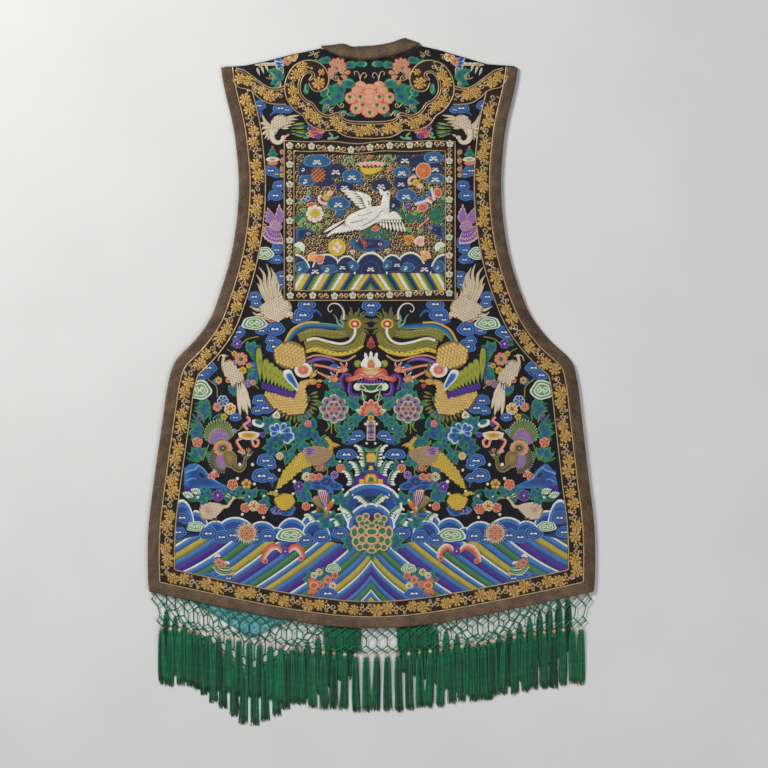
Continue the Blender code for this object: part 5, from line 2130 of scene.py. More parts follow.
            for path in (((-21, -103), (-16, -108), (-14, -118), (-13, -128), (-12, -136)),
                         ((-30, -129), (-25, -134), (-22, -142), (-20, -149)),
                         ((-41, -145), (-36, -150), (-33.5, -158), (-33, -165)),
                         ((-23, -184), (-17, -187), (-12, -193), (-6, -197)),
                         ((-49, -204), (-43, -207), (-37, -212), (-33, -219)),
                         ((-62, -222), (-57, -226), (-53, -232)), ((-104, -214), (-98, -219), (-93, -226))):
                self.spray(work, near, path)
            needle.leaves(Place().at(AXIS + hand * 66, -232, hand * -70), 3, 24, 70, Dye.LEAF, 0.6)
            for turn, rocks in (
                    (6, ((-92, -168, 17, 8), (-74, -163, 15, 11), (-60, -170, 14, 7), (-82, -174, 22, 6))),
                    (5, ((-152, -210, 15, 8), (-138, -208, 14, 9), (-146, -214, 18, 5)))):
                for k, (u, v, wide, high) in enumerate(rocks):
                    work.patch(near.at(u, v, turn - 8 * k), scalloped(wide, high, 5, 0.16), Dye.ROCK.value,
                               0.6, 0.1 + 0.12 * k)
            self.great_rock(work, Place(hand * -1.0, 0, 0, 1.0, AXIS, 0))
        return work.finish("rocks_and_foam", [FLOSS], "badge_embroidery")

    def build(self) -> list[bpy.types.Object]:
        """Work the stripes, the waves and the shore."""
        return [self.stripe_work(), self.wave_work(), self.shore_work()]


# ---------------------------------------------------------------- rank badge
@dataclass
class RankBadge:
    """The square badge on the back: a white bird over rocks and waves, on couched gilt meander."""

    form: VestForm
    across: float = -2.8
    height: float = 266.8
    half: float = 141.5
    high: float = 131.8
    border: float = 17.3
    cell: float = 6.6
    lay: float = 1.3
    inner: tuple = (-122.5, 109.0, 246.0, 176.0)
    dip: tuple = (3.2, -22.0, 38.0)
    ripple: Flat = (0.9, 13.0)
    strip: float = 30.0
    flowers: tuple = ((-132, 124), (-96, 123), (-64, 119), (-31, 117), (0.5, 121), (33, 124), (66, 125),
                      (97.5, 126), (132, 127), (-132, 93), (-132, 60), (-132, 32), (-132, 0), (-132, -32),
                      (-132, -63), (-132, -94), (-131, -123), (131, 99), (131, 68), (131, 35), (131, 4),
                      (131, -27), (131, -57), (131, -88), (131, -119), (-94, -123), (-58, -124), (-28, -123),
                      (0.5, -124), (33, -122), (64, -120), (97, -118))
    clouds: tuple = (
        (-87, 76, 27, 17, False, 0), (-107, 86, 12, 13, False, 1), (-56, 82, 18, 13.5, False, 2),
        (-41.5, 55.5, 15.5, 11, False, 2), (-77, 64, 20, 9, False, 0), (58, 100, 16, 9.5, False, 2),
        (82, 100, 15, 9.5, False, 0), (108, 86, 13, 11.5, False, 2), (75, 87, 10, 12, False, 1),
        (51.5, 62, 12.5, 14, False, 2), (18.5, 58, 17, 12, False, 2), (41, 27, 10, 12.5, False, 1),
        (-87, 98, 24, 11.5, True, 2), (-29.5, 73, 17, 12.5, True, 2), (-103, 66, 15, 10, True, 1),
        (-52, 28, 20.5, 12.5, True, 2), (105, 104, 17, 10.5, True, 2), (108, 69, 14.5, 10, True, 2),
        (53, 79.5, 15, 10, True, 2), (60, 41, 17.5, 12.5, True, 2))
    rollers: tuple = (
        (-124, -87, 27, 33), (124, -87, 25, 33), (-71, -84, 25, 30), (67, -84, 26, 33), (-38, -84, 20, 27),
        (37, -84, 20, 29), (1.5, -88, 28, 37))
    lobes: tuple = (
        (-113, -78, 11, 11, True, 1), (-90, -83, 14, 7.5, False, 2), (-67, -80, 15, 8, True, 1),
        (-45, -76, 11, 9, False, 2), (-27, -74, 9.5, 9, True, 1), (1.5, -79, 13, 8, False, 3),
        (30, -73, 9, 9, True, 1), (45, -72, 11, 8.5, False, 2), (62, -77, 13, 8.5, True, 1),
        (90, -79, 14, 8.5, False, 2), (114, -76, 10, 11, True, 1))

    def frame(self) -> Place:
        """Give the badge's own frame, from its middle."""
        return Place(x=self.across, y=self.height)

    def ground(self) -> bpy.types.Object:
        """Lay the badge's satin.

        Returns:
            The piece.
        """
        work = Work(self.form, 0.0)
        rows = 34
        lines = []
        for j in range(rows + 1):
            v = -self.high + 2 * self.high * j / rows
            lines.append([(self.across - self.half + 2 * self.half * k / rows, self.height + v)
                          for k in range(rows + 1)])
        heights = [0.5] + [self.lay - 0.05] * (rows - 1) + [0.5]
        work.web(lines, heights, [(UNDYED, UNDYED)] * rows)
        return work.finish("badge_satin", [BROWN_SATIN], "badge_embroidery", ["rank_badge"])

    def frame_band(self) -> list[bpy.types.Object]:
        """Lay the border: a brown band between two cords, with white flowers and gilt scrolls.

        Returns:
            The pieces.
        """
        satin, gilt, floss = Work(self.form, 0.0), Work(self.form, 2.5), Work(self.form, 2.5)
        place = self.frame()
        corners = [(-1, -1), (1, -1), (1, 1), (-1, 1), (-1, -1)]
        rails = []
        for inset in (0.0, 0.6, 2.0, self.border / 2, self.border - 2.0, self.border - 0.6, self.border):
            loop = []
            for (a, b), (c, d) in zip(corners, corners[1:]):
                for k in range(30):
                    t = k / 30
                    u = (a + (c - a) * t) * (self.half - inset)
                    v = (b + (d - b) * t) * (self.high - inset)
                    loop.append(place.to(u, v + self.sag(u, v)))
            rails.append(loop + loop[:1])
        satin.web(rails, (1.0, 2.3, 2.5, 2.55, 2.5, 2.3, 1.0), [(UNDYED, UNDYED)] * 6)
        # The two cords are pale gilt down the middle and deep gilt at the edges: painted highlight and shade
        # on their round.
        for rail in (rails[1], rails[5]):
            gilt.ribbon(Place(), rail[:-1], 1.15,
                        [(-1, Silk.DEEP_GILT), (0, Silk.PALE_GILT), (1, Silk.DEEP_GILT)],
                        0.9, 0.0, closed=True, lengthwise=True)
        for spot in [place.at(u, v) for u, v in self.flowers]:
            for k in range(5):
                floss.patch(spot.at(0, 0, 72 * k), petal(6.2, 5.6, 0.7),
                            [(0, Silk.BARK), (0.16, Silk.SAND), (0.3, Silk.WHITE), (1, Silk.MINT)], 0.5, 0.06)
            floss.dot(spot, 0, 0, 2.0, Silk.LIME, 0.5, 7, Silk.SAND)
        for run in ((0, 9), (9, 17), (17, 25)):
            line = [self.flowers[k] for k in range(*run)]
            if run[0]:
                line = [self.flowers[0 if run[0] == 9 else 8]] + line
            self.scrolls(gilt, place, line)
        low = [self.flowers[16]] + [self.flowers[k] for k in range(25, 32)] + [self.flowers[24]]
        self.scrolls(gilt, place, low)
        return [satin.finish("badge_border_satin", [BROWN_SATIN], "gold_band", ["badge_border"]),
                gilt.finish("badge_border_gilt", [GILT_THREAD], "gold_band"),
                floss.finish("badge_border_flowers", [FLOSS], "badge_embroidery")]

    def sag(self, u: float, v: float) -> float:
        """Give how far the badge's top edge dips towards its middle.

        Args:
            u: Across, in the badge's own frame.
            v: Up, in the badge's own frame.

        Returns:
            The dip, downwards negative; there is none below the uppermost strip.
        """
        (deep, place, reach), (high, length) = self.dip, self.ripple
        if v < self.high - self.strip:
            return 0.0
        return -deep * math.exp(-((u - place) / reach) ** 2) + high * math.sin(u / length)

    def scrolls(self, gilt: Work, place: Place, line: Sequence[Flat]) -> None:
        """Lay a scroll of two linked spirals in each gap between the border's flowers.

        Args:
            gilt: The piece that it is worked on.
            place: The badge's middle.
            line: The flowers' middles.
        """
        for k, ((u0, v0), (u1, v1)) in enumerate(zip(line, line[1:])):
            room = math.dist((u0, v0), (u1, v1))
            size = min(room / 22.5, 1.42)
            turn = math.degrees(math.atan2(v1 - v0, u1 - u0))
            middle = place.at((u0 + u1) / 2, (v0 + v1) / 2, turn, size, 1.0 if k % 2 else -1.0)
            gilt.cord(middle, s_scroll(3.8, spiral(0.7, 3.3, 1.2, -90)), 0.66, Silk.PALE_GILT, 0.1)

    def meander(self) -> bpy.types.Object:
        """Couch gilt thread all over the ground in small linked curls.

        Returns:
            The piece.
        """
        work = Work(self.form, self.lay)
        draw = random.Random(5)
        place = self.frame()
        tones = [blend(Silk.PALE_GILT.value, Silk.KHAKI.value, share) for share in (0.0, 0.0, 0.1, 0.3)]
        left, top, wide, high = self.inner
        columns, rows = int(wide / self.cell), int(high / self.cell)
        for row in range(rows):
            for column in range(columns):
                u = left + self.cell * (column + 0.5 + 0.3 * (row % 2))
                v = top - self.cell * (row + 0.5)
                spot = place.at(u, v, 90 * draw.randrange(4) + draw.uniform(-12, 12), 1.0,
                                draw.choice((-1, 1)))
                reach = self.cell * 0.52
                path = [(-reach * 1.0, -reach * 0.9), (-reach * 0.75, reach * 0.5), (0.0, reach * 0.85),
                        (reach * 0.75, reach * 0.3), (reach * 0.3, -reach * 0.45),
                        (-reach * 0.2, -reach * 0.1)]
                work.cord(spot, flow(path, 2.6), 0.72, draw.choice(tones))
        return work.finish("badge_gilt_meander", [GILT_THREAD], "gold_band")

    def commas(self, work: Work, place: Place, wide: float, layer: float, count: int) -> None:
        """Work a cloud's white commas: one, or two back to back, or two over a long white bar.

        Args:
            work: The piece that it is worked on.
            place: Where it is worked.
            wide: How wide the cloud is.
            layer: How high it lies over what is under it.
            count: How many commas there are.
        """
        for hand in (-1, 1)[:min(count, 2)]:
            tail = [(0.95, -0.5), (0.5, -0.28), (0.16, -0.1), (0.2, 0.3), (0.5, 0.44), (0.72, 0.2)]
            work.cord(place, flow([(hand * wide * u, wide * v) for u, v in tail], 1.6), 0.16 * wide,
                      Silk.WHITE, layer)
            work.patch(place.at(hand * 0.62 * wide, -0.3 * wide), oval(0.42 * wide, 0.24 * wide, 8),
                       only(Silk.WHITE), 0.4, layer)

    def bank(self, work: Work, place: Place, cloud: tuple, layer: float) -> None:
        """Work one cloud: a lens of blue silk, scalloped on top, in arcs of two tones.

        Args:
            work: The piece that it is worked on.
            place: Where it is worked.
            cloud: Half its width, half its height, whether it is pale and how many commas it has.
            layer: How high it lies over what is under it.
        """
        wide, high, pale, commas = cloud
        edge = [(wide * (0.91 + 0.09 * abs(math.cos(2.5 * turn))) * math.cos(turn),
                 high * (0.9 + 0.1 * abs(math.cos(2.5 * turn))) * math.sin(turn))
                for turn in (math.pi * k / 20 for k in range(21))]
        edge += [(wide * math.cos(turn), 0.85 * high * math.sin(turn))
                 for turn in (math.pi + math.pi * k / 10 for k in range(1, 10))]
        main = Silk.TEAL.value if pale else Silk.MIDNIGHT.value
        rim = blend(main, Silk.ICE.value, 0.4 if pale else 0.12)
        line = blend(main, Silk.NAVY.value if pale else Silk.ROYAL.value, 0.5)
        work.patch(place, edge, [(0, rim), (0.1, rim), (0.1, main), (0.34, main), (0.34, line), (0.42, line),
                                 (0.42, main), (1, main)], 0.5, layer)
        if commas:
            self.commas(work, place.at(0, -0.15 * high), min(0.46 * wide, 7.0), layer + 0.5, commas)

    def crane(self, work: Work, place: Place) -> None:
        """Work the white bird: tail, wings, body, neck, head and leg.

        Args:
            work: The piece that it is worked on.
            place: Where it is worked.
        """
        quill = [(0, Silk.INK), (0.2, Silk.INK), (0.2, Silk.SAND), (0.36, Silk.WHITE), (1, Silk.WHITE)]
        smooth = [(0, Silk.IVORY), (0.1, Silk.WHITE), (1, Silk.WHITE)]
        work.cord(place, flow([(-18, -13), (-16, -21), (-13.5, -30), (-12, -38)], 3), 1.5, Silk.CORAL, 1.0)
        for turn in (-150, -110, -60, -20, 20):
            work.patch(place.at(-11, -39, turn), petal(8, 3, 0.2), [(0, Silk.CORAL), (1, Silk.RED)], 0.4, 1.1)
        for k in range(4):
            work.patch(place.at(9, -8, -130 - 28 * k), petal(10, 5, 0.3), Dye.CORAL.value, 0.5,
                       0.9 + 0.05 * k)
        feathers = (
            ((-81, -22), (-29, 9), 6.6), ((-75.5, -29), (-36, 0), 6.8), ((-66, -25), (-36, 1), 5.0),
            ((-59.5, -23.5), (-34, 0), 5.0), ((-53.5, -23), (-32, -1), 4.8), ((-47.5, -22), (-30, -2), 4.8),
            ((-42, -21), (-28, -3), 4.6), ((-36, -19.5), (-25, -4), 4.6), ((-30.5, -18.5), (-22, -6), 4.4),
            ((-25, -16), (-19, -7), 4.4),
            ((-20, 22), (-4, 24), 5.4), ((-26.5, 26), (-4.5, 27), 5.4), ((-30, 30.5), (-5, 30.4), 5.4),
            ((-35, 35), (-6, 33.8), 5.6), ((-41, 40), (-7, 37.2), 5.8), ((-46, 45), (-8, 40.6), 6.0),
            ((-51, 50), (-9, 45), 6.4),
            ((13, -6), (12.5, 6), 4.6), ((18.5, -10.5), (17, 5), 4.8), ((23.5, -14), (21.5, 4.5), 5.0),
            ((29, -16.5), (26.2, 4), 5.2), ((35.5, -18), (31.2, 4), 5.4), ((42, -18.5), (36.4, 4), 5.4),
            ((48, -20), (41.4, 4), 5.4), ((54, -21), (46.2, 4), 5.2), ((59.5, -21), (50.4, 5), 5.0))
        for k, (tip, root, wide) in enumerate(feathers):
            work.patch(toward(place, root, tip), petal(math.dist(root, tip), wide, 0.6), quill, 0.35,
                       1.0 + 0.04 * (k % 12))
        for k in range(9):
            work.patch(place.at(13.5 + 4.5 * k, 3.4, 180 + 1.6 * k), petal(6.8, 4.8, 0.75), quill, 0.3, 1.5)
        shoulders = (((-23, 49), (-8, 45), (0.5, 40.5), (3.5, 35.5), (1.5, 29), (3.5, 22), (-5, 21), (-9, 27),
                      (-13, 37), (-22, 45)), ((9, 8.5), (20, 7), (26.7, 9), (32.5, 13), (39.5, 16),
                                              (46.5, 11.5), (52.5, 2.5), (42, 2), (25, 2), (12, 2)))
        for outline in shoulders:
            work.patch(place, flow(outline, 4, True), smooth, 0.9, 1.65)
        work.cord(place, flow([(-3, 33), (-1, 29.5), (-2, 26)], 2), 0.6, Silk.INK, 2.4)
        body = ((-37, 7), (-24.5, 14.5), (-13.5, 19), (-3, 22.5), (8.5, 24), (18.5, 25), (31, 23.5),
                (32, 12.5), (24, 4), (12, -2), (0, -9), (-12, -15), (-22, -15.5), (-33, -10.5), (-41, -3.5))
        work.patch(place, flow(body, 4, True), smooth, 1.3, 1.55)
        for k in range(3):
            work.patch(place.at(26, 46.5, 62 + 24 * k), petal(15 - 2 * k, 5.4, 0.4), quill, 0.4,
                       1.7 + 0.05 * k)
        neck = ((18, 22), (20, 34), (21.5, 42), (24.5, 48.5), (30, 50), (34, 46.5), (33.2, 39), (32.5, 31),
                (32, 21), (26, 18))
        work.patch(place, flow(neck, 4, True), smooth, 1.4, 1.9)
        work.patch(place.at(33.4, 45, -90), petal(7.0, 6, 0.2), [(0, Silk.CORAL), (1, Silk.AMBER)], 0.5, 2.0)
        work.dot(place, 29.4, 44.5, 1.5, Silk.INK, 3.4, 7)
        for line in (((-33, -3), (-20, -1), (-4, 4)), ((-20, 9), (-8, 10), (4, 15)),
                     ((-14, -9), (0, -2), (14, 8)), ((14, 8), (16, 14), (22, 17))):
            work.cord(place, flow(line, 4), 0.34, Silk.BARK, 2.75)

    def waters(self, work: Work, place: Place) -> None:
        """Work the badge's own standing-water stripes and its rollers.

        Args:
            work: The piece that it is worked on.
            place: Where it is worked.
        """
        silks = ((Silk.WHITE, 6.2), (Silk.LIME, 3.6), (Silk.MEADOW, 4.2), (Silk.NAVY, 5.6), (Silk.TEAL, 3.6),
                 (Silk.STRAW, 8.2))
        for hand in (-1, 1):
            start, row = -2.4, 0
            while start < 124 + 20:
                silk, wide = silks[row % len(silks)]
                lines = []
                for share in (0.0, 0.5, 1.0):
                    line = []
                    for k in range(9):
                        rise = 30 * (1 - k / 8)
                        aside = start + wide * share - (0.58 + 0.36 * math.exp(-max(start, 0) / 24)) * rise
                        line.append(place.to(hand * min(max(aside, 0.0), 123.0)
                                             + 1.5 * (1 - abs(aside) / 123), -116 + rise))
                    lines.append(line)
                shade = blend(silk.value, Silk.INK.value, 0.2)
                work.web(lines, (0.25, 0.6, 0.25), [(shade, silk.value), (silk.value, shade)])
                start += wide
                row += 1
        deep = Silk.MIDNIGHT.value
        work.web([[place.to(-122.5 + 24.6 * k, v) for k in range(11)] for v in (-86.5, -64.0)], (0.3, 0.3),
                 [(deep, deep)])
        stops = [(0, Silk.WHITE), (0.09, Silk.WHITE), (0.09, Silk.MINT), (0.13, Silk.NAVY), (0.4, Silk.NAVY),
                 (0.4, Silk.ROYAL), (0.5, Silk.NAVY), (0.5, Silk.MIDNIGHT), (1, Silk.MIDNIGHT)]
        for k, (u, v, wide, high) in enumerate(self.rollers):
            arc = [(wide * math.cos(math.pi * j / 14), high * math.sin(math.pi * j / 14)) for j in range(15)]
            work.patch(place.at(u, v), [(max(-122.5 - u, min(123.5 - u, x)), y) for x, y in arc], stops, 0.5,
                       0.9 + 0.06 * k, centre=(0.0 if abs(u) < 110 else -math.copysign(2.0, u), 1.0))
        for u, v, *cloud in self.lobes:
            self.bank(work, place.at(u, v), cloud, 1.5)

    def fruit(self, work: Work, place: Place, wide: float, high: float) -> None:
        """Work a peach with its bar of white and blue beside it.

        Args:
            work: The piece that it is worked on.
            place: Where it is worked.
            wide: Half its width.
            high: Half its height.
        """
        work.patch(place, oval(wide, high, 14), [(0, Silk.BLUSH), (0.25, Silk.PEACH), (0.25, Silk.CORAL),
                                                 (0.8, Silk.CORAL), (1, Silk.PEACH)], 0.8, 1.15)
        work.patch(place, oval(wide * 0.8, high, 10, -wide * 1.8, 0),
                   [(0, Silk.TEAL), (0.4, Silk.SKY), (1, Silk.NAVY)], 0.4, 0.95)
        work.cord(place, [(-wide * 1.1, -high * 1.2), (-wide * 1.25, 0), (-wide * 1.1, high * 1.3)], 2.4,
                  Silk.WHITE, 1.1)

    def upper_emblems(self, work: Work, place: Place) -> None:
        """Work the clouds and what is among them: knot, dish of petals, sun and two curled emblems.

        Args:
            work: The piece that it is worked on.
            place: Where it is worked.
        """
        needle = Needle(work)
        for k, (u, v, *cloud) in enumerate(self.clouds):
            self.bank(work, place.at(u, v), cloud, 0.4 + (0.35 if cloud[2] else 0.0) + 0.01 * k)
        for path, halves in ((((-46, 18), (-50, 12), (-57, 4)), (7.5, 5.0, 3.0, 0.8)),
                             (((-20, 66), (-14, 62), (-10, 58)), (6.0, 4.0, 2.0, 0.8))):
            line = resample(path, 4)
            work.ribbon(place, line, halves, [(-1, Silk.TEAL), (1, Silk.TEAL)], 0.3, 0.7)
        knot = place.at(-85, 75.5, 42)
        orange = blend(Silk.CORAL.value, Silk.AMBER.value, 0.45)
        for k in range(4):
            at, long = -7.2 + 4.8 * k, 13.0 if k in (1, 2) else 9.5
            work.cord(knot, resample([(-long, at), (long, at)], 6), 1.45, orange, 1.2)
            work.cord(knot, resample([(at, -long), (at, long)], 6), 1.45, orange, 1.35)
        dish = [(-17, -1), (-15.5, 7), (-9.5, 12), (0, 13), (12, 9.5), (23, 3), (18.5, -0.5), (7, 1.5),
                (-6, 2)]
        work.patch(place, [(u, 88.5 - v) for u, v in dish],
                   [(0, Silk.OLIVE), (0.14, Silk.STRAW), (1, Silk.STRAW)], 0.6, 1.0)
        for k in range(6):
            work.patch(place.at(-12 + 6 * k, 89.5 - 0.5 * abs(k - 2.5), 12 * (2.5 - k)),
                       petal(9.5, 8.6, 0.75),
                       [(0, Silk.CORAL), (0.16, Silk.BLUSH), (0.6, Silk.BLUSH), (1, Silk.PEACH)], 0.5,
                       1.1 + 0.05 * (k % 2))
        needle.leaves(place.at(0, 98, 0), 5, 9, 170, Dye.GRASS, 0.9)
        needle.blossom(place.at(-1, 104.5), 4.0, Dye.CORAL, 5, layer=1.2)
        needle.blossom(place.at(33.5, 86), 4.4, Dye.CORAL, 5, Silk.BLUSH, 1.0)
        for path in (((-45, 97), (-40, 91), (-33, 100), (-26, 90), (-18, 96)),
                     ((-40, 103), (-32, 104), (-24, 99)),
                     ((18, 96), (25, 104), (32, 108), (38, 100), (43, 105)), ((22, 91), (28, 95), (36, 90))):
            work.cord(place, flow(path, 2.5), 1.7, Silk.MINT, 0.7)
        work.patch(place, oval(13, 13.4, 24, 88.5, 82.5), [(0, Silk.BLUSH), (0.1, Silk.BLUSH), (0.1, orange),
                                                           (0.7, orange), (1, Silk.PEACH)], 0.7, 1.3)
        for u, v, turn, hand in ((-72, 39, 35, 1), (76, 63, 150, -1)):
            spot = place.at(u, v, turn, 1.0, hand)
            work.patch(spot, oval(6.8, 6.4, 10), [(0, Silk.LIME), (0.2, Silk.LIME), (0.2, Silk.STRAW),
                                                  (1, Silk.AMBER)],
                       0.6, 1.2)
            work.patch(spot.at(8.5, 1.5), oval(6.4, 5.2, 10),
                       [(0, Silk.SAND), (0.3, Silk.BLUSH), (1, Silk.PEACH)], 0.6, 1.1)
            work.ribbon(spot, flow([(-4, -9), (-10, -5), (-12, 2), (-9, 7), (-5, 5)], 2.5), 2.3,
                        [(-1, Silk.PEACH), (0, Silk.BLUSH), (1, Silk.WHITE)], 0.5, 1.1)
            work.dot(spot, -7.5, 1.0, 2.4, Silk.PLUM, 1.1, 7)
            work.cord(spot, flow([(12, 5), (14, 10), (9, 13)], 2), 1.1, Silk.PEACH, 1.1)

    def bouquet(self, work: Work, place: Place) -> None:
        """Work the great flower in its leaves, and the peaches and the purple flower across from it.

        Args:
            work: The piece that it is worked on.
            place: Where it is worked.
        """
        needle = Needle(work)
        for u, v, turn, size in ((-104, 16, 75, 14), (-103, 40, -20, 14), (-104, 4, 115, 14),
                                 (-98, -3, 150, 14), (-84, -3, 205, 14), (-76, 9, 270, 13),
                                 (-78, 20, 300, 13), (-110, 26, 60, 12), (-112, -12, 20, 14),
                                 (-92, -6, 180, 14), (-74, 0, 235, 13), (-96, 34, 60, 12)):
            needle.leaf(place.at(u, v, turn), size, size * 0.66, Dye.FRESH, 0.6)
        needle.blades(place.at(-115, -4, 20), 5, 20, 70, 0.5)
        for k in range(8):
            work.patch(place.at(-90.4, 11.6, 45 * k), petal(15.4, 9.8, 0.9),
                       [(0, Silk.BARK), (0.1, Silk.SAND), (0.22, Silk.WHITE), (0.8, Silk.IVORY),
                        (1, Silk.SAND)], 0.7, 1.1 + 0.06 * (k % 2))
        work.patch(place, oval(8.8, 8.2, 16, -90.4, 12),
                   [(0, Silk.SAND), (0.16, Silk.STRAW), (0.4, Silk.STRAW),
                    (0.4, Silk.OCHRE), (0.5, Silk.STRAW), (1, Silk.AMBER)],
                   0.5, 1.6)
        for k in range(3):
            work.patch(place.at(-97, 22, 40 * (1 - k)), petal(8.5, 7, 0.7), Dye.CORAL.value, 0.5, 1.0)
        for k, dye in enumerate((Dye.BLUE, Dye.BLUE, Dye.PURPLE)):
            work.patch(place.at(-106 + 4 * k, 28 + 2 * k, 30 - 30 * k), petal(11, 7, 0.6), dye.value, 0.5,
                       0.8)
        self.fruit(work, place.at(112, 46, 15), 6.8, 8.6)
        self.fruit(work, place.at(87, 22, -75), 7.2, 9.6)
        self.fruit(work, place.at(100, 36, 55), 3.6, 5.0)
        needle.blossom(place.at(63, 22), 5.4, Dye.PURPLE, 5, Silk.WHITE, 0.9)

    def lower_emblems(self, work: Work, place: Place) -> None:
        """Work what stands by the water: grass, a sprig, rocks, the coin, the fans and the shells.

        Args:
            work: The piece that it is worked on.
            place: Where it is worked.
        """
        needle = Needle(work)
        for u, v, turn, count in ((54, 6, 20, 4), (66, -4, 0, 5), (80, -2, -20, 4), (104, 4, -20, 5),
                                  (118, 10, 10, 4),
                                  (112, -6, 0, 5), (3, -28, 0, 7), (20, -30, -20, 4), (-8, -26, 20, 4),
                                  (-98, -14, 60, 3), (112, 30, -60, 4), (92, 30, 60, 3)):
            needle.blades(place.at(u, v, turn), count, 22, 90, 0.7)
        for u, v, turn, size in ((60, 14, 30, 10), (72, 8, -30, 11), (84, 12, 40, 9), (70, -18, 60, 12),
                                 (78, -20, -60, 11), (118, 34, -40, 9), (102, 50, 40, 9)):
            needle.leaf(place.at(u, v, turn), size * 1.3, size * 0.8, Dye.FRESH, 0.75)
        work.cord(place, resample([(80, -12), (95, 2)], 6), 1.5, Silk.PEACH, 1.0)
        for u, v in ((79, -13), (83, -8), (92, -1), (96, 3)):
            work.dot(place, u, v, 2.6, Silk.BLUSH, 1.0, 7, Silk.CORAL)
        rocks = (((-122, -12), (-101.5, -12), (-89, -18), (-89, -20.5), (-104, -26), (-116.5, -34),
                  (-122, -35.5)),
                 ((89, -12.5), (99, -6.5), (109, -5.5), (123, -9), (123, -33), (111, -25), (99, -17.5)),
                 ((-33, -31), (-21, -28.5), (3.5, -27), (25, -29.5), (33.5, -36), (28.5, -44.5), (3.5, -49.5),
                  (-19.5, -49.5), (-31, -41)))
        for outline in rocks:
            work.patch(place, outline, [(0, Silk.TEAL), (0.16, Silk.TEAL), (0.4, Silk.NAVY),
                                        (0.7, Silk.MIDNIGHT), (1, Silk.TEAL)], 0.7, 0.85)
        for u, v in ((-101, -21), (100, -12), (17, -38.5)):
            work.patch(place, oval(3.6, 2.5, 9, u, v), Dye.CORAL.value, 0.5, 1.6)
        work.dot(place, -21, -33, 2.6, Silk.STRAW, 1.5, 7, Silk.OLIVE)
        coin = place.at(-53.8, -43.6)
        work.patch(coin, oval(14.8, 14.6, 24), [(0, Silk.OLIVE), (0.06, Silk.STRAW), (0.3, Silk.STRAW),
                                                (0.3, Silk.OCHRE), (0.36, Silk.STRAW), (1, Silk.AMBER)], 0.6,
                   1.1)
        for u, v in ((-4.5, -1.5), (4.8, 0.5), (0.5, 6.2), (0.5, -6)):
            work.patch(coin, oval(4.6, 4.2, 12, u, v), [(0, Silk.AMBER), (0.2, Silk.BLUSH), (0.6, Silk.WHITE),
                                                        (1, Silk.PEACH)], 0.4, 1.6)
        fans = ((-92, -62, 45, (Silk.BLUSH, Silk.PEACH, Silk.STRAW)),
                (-82, -66, 15, (Silk.BLUSH, Silk.CORAL, Silk.PEACH)),
                (90, -60, -30, (Silk.BLUSH, Silk.STRAW, Silk.PEACH)),
                (64, -34, -20, (Silk.STRAW, Silk.AMBER, Silk.CORAL)),
                (84, -36, 30, (Silk.WHITE, Silk.BLUSH, Silk.PEACH)),
                (-28, -53, 0, (Silk.WHITE, Silk.BLUSH, Silk.CORAL)),
                (30, -51, 0, (Silk.WHITE, Silk.LIME, Silk.CORAL)))
        for u, v, turn, (edge, main, heart) in fans:
            size = 19.0 if abs(u) > 60 else 9.0
            for k in range(5):
                work.patch(place.at(u, v, turn + 27 * (k - 2)).at(0, -size * 0.4),
                           petal(size, size * 0.4, 0.6),
                           [(0, edge), (0.24, edge), (0.24, main), (1, heart)], 0.5,
                           1.55 + 0.05 * (2 - abs(k - 2)))
        for hand in (-1, 1):
            for k in range(5):
                work.patch(place.at(hand * 116, -44, hand * -1 * (50 - 42 * k)), petal(9.5, 6.5, 0.8),
                           [(0, Silk.WHITE), (0.5, Silk.WHITE), (1, Silk.MINT)], 0.5, 1.1 + 0.04 * k)
            work.patch(place, oval(5.5, 6.5, 9, hand * 118, -48), [(0, Silk.LIME), (1, Silk.MINT)], 0.4, 1.0)

    def build(self) -> list[bpy.types.Object]:
        """Make the badge from its ground up.

        Returns:
            The pieces.
        """
        waters, things, bird = (Work(self.form, self.lay + lift) for lift in (0.0, 0.6, 1.0))
        place = self.frame()
        self.waters(waters, place)
        self.upper_emblems(things, place)
        self.bouquet(things, place)
        self.lower_emblems(things, place)
        self.crane(bird, place)
        return [self.ground(), *self.frame_band(), self.meander(),
                waters.finish("badge_waters", [FLOSS], "badge_embroidery"),
                things.finish("badge_emblems", [FLOSS], "badge_embroidery"),
                bird.finish("badge_bird", [FLOSS], "badge_embroidery")]


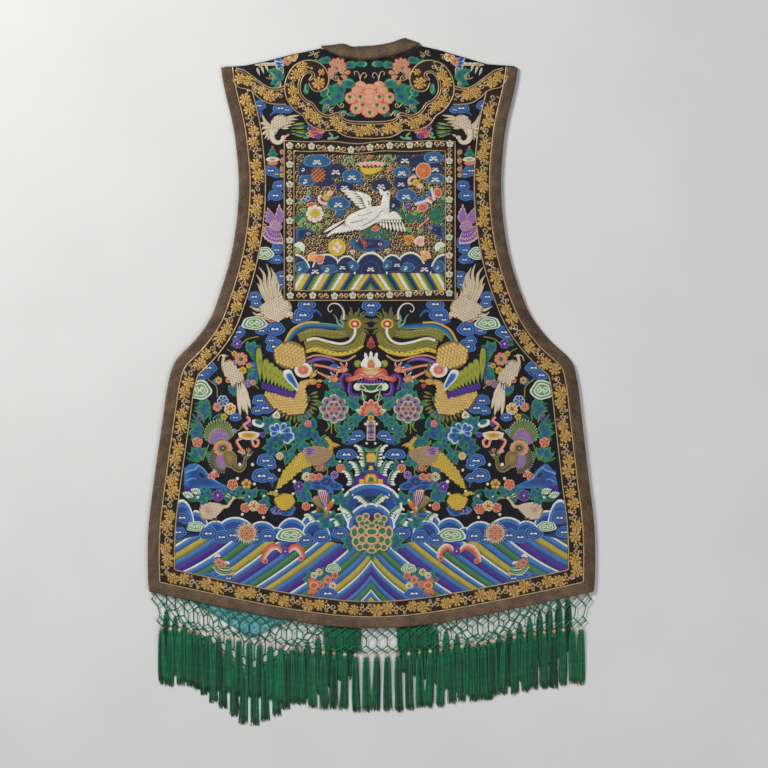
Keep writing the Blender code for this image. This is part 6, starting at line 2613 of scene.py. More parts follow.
# ---------------------------------------------------------------- net and tassels
@dataclass
class Fringe:
    """The knotted silk net under the hems and the tassels that hang from it."""

    form: VestForm
    tassels: int = 42
    spread: float = 361.0
    crowding: float = 15.4
    net_top_spread: float = 357.0
    net_high: float = 41.0
    end_drop: float = 13.0
    edge: float = 0.42
    seam: float = 1.9
    cord: float = 0.9
    knot: float = 1.5
    head_height: float = 4.25
    length: float = 96.0
    uneven: float = 2.0
    bead: float = 4.2
    knob: tuple = ((0.0, 1.6), (1.2, 3.4), (3.2, 4.7), (5.0, 4.7), (6.2, 3.9), (6.6, 4.2), (8.4, 4.8))
    skirt_top: float = 7.6
    skirt_half: float = 4.7
    flare: float = 2.6
    # above this heap a tassel lies on top; below it, it lies under and is painted darker as shade
    heaped: float = 3.0
    threads: int = 40
    tips: float = -568.8
    levels: tuple = (("peak", 0.0), ("upper", 0.19), ("fork", 0.37), ("join", 0.71), ("lower", 0.86),
                     ("foot", 1.0))
    front_levels: tuple = (("peak", 0.0), ("upper", 0.0), ("fork", 0.24), ("join", 0.71), ("lower", 0.86),
                           ("foot", 1.0))
    front_left: tuple = ((-352.0, -326.0, -366.0), (-199.0, -421.0, -474.0), (-43.0, -352.0, -392.0))
    front_right: tuple = ((45.0, -325.0, -378.0), (182.0, -378.0, -431.0), (345.0, -288.0, -340.0))
    left_columns: tuple = (0.5, 18.5)
    right_columns: tuple = (23.5, 39.5)

    def __post_init__(self) -> None:
        """Start the seeded draw that makes the threads lie unevenly."""
        self.draw = random.Random(23)

    def share(self, index: float) -> float:
        """Give a column's place from -1 at the left end to 1 at the right."""
        middle = (self.tassels - 1) / 2
        return (index - middle) / middle

    def across(self, index: float) -> float:
        """Give a tassel's place across; halves lie between the back's own."""
        s = self.share(index)
        return self.spread * s - self.crowding * s ** 5

    def back_place(self, index: float, level: float) -> tuple[float, float, float]:
        """Give a knot of the back net, at a share of the way from the hem to the heads.

        Args:
            index: The number of the knot along its row.
            level: The share of the way to the heads.

        Returns:
            The point.
        """
        s = self.share(index)
        top_x = self.net_top_spread * s
        hem = self.form.hem(top_x)
        top_y, foot_y = hem - self.seam, hem - self.net_high - self.end_drop * s ** 4
        foot_x = self.across(index)
        z = self.form.back_under + 1.0 - 0.45 * level + self.form.rise(top_x, top_y) * (1 - level)
        return top_x + (foot_x - top_x) * level, top_y + (foot_y - top_y) * level, z

    def front_place(self, rows: Sequence[tuple], index: float, level: float) -> tuple[float, float, float]:
        """Give a knot of a front's net, which lies on the surface under it.

        Args:
            rows: Places across, each with the hem's height and the tassel heads'.
            index: The number of the knot along its row.
            level: The share of the way to the heads.

        Returns:
            The point.
        """
        x = self.across(index)
        top = straight([(row[0], row[1]) for row in rows], x) - self.seam
        return x, top + (straight([(row[0], row[2]) for row in rows], x) - top) * level, 0.85

    def tube(self, work: Work, start: tuple, end: tuple, radius: float, tint: Colour) -> None:
        """Lay a cord between two knots, a little slack.

        Args:
            work: The piece that it is worked on.
            start: The first knot.
            end: The other knot.
            radius: Its radius.
            tint: Its colour.
        """
        reach = max(math.dist(start[:2], end[:2]), 1e-6)
        nx, ny = -(end[1] - start[1]) / reach, (end[0] - start[0]) / reach
        slack = self.draw.uniform(-0.06, 0.06) * reach
        rings = []
        for t in (0.0, 0.3, 0.7, 1.0):
            bow = slack * 4 * t * (1 - t)
            x, y, z = (a + (b - a) * t for a, b in zip(start, end))
            rings.append([(x + nx * (bow + radius * math.cos(2 * math.pi * j / 5)),
                           y + ny * (bow + radius * math.cos(2 * math.pi * j / 5)),
                           z + radius * math.sin(2 * math.pi * j / 5)) for j in range(5)])
        work.loft(rings, [tint] * 4, ends=False)

    def ball(self, work: Work, spot: tuple, radius: float, depth: float, tint: Colour, slot: int = 0,
             long: float = 1.0) -> None:
        """Tie a knot or thread a bead: a small round form.

        Args:
            work: The piece that it is worked on.
            spot: Where it stands.
            radius: Its radius.
            depth: Half its thickness.
            tint: Its colour.
            slot: The number of its finish.
            long: How much longer than wide it is.
        """
        x, y, z = spot
        rings = []
        for share, size in ((-0.95, 0.35), (-0.55, 0.88), (0.0, 1.0), (0.55, 0.88), (0.95, 0.35)):
            rings.append([(x + radius * size * math.cos(2 * math.pi * j / 8), y - radius * long * share,
                           z + depth * size * math.sin(2 * math.pi * j / 8)) for j in range(8)])
        work.loft(rings, [tint] * 5, slot)

    def net(self, name: str, first: float, last: float, place: Callable, back: bool,
            node_name: str) -> bpy.types.Object:
        """Knot a net and give it.

        Args:
            name: The piece's name.
            first: Its first column.
            last: Its last column.
            place: What gives a knot's place from its column and level.
            back: Whether it is the back's, with an upper row of peaks.
            node_name: The CAD node that it stands for.

        Returns:
            The net.
        """
        work = Work(self.form)
        levels = dict(self.levels if back else self.front_levels)
        whole = [first + k for k in range(round(last - first) + 1)]
        between = [first - self.edge] + [i + 0.5 for i in whole[:-1]] + [last + self.edge]
        knots = {}
        for i in whole:
            knots.update({(kind, i): place(i, levels[kind]) for kind in ("peak", "fork", "join", "foot")
                          if back or kind != "peak"})
        for k, i in enumerate(between):
            knots.update({(kind, k): place(i, levels[kind]) for kind in ("upper", "lower")
                          if kind == "lower" or back or 0 < k < len(whole)})
        tints = [blend(Silk.MOSS.value, Silk.EMERALD.value, 0.2 + 0.17 * k) for k in range(5)]
        for k, i in enumerate(whole):
            ties = [(("fork", i), ("join", i))]
            for side in (k, k + 1):
                ties += [(("peak", i), ("upper", side))] if back else []
                ties += [(("upper", side), ("fork", i))] if ("upper", side) in knots else []
                ties += [(("join", i), ("lower", side)), (("lower", side), ("foot", i))]
            for a, b in ties:
                self.tube(work, knots[a], knots[b], self.cord, self.draw.choice(tints))
        for x, y, z in knots.values():
            self.ball(work, (x, y, z), self.knot, 0.75, self.draw.choice(tints), long=1.25)
        return work.finish(name, [GREEN_SILK], "green_silk", [node_name])

    def tassel(self, work: Work, x: float, top: float, z: float, length: float, flat: float) -> None:
        """Make a tassel: bead, bound knob and a skirt of threads; where it lies under the back's tassels, its
        threads and bead are painted darker as shade.

        Args:
            work: The piece that it belongs to.
            x: Its place across.
            top: The height where it hangs from.
            z: The height of its head over the surface that it lies on.
            length: From its top to its tips.
            flat: How high the threads heap up over the surface; a low heap marks a tassel under the back's,
                painted darker as shade.
        """
        draw, green, on_top = self.draw, Silk.JADE.value, flat > self.heaped
        lean = draw.uniform(-2.2, 2.2)
        # beads of tassels that lie under the back's are painted dark as shade; those on top are pale
        pale, dark = (Silk.PEACH, Silk.IVORY, Silk.BLUSH, Silk.SAND), (Silk.MOSS, Silk.BOTTLE, Silk.BARK)
        bead = draw.choice(pale if on_top else dark).value
        self.ball(work, (x, top - self.bead / 2, z), 3.3, min(2.6, z * 0.9), bead, 1)
        rings = []
        for down, radius in self.knob:
            sunk, thick = z * (1 - 0.25 * down / self.knob[-1][0]), min(radius * 0.62, z * 0.85)
            rings.append([(x + radius * math.cos(2 * math.pi * j / 10), top - self.bead - down,
                           sunk + thick * math.sin(2 * math.pi * j / 10)) for j in range(10)])
        # the ring at the knob's pinched waist is painted darker: painted shade in its groove
        work.loft(rings, [green, green, green, green, blend(green, Silk.INK.value, 0.55), green, green])
        root, reach = top - self.bead - self.skirt_top, length - self.bead - self.skirt_top
        # tassels that lie under the back's have their threads painted darker, as shade
        tones = [draw.choice((0.0, 0.3, 0.55, 0.85)) + (0.0 if on_top else 0.15) for _ in range(7)]
        clumps = [blend(Silk.EMERALD.value, Silk.MOSS.value, tone) for tone in tones]
        for k in range(self.threads):
            angle = GOLDEN_ANGLE * k
            radius = math.sqrt((k + 0.5) / self.threads)
            u, w = radius * math.cos(angle), radius * math.sin(angle)
            end = reach * draw.uniform(0.9, 1.0)
            wave, turn, stray = draw.uniform(0.1, 0.8), draw.uniform(0, 6.28), draw.uniform(-1.6, 1.6)
            base = clumps[int((u + 1) * 3.2)]
            rings, tints = [], []
            for j in range(7):
                t = j / 6
                half = self.skirt_half + self.flare * t ** 0.7
                px = x + u * half + lean * t * t + stray * t ** 4 + wave * math.sin(turn + 5.0 * t) * t
                sunk = (1 - t) ** 1.6
                pz = (z + w * 1.8) * sunk + (0.55 + flat * (0.5 + 0.5 * w) * (1 - 0.5 * t)) * (1 - sunk)
                size = 0.62 if t < 0.9 else 0.34
                py = root - end * t
                rings.append([(px - size, py, max(pz - 0.3, 0.05)), (px, py, max(pz + size, 0.8)),
                              (px + size, py, max(pz - 0.3, 0.05))][::-1])
                tints.append(blend(base, Silk.OLIVE.value, 0.0 if t < 0.7 else 0.5 * (t - 0.7)))
            work.loft(rings, tints)

    def loose_threads(self) -> bpy.types.Object:
        """Lay the loose ends that hang over the net from under the hem, near the middle.

        Returns:
            The piece.
        """
        work = Work(self.form)
        for start, end, count in ((-78.0, -17.0, 96), (43.0, 101.0, 96)):
            for k in range(count):
                x = start + (end - start) * k / (count - 1) + self.draw.uniform(-0.5, 0.5)
                top = self.form.hem(x) - 1.0
                low = top - 38.0 + self.draw.uniform(-4, 3)
                base = blend(Silk.EMERALD.value, Silk.MOSS.value, self.draw.uniform(0, 0.8))
                drift = self.draw.uniform(-2.5, 2.5)
                rings = []
                for j in range(4):
                    t = j / 3
                    px, pz = x + drift * t * t, 2.6 + self.draw.uniform(0, 0.5)
                    rings.append([(px + 0.5, top + (low - top) * t, pz - 0.4),
                                  (px, top + (low - top) * t, pz + 0.5),
                                  (px - 0.5, top + (low - top) * t, pz - 0.4)])
                work.loft(rings, [base] * 4)
        return work.finish("loose_green_threads", [GREEN_SILK], "green_silk")

    def build(self) -> list[bpy.types.Object]:
        """Make the three nets, the back's tassels and the fronts'.

        Returns:
            The pieces.
        """
        made = [self.net("silk_net_back", 0, self.tassels - 1, self.back_place, True, "net_back")]
        work = Work(self.form)
        for k in range(self.tassels):
            x, foot, _ = self.back_place(k, 1.0)
            length = self.length + self.uneven * math.sin(1.7 * k)
            self.tassel(work, x, foot - self.seam, self.head_height, length, 4.2)
        names = [f"tassel_{k + 1:02d}" for k in range(self.tassels)]
        made.append(work.finish("silk_tassels", [GREEN_SILK, GLASS_BEAD], "green_silk", names))
        for side, rows, (first, last) in (("left", self.front_left, self.left_columns),
                                          ("right", self.front_right, self.right_columns)):
            def place(index: float, level: float, rows: tuple = rows) -> tuple[float, float, float]:
                """Give a knot of this front's net."""
                return self.front_place(rows, index, level)
            made.append(self.net(f"silk_net_{side}", first, last, place, False, f"net_front_{side}"))
            work = Work(self.form)
            for k in range(round(last - first) + 1):
                x, foot, _ = place(first + k, 1.0)
                length = min(self.length + self.uneven * math.sin(1.7 * x), foot - self.seam - self.tips)
                self.tassel(work, x, foot - self.seam, 1.5, length, 1.7)
            made.append(work.finish(f"silk_tassels_{side}", [GREEN_SILK, GLASS_BEAD], "green_silk",
                                    [f"fringe_front_{side}"]))
        made.append(self.loose_threads())
        return made


# ---------------------------------------------------------------- the field's motifs
@dataclass
class CloudBanks:
    """The blue clouds and the green-and-white curls that fill the field, the same on both sides."""

    form: VestForm
    lobes: tuple = ((-186, 457, 0.9), (-150, 453, 1.0), (-139, 450, 0.7), (-166, 350, 1.0), (-156, 344, 0.7),
                    (-152, 325, 0.9), (-158, 309, 1.0), (-151, 230, 1.0), (-156, 219, 0.8), (-155, 203, 0.8),
                    (-147, 176, 0.9), (-151, 162, 0.8), (-193, 142, 0.9), (-190, 131, 0.7), (-107, 130, 1.15),
                    (-113, 112, 1.25), (-121, 104, 0.8), (-159, 89, 1.25), (-181, 86, 0.8), (-158, 60, 1.2),
                    (-165, 70, 0.8), (-220, 84, 1.1), (-226, 76, 0.7), (-269, 25, 1.1), (-282, 13, 1.0),
                    (-184, -29, 1.0), (-175, -41, 1.15), (-188, -46, 0.8), (-224, -57, 0.75),
                    (-174, -128, 1.2), (-167, -136, 0.8), (-181, -153, 1.3), (-166, -157, 0.8),
                    (-22, -87, 0.9), (-30, -93, 0.75), (-61, 24, 0.7), (-129, 24, 0.5), (-197, 28, 0.6),
                    (-254, 2, 0.6))
    tails: tuple = (
        ((-150, 450), (-163, 444), (-167, 440)), ((-152, 320), (-163, 306), (-172, 300)),
        ((-155, 200), (-166, 199), (-172, 204)), ((-107, 112), (-93, 119), (-84, 113), (-82, 108)),
        ((-164, 86), (-178, 82), (-187, 85)), ((-164, 72), (-170, 76), (-165, 80)),
        ((-262, 18), (-272, 8), (-280, 2)), ((-176, -45), (-190, -52), (-196, -46)),
        ((-172, -157), (-165, -163), (-163, -173)), ((-24, -92), (-38, -101), (-50, -97)),
        ((-186, 452), (-181, 441), (-187, 436)))
    swirls: tuple = ((-193, 98, 1.45, 0.8), (-283, -12, 1.35, 1.25), (-290, -237, 1.15, 0.75),
                     (-133, -251, 1.7, 0.7), (-177, 213, 1.1, 1.0))

    def build(self) -> list[bpy.types.Object]:
        """Work the clouds and the curls.

        Returns:
            The pieces.
        """
        blue, green = Work(self.form, 0.05, INNER), Work(self.form, 0.4, INNER)
        for side in SIDES:
            needle = Needle(blue)
            for path in self.tails:
                line = flow(path, 3.0)
                halves = [3.4 * (1 - 0.75 * k / (len(line) - 1)) for k in range(len(line))]
                blue.ribbon(side, line, halves, [(-1, Silk.SKY), (-0.4, Silk.ROYAL), (0.4, Silk.ROYAL),
                                                 (1, Silk.SKY)],
                            0.4, 0.05)
            for k, (x, y, size) in enumerate(self.lobes):
                needle.cloud_lobe(side.at(x, y), 13.0 * size, 9.2 * size, layer=0.1 + 0.07 * (k % 3))
            for x, y, size, tall in self.swirls:
                place = side.at(x, y)
                Needle(green).swirl(Place(place.a * size, 0.0, 0.0, place.d * size * tall, place.x, place.y))
            needle.cloud_lobe(side.at(-41, -118), 17.5, 9.0)
        for x, y, size in ((AXIS, 128, 1.2), (AXIS, 116, 0.7)):
            Needle(blue).cloud_lobe(Place().at(x, y), 13 * size, 9 * size)
        return [blue.finish("blue_clouds", [FLOSS], "navy_satin"),
                green.finish("green_cloud_curls", [FLOSS], "navy_satin")]


@dataclass
class Garden:
    """Leaves, stems, flowers and pearls over the field, the same on both sides."""

    form: VestForm
    leaf_sprays: tuple = ((-57, -12, 4, 18, 130, 40, Dye.LEAF), (-34, -34, 4, 19, 150, -30, Dye.LEAF),
                          (-40, -82, 5, 22, 200, 60, Dye.LEAF), (-84, -102, 4, 20, 160, 0, Dye.LEAF),
                          (-112, -34, 4, 18, 150, 30, Dye.LEAF), (-62, -44, 8, 35, 330, 0, Dye.DEEP_LEAF),
                          (-148, -86, 7, 30, 300, 20, Dye.DEEP_LEAF), (-120, -78, 5, 24, 220, 200, Dye.LEAF),
                          (-96, -78, 4, 26, 200, 100, Dye.DEEP_LEAF), (-105, -58, 4, 20, 160, 60, Dye.LEAF),
                          (-165, -70, 4, 22, 150, 70, Dye.LEAF), (-160, -106, 4, 23, 150, 120, Dye.DEEP_LEAF),
                          (-116, -100, 4, 20, 200, 150, Dye.LEAF), (-136, -118, 4, 20, 240, 200, Dye.LEAF),
                          (-30, -56, 3, 19, 120, 200, Dye.LEAF), (-15, -52, 3, 18, 100, 100, Dye.LEAF),
                          (-66, 0, 4, 17, 140, 10, Dye.LEAF), (-200, 50, 4, 22, 110, -40, Dye.LEAF),
                          (-199, 16, 4, 22, 110, -130, Dye.LEAF), (-232, 70, 3, 12, 120, 20, Dye.LEAF),
                          (-270, -45, 5, 22, 150, 80, Dye.LEAF), (-226, -18, 4, 20, 110, -20, Dye.LEAF),
                          (-280, -82, 5, 24, 140, 90, Dye.LEAF), (-284, -122, 4, 22, 110, 20, Dye.LEAF),
                          (-264, -130, 3, 18, 80, -10, Dye.LEAF), (-272, -190, 5, 22, 220, 40, Dye.LEAF),
                          (-240, -184, 4, 20, 200, -60, Dye.LEAF), (-222, -174, 3, 18, 120, 200, Dye.LEAF),
                          (-196, -190, 4, 22, 160, 60, Dye.LEAF), (-170, -196, 3, 20, 120, 100, Dye.LEAF),
                          (-118, -190, 3, 20, 120, -40, Dye.LEAF), (-104, -178, 4, 24, 160, 90, Dye.LEAF),
                          (-70, -134, 5, 20, 200, 20, Dye.LEAF), (-104, -148, 4, 18, 200, 100, Dye.LEAF),
                          (-44, -142, 4, 17, 200, -40, Dye.LEAF), (-52, -200, 4, 24, 140, -30, Dye.LEAF),
                          (-30, -190, 3, 16, 100, 30, Dye.LEAF), (-66, -232, 4, 26, 120, -70, Dye.DEEP_LEAF),
                          (-110, -182, 3, 22, 80, 180, Dye.LEAF), (-150, 18, 3, 14, 90, 200, Dye.LEAF),
                          (-95, -325, 6, 20, 260, 60, Dye.LEAF), (-72, -318, 4, 18, 200, 0, Dye.LEAF))
    grasses: tuple = (
        (-200, 44, 7, 24, 150, -60), (-204, 22, 6, 22, 120, -110), (-266, -36, 7, 27, 140, 110),
        (-284, -70, 6, 22, 120, 90), (-287, -132, 6, 26, 110, 10), (-262, -132, 5, 22, 90, -25),
        (-229, -22, 5, 20, 100, -30), (-250, -50, 5, 16, 120, 190), (-206, -128, 4, 20, 70, 0),
        (-118, -52, 4, 14, 120, -120), (-176, -176, 4, 16, 120, 160), (-64, -196, 5, 20, 120, 0),
        (-300, -196, 5, 22, 120, -20), (-230, 60, 4, 16, 90, 20))
    stems: tuple = (
        ((-250, 60), (-236, 54), (-222, 44)), ((-186, 76), (-204, 72), (-216, 62)),
        ((-270, 6), (-262, 0), (-255, -8), (-254, -24)), ((-206, 6), (-196, 0), (-186, -10)),
        ((-292, -46), (-280, -52), (-276, -66)), ((-280, -128), (-286, -112), (-284, -100)),
        ((-278, -128), (-272, -112), (-268, -102)), ((-230, -80), (-218, -78), (-210, -66)),
        ((-72, -66), (-70, -74), (-76, -80)), ((-60, -66), (-60, -76), (-56, -82)),
        ((-66, -66), (-66, -78), (-66, -84)), ((-100, -95), (-94, -104), (-96, -112)),
        ((-122, -66), (-130, -76), (-142, -82)), ((-146, -96), (-142, -104), (-140, -112)),
        ((-78, -136), (-72, -146), (-76, -156)), ((-96, -136), (-90, -144), (-84, -142)))
    blossoms: tuple = (
        (-215, 39, 11.5, Dye.PEACH, 8, Silk.JADE), (-221, 64, 8.0, Dye.PURPLE, 5, Silk.WHITE),
        (-228, 31, 5.5, Dye.BLUE, 5, Silk.SKY), (-212, 20, 7.0, Dye.STRAW, 6, Silk.AMBER),
        (-226, 48, 5.0, Dye.STRAW, 5, Silk.AMBER), (-202, 28, 5.0, Dye.STRAW, 5, Silk.AMBER),
        (-245, -30, 9.5, Dye.BLUE, 6, Silk.STRAW), (-233, -43, 10.0, Dye.YELLOW, 6, Silk.CORAL),
        (-254, -40, 8.0, Dye.PEACH, 5, Silk.AMBER), (-243, -56, 6.0, Dye.STRAW, 5, Silk.AMBER),
        (-204, -2, 6.0, Dye.LILAC, 5, Silk.STRAW), (-252, 4, 6.5, Dye.GOLD, 6, Silk.CORAL),
        (-236, 4, 5.0, Dye.PEACH, 5, Silk.AMBER), (-195, 0, 5.0, Dye.PEACH, 5, Silk.AMBER),
        (-287, -98, 8.5, Dye.CORAL, 5, Silk.STRAW), (-253, -186, 10.0, Dye.PURPLE, 8, Silk.STRAW),
        (-229, -168, 9.0, Dye.CORAL, 5, Silk.STRAW), (-206, -167, 9.0, Dye.GOLD, 5, Silk.CORAL),
        (-208, -206, 8.0, Dye.CORAL, 5, Silk.AMBER), (-194, -203, 9.0, Dye.YELLOW, 6, Silk.CORAL),
        (-180, -208, 9.0, Dye.CORAL, 6, Silk.STRAW), (-51, -141, 7.5, Dye.CORAL, 6, Silk.STRAW),
        (-107, -155, 7.5, Dye.CREAM, 6, Silk.CORAL), (-97, -156, 7.5, Dye.PEACH, 6, Silk.AMBER),
        (-86, -155, 6.0, Dye.CORAL, 5, Silk.AMBER), (-61, -152, 6.5, Dye.LILAC, 5, Silk.PLUM),
        (-120, -171, 8.5, Dye.PURPLE, 6, Silk.BLUSH), (-85, -140, 6.0, Dye.CORAL, 5, Silk.STRAW),
        (-105, -68, 6.0, Dye.CORAL, 5, Silk.BLUSH), (-151, -121, 6.5, Dye.YELLOW, 6, Silk.WHITE),
        (-179, -86, 5.0, Dye.PURPLE, 5, Silk.PLUM), (-201, -68, 4.5, Dye.PURPLE, 5, Silk.PLUM),
        (-284, -60, 5.0, Dye.PURPLE, 5, Silk.PLUM), (-226, -80, 4.0, Dye.BLUE, 5, Silk.WHITE),
        (-108, -204, 7.0, Dye.CORAL, 6, Silk.STRAW), (-130, 538, 9.0, Dye.YELLOW, 6, Silk.CORAL),
        (-139, 530, 7.5, Dye.PEACH, 5, Silk.AMBER), (-95, -318, 6.0, Dye.CREAM, 6, Silk.AMBER),
        (-72, -325, 8.0, Dye.PEACH, 6, Silk.CORAL), (-84, -333, 6.5, Dye.CORAL, 6, Silk.STRAW),
        (-64, -335, 6.5, Dye.CREAM, 6, Silk.CORAL), (-86, -312, 6.0, Dye.YELLOW, 6, Silk.CORAL),
        (-232, -318, 5.0, Dye.STRAW, 6, Silk.AMBER))
    pearls: tuple = ((-217, -135, 3.2), (-196, -135, 2.8), (-152, -144, 2.6), (-36, -76, 2.2),
                     (-10, -68, 2.4), (-8, -100, 2.2), (-22, -123, 2.4), (-52, -130, 2.2), (-221, -158, 2.8),
                     (-193, -167, 2.6), (-157, -179, 2.8), (-129, -183, 2.6), (-85, -177, 2.6),
                     (-177, -187, 2.6), (-202, -188, 2.8), (-286, -189, 2.8), (-127, -163, 3.2),
                     (-98, -202, 2.4), (-63, -194, 2.6), (-178, -222, 2.6), (-213, -217, 2.6),
                     (-258, -145, 3.0), (-31, -185, 2.2), (-47, -176, 2.2))

    def build(self) -> list[bpy.types.Object]:
        """Work the leaves, the flowers over them and the pearls.

        Returns:
            The pieces.
        """
        green, bright = Work(self.form, 0.1, INNER), Work(self.form, 0.4, INNER)
        for side in SIDES:
            leafing, flowering = Needle(green), Needle(bright)
            for path in self.stems:
                leafing.twig(side, path, 0.95, Silk.LIME)
            for x, y, count, reach, spread, turn in self.grasses:
                leafing.blades(side.at(x, y, turn), count, reach, spread, 0.1)
            for x, y, count, reach, spread, turn, dye in self.leaf_sprays:
                leafing.leaves(side.at(x, y, turn), count, reach, spread, dye, 0.3)
            for x, y, radius, dye, petals, heart in self.blossoms:
                flowering.blossom(side.at(x, y, 30 + 11 * (round(x) % 5)), radius, dye, petals, heart, 0.45)
            for x, y, radius in self.pearls:
                flowering.pearl(side, x, y, radius)
            self.grey_peony(flowering, side.at(-62, -43))
            self.blue_flower(flowering, side.at(-151, -82))
        return [green.finish("leaves_and_stems", [FLOSS], "navy_satin"),
                bright.finish("field_flowers", [FLOSS], "navy_satin")]

    def grey_peony(self, needle: Needle, place: Place) -> None:
        """Work the grey-purple peony: eight petals with pale rims and dark eyes, and a coral heart.

        Args:
            needle: What works the motifs.
            place: Where it is worked.
        """
        for ring, (radius, size, count) in enumerate(((16.5, 9.6, 8), (8.6, 6.6, 6))):
            for k in range(count):
                spot = place.at(0, 0, 360 * (k + 0.5 * ring) / count).at(0, radius)
                needle.work.patch(spot, oval(size * 0.86, size * 0.8, 12), Dye.GREY.value, 0.6,
                                  0.4 + 0.35 * ring)
                needle.work.patch(spot.at(0, -size * 0.1), oval(size * 0.34, size * 0.26, 8),
                                  [(0, Silk.SAND), (0.3, Silk.PLUM), (1, Silk.INK)], 0.3, 0.95 + 0.35 * ring)
        needle.blossom(place, 5.5, Dye.PEACH, 6, Silk.CORAL, 1.2)

    def blue_flower(self, needle: Needle, place: Place) -> None:
        """Work the blue flower with white-tipped petals that hang to the right.

        Args:
            needle: What works the motifs.
            place: Where it is worked.
        """
        for turn, reach in ((60, 20), (25, 17), (-30, 18), (-75, 20), (-110, 26), (-135, 24), (100, 16)):
            needle.work.patch(place.at(0, 0, turn), petal(reach, reach * 0.55, 0.75), Dye.BLUE.value, 0.6,
                              0.5)
        needle.work.patch(place.at(4, -8), oval(7, 6, 10), Dye.DEEP_LEAF.value, 0.6, 0.95)


@dataclass
class YokeFilling:
    """What the cloud collar frames: a great peony with leaves, two pairs of lotuses and gilt tendrils."""

    form: VestForm
    centre: float = YOKE_AXIS
    leaves: tuple = ((-66, 533, 25, 13, 98, 0.3), (-88, 533, 14, 8, 130, 0.5), (-7, 526, 22, 12, 92, 0.7),
                     (-24, 525, 24, 14, 96, 0.6), (-27, 494, 25, 18, 96, 0.3), (-40, 500, 14, 10, 40, 0.3),
                     (-42, 482, 30, 22, 80, 0.2), (-44, 476, 34, 24, 112, 0.3), (-52, 466, 36, 18, 98, 0.6),
                     (-62, 480, 22, 15, 60, 0.3), (-76, 470, 20, 13, 20, 0.5), (-70, 462, 22, 12, 150, 0.5),
                     (-108, 475, 19, 10, -4, 0.5), (-146, 500, 26, 18, 40, 0.3), (-150, 496, 30, 17, 8, 0.3),
                     (-152, 508, 22, 14, 70, 0.4), (-148, 502, 22, 14, 120, 0.6),
                     (-153, 494, 16, 11, 160, 0.6), (-40, 446, 18, 9, 96, 0.5), (-24, 442, 18, 8, 88, 0.5))
    strokes: tuple = (((-75, 487), (-70, 482), (-73, 475), (-67, 467)),
                      ((-108, 492), (-109, 484), (-105, 478)), ((-12, 529), (-8, 525), (-13, 521)),
                      ((-166, 512), (-160, 506), (-163, 499)), ((-48, 497), (-40, 500), (-32, 497)))
    curls: tuple = ((-66, 502, -30, 4.6), (-146, 509, 80, 4.2), (-174, 503, -20, 4.4), (-80, 456, -35, 4.0),
                    (-62, 454, 205, 4.0), (-57, 460, -50, 4.6), (-38, 440, 130, 4.8), (-104, 539, 15, 4.2),
                    (-86, 545, 200, 4.0), (-152, 486, 60, 3.8), (-186, 520, 20, 3.6), (-120, 541, 190, 3.8))

    def build(self) -> list[bpy.types.Object]:
        """Work the filling from its leaves up to its peony and tendrils.

        Returns:
            The pieces.
        """
        floss, gilt = Work(self.form, 0.1, 20.0), Work(self.form, 0.7, 20.0)
        hand = GiltOrnament(gilt, cord_half=1.05)
        needle = Needle(floss)
        for side in both_sides(self.centre):
            for k, (x, y, length, width, turn, heart) in enumerate(self.leaves):
                needle.work.patch(side.at(x, y, turn), leaf_shape(length, width, 0.1), Dye.SHADED.value, 0.6,
                                  0.1 + 0.07 * (k % 6), centre=(0.0, heart * length))
            for line in self.strokes:
                floss.ribbon(side, flow(line, 2.5), 1.5, [(-1, Silk.JADE), (0, Silk.MINT), (1, Silk.EMERALD)],
                             0.5, 0.6)
            needle.lotus(side.at(-58, 518, -38), 20, Dye.PEACH, 0.5)
            needle.lotus(side.at(-60, 509, 50), 15, Dye.PEACH, 0.5)
            for u, v, turn in ((-52, 506, -110), (-56, 502, -150), (-47, 510, -80)):
                needle.work.patch(side.at(u, v, turn), petal(13, 8, 0.6), Dye.PEACH.value, 0.6, 0.8)
            needle.blades(side.at(-60, 512, 150), 4, 11, 100, 0.5)
            for k in range(3):
                needle.work.patch(side.at(-143, 527 - 2 * k, 62 + 20 * k), petal(21 - 3 * k, 9, 0.5),
                                  Dye.BLUE.value, 0.5, 0.5 + 0.06 * k)
            for k in range(5):
                needle.work.patch(side.at(-193 + 7 * k, 523.5, -78), petal(13, 5.5, 0.5), Dye.CREAM.value,
                                  0.5, 0.4 + 0.03 * k)
            for k in range(3):
                needle.work.patch(side.at(-184 + 7 * k, 506 + 3 * k, 20), petal(14, 4, 0.4), Dye.CREAM.value,
                                  0.4, 0.3)
            for x, y, turn, size in self.curls:
                hand.hook(side.at(x, y, turn), size, 1)
            gilt.cord(side, flow([(-18, 490), (-18, 504), (-12, 511), (-8, 506), (-12, 502)], 2), 1.0,
                      Silk.PALE_GILT, 0.2)
            gilt.cord(side, flow([(-18, 498), (-22, 512), (-28, 512), (-27, 507)], 2), 0.9, Silk.PALE_GILT,
                      0.2)
            for x, y, dye in ((-98, 421, Dye.PURPLE), (-92, 417, Dye.CORAL), (-84, 416, Dye.PEACH),
                              (-96, 411, Dye.CORAL), (-88, 409, Dye.PURPLE)):
                needle.blossom(side.at(x, y), 7.5, dye, 6, Silk.CORAL, 0.5)
            for path in (((-106, 420), (-102, 414), (-108, 410), (-103, 405), (-112, 404)),
                         ((-70, 412), (-64, 406), (-72, 402), (-60, 403), (-54, 406))):
                floss.ribbon(side, flow(path, 2.5), 1.8, [(-1, Silk.MOSS), (0, Silk.MINT), (1, Silk.JADE)],
                             0.4, 0.4)
        flower = Work(self.form, 0.5)
        self.great_peony(Needle(flower), Place().at(self.centre + 0.4, 466.5))
        return [floss.finish("yoke_leaves", [FLOSS], "navy_satin"),
                gilt.finish("yoke_tendrils", [GILT_THREAD], "navy_satin"),
                flower.finish("great_peony", [FLOSS], "navy_satin")]

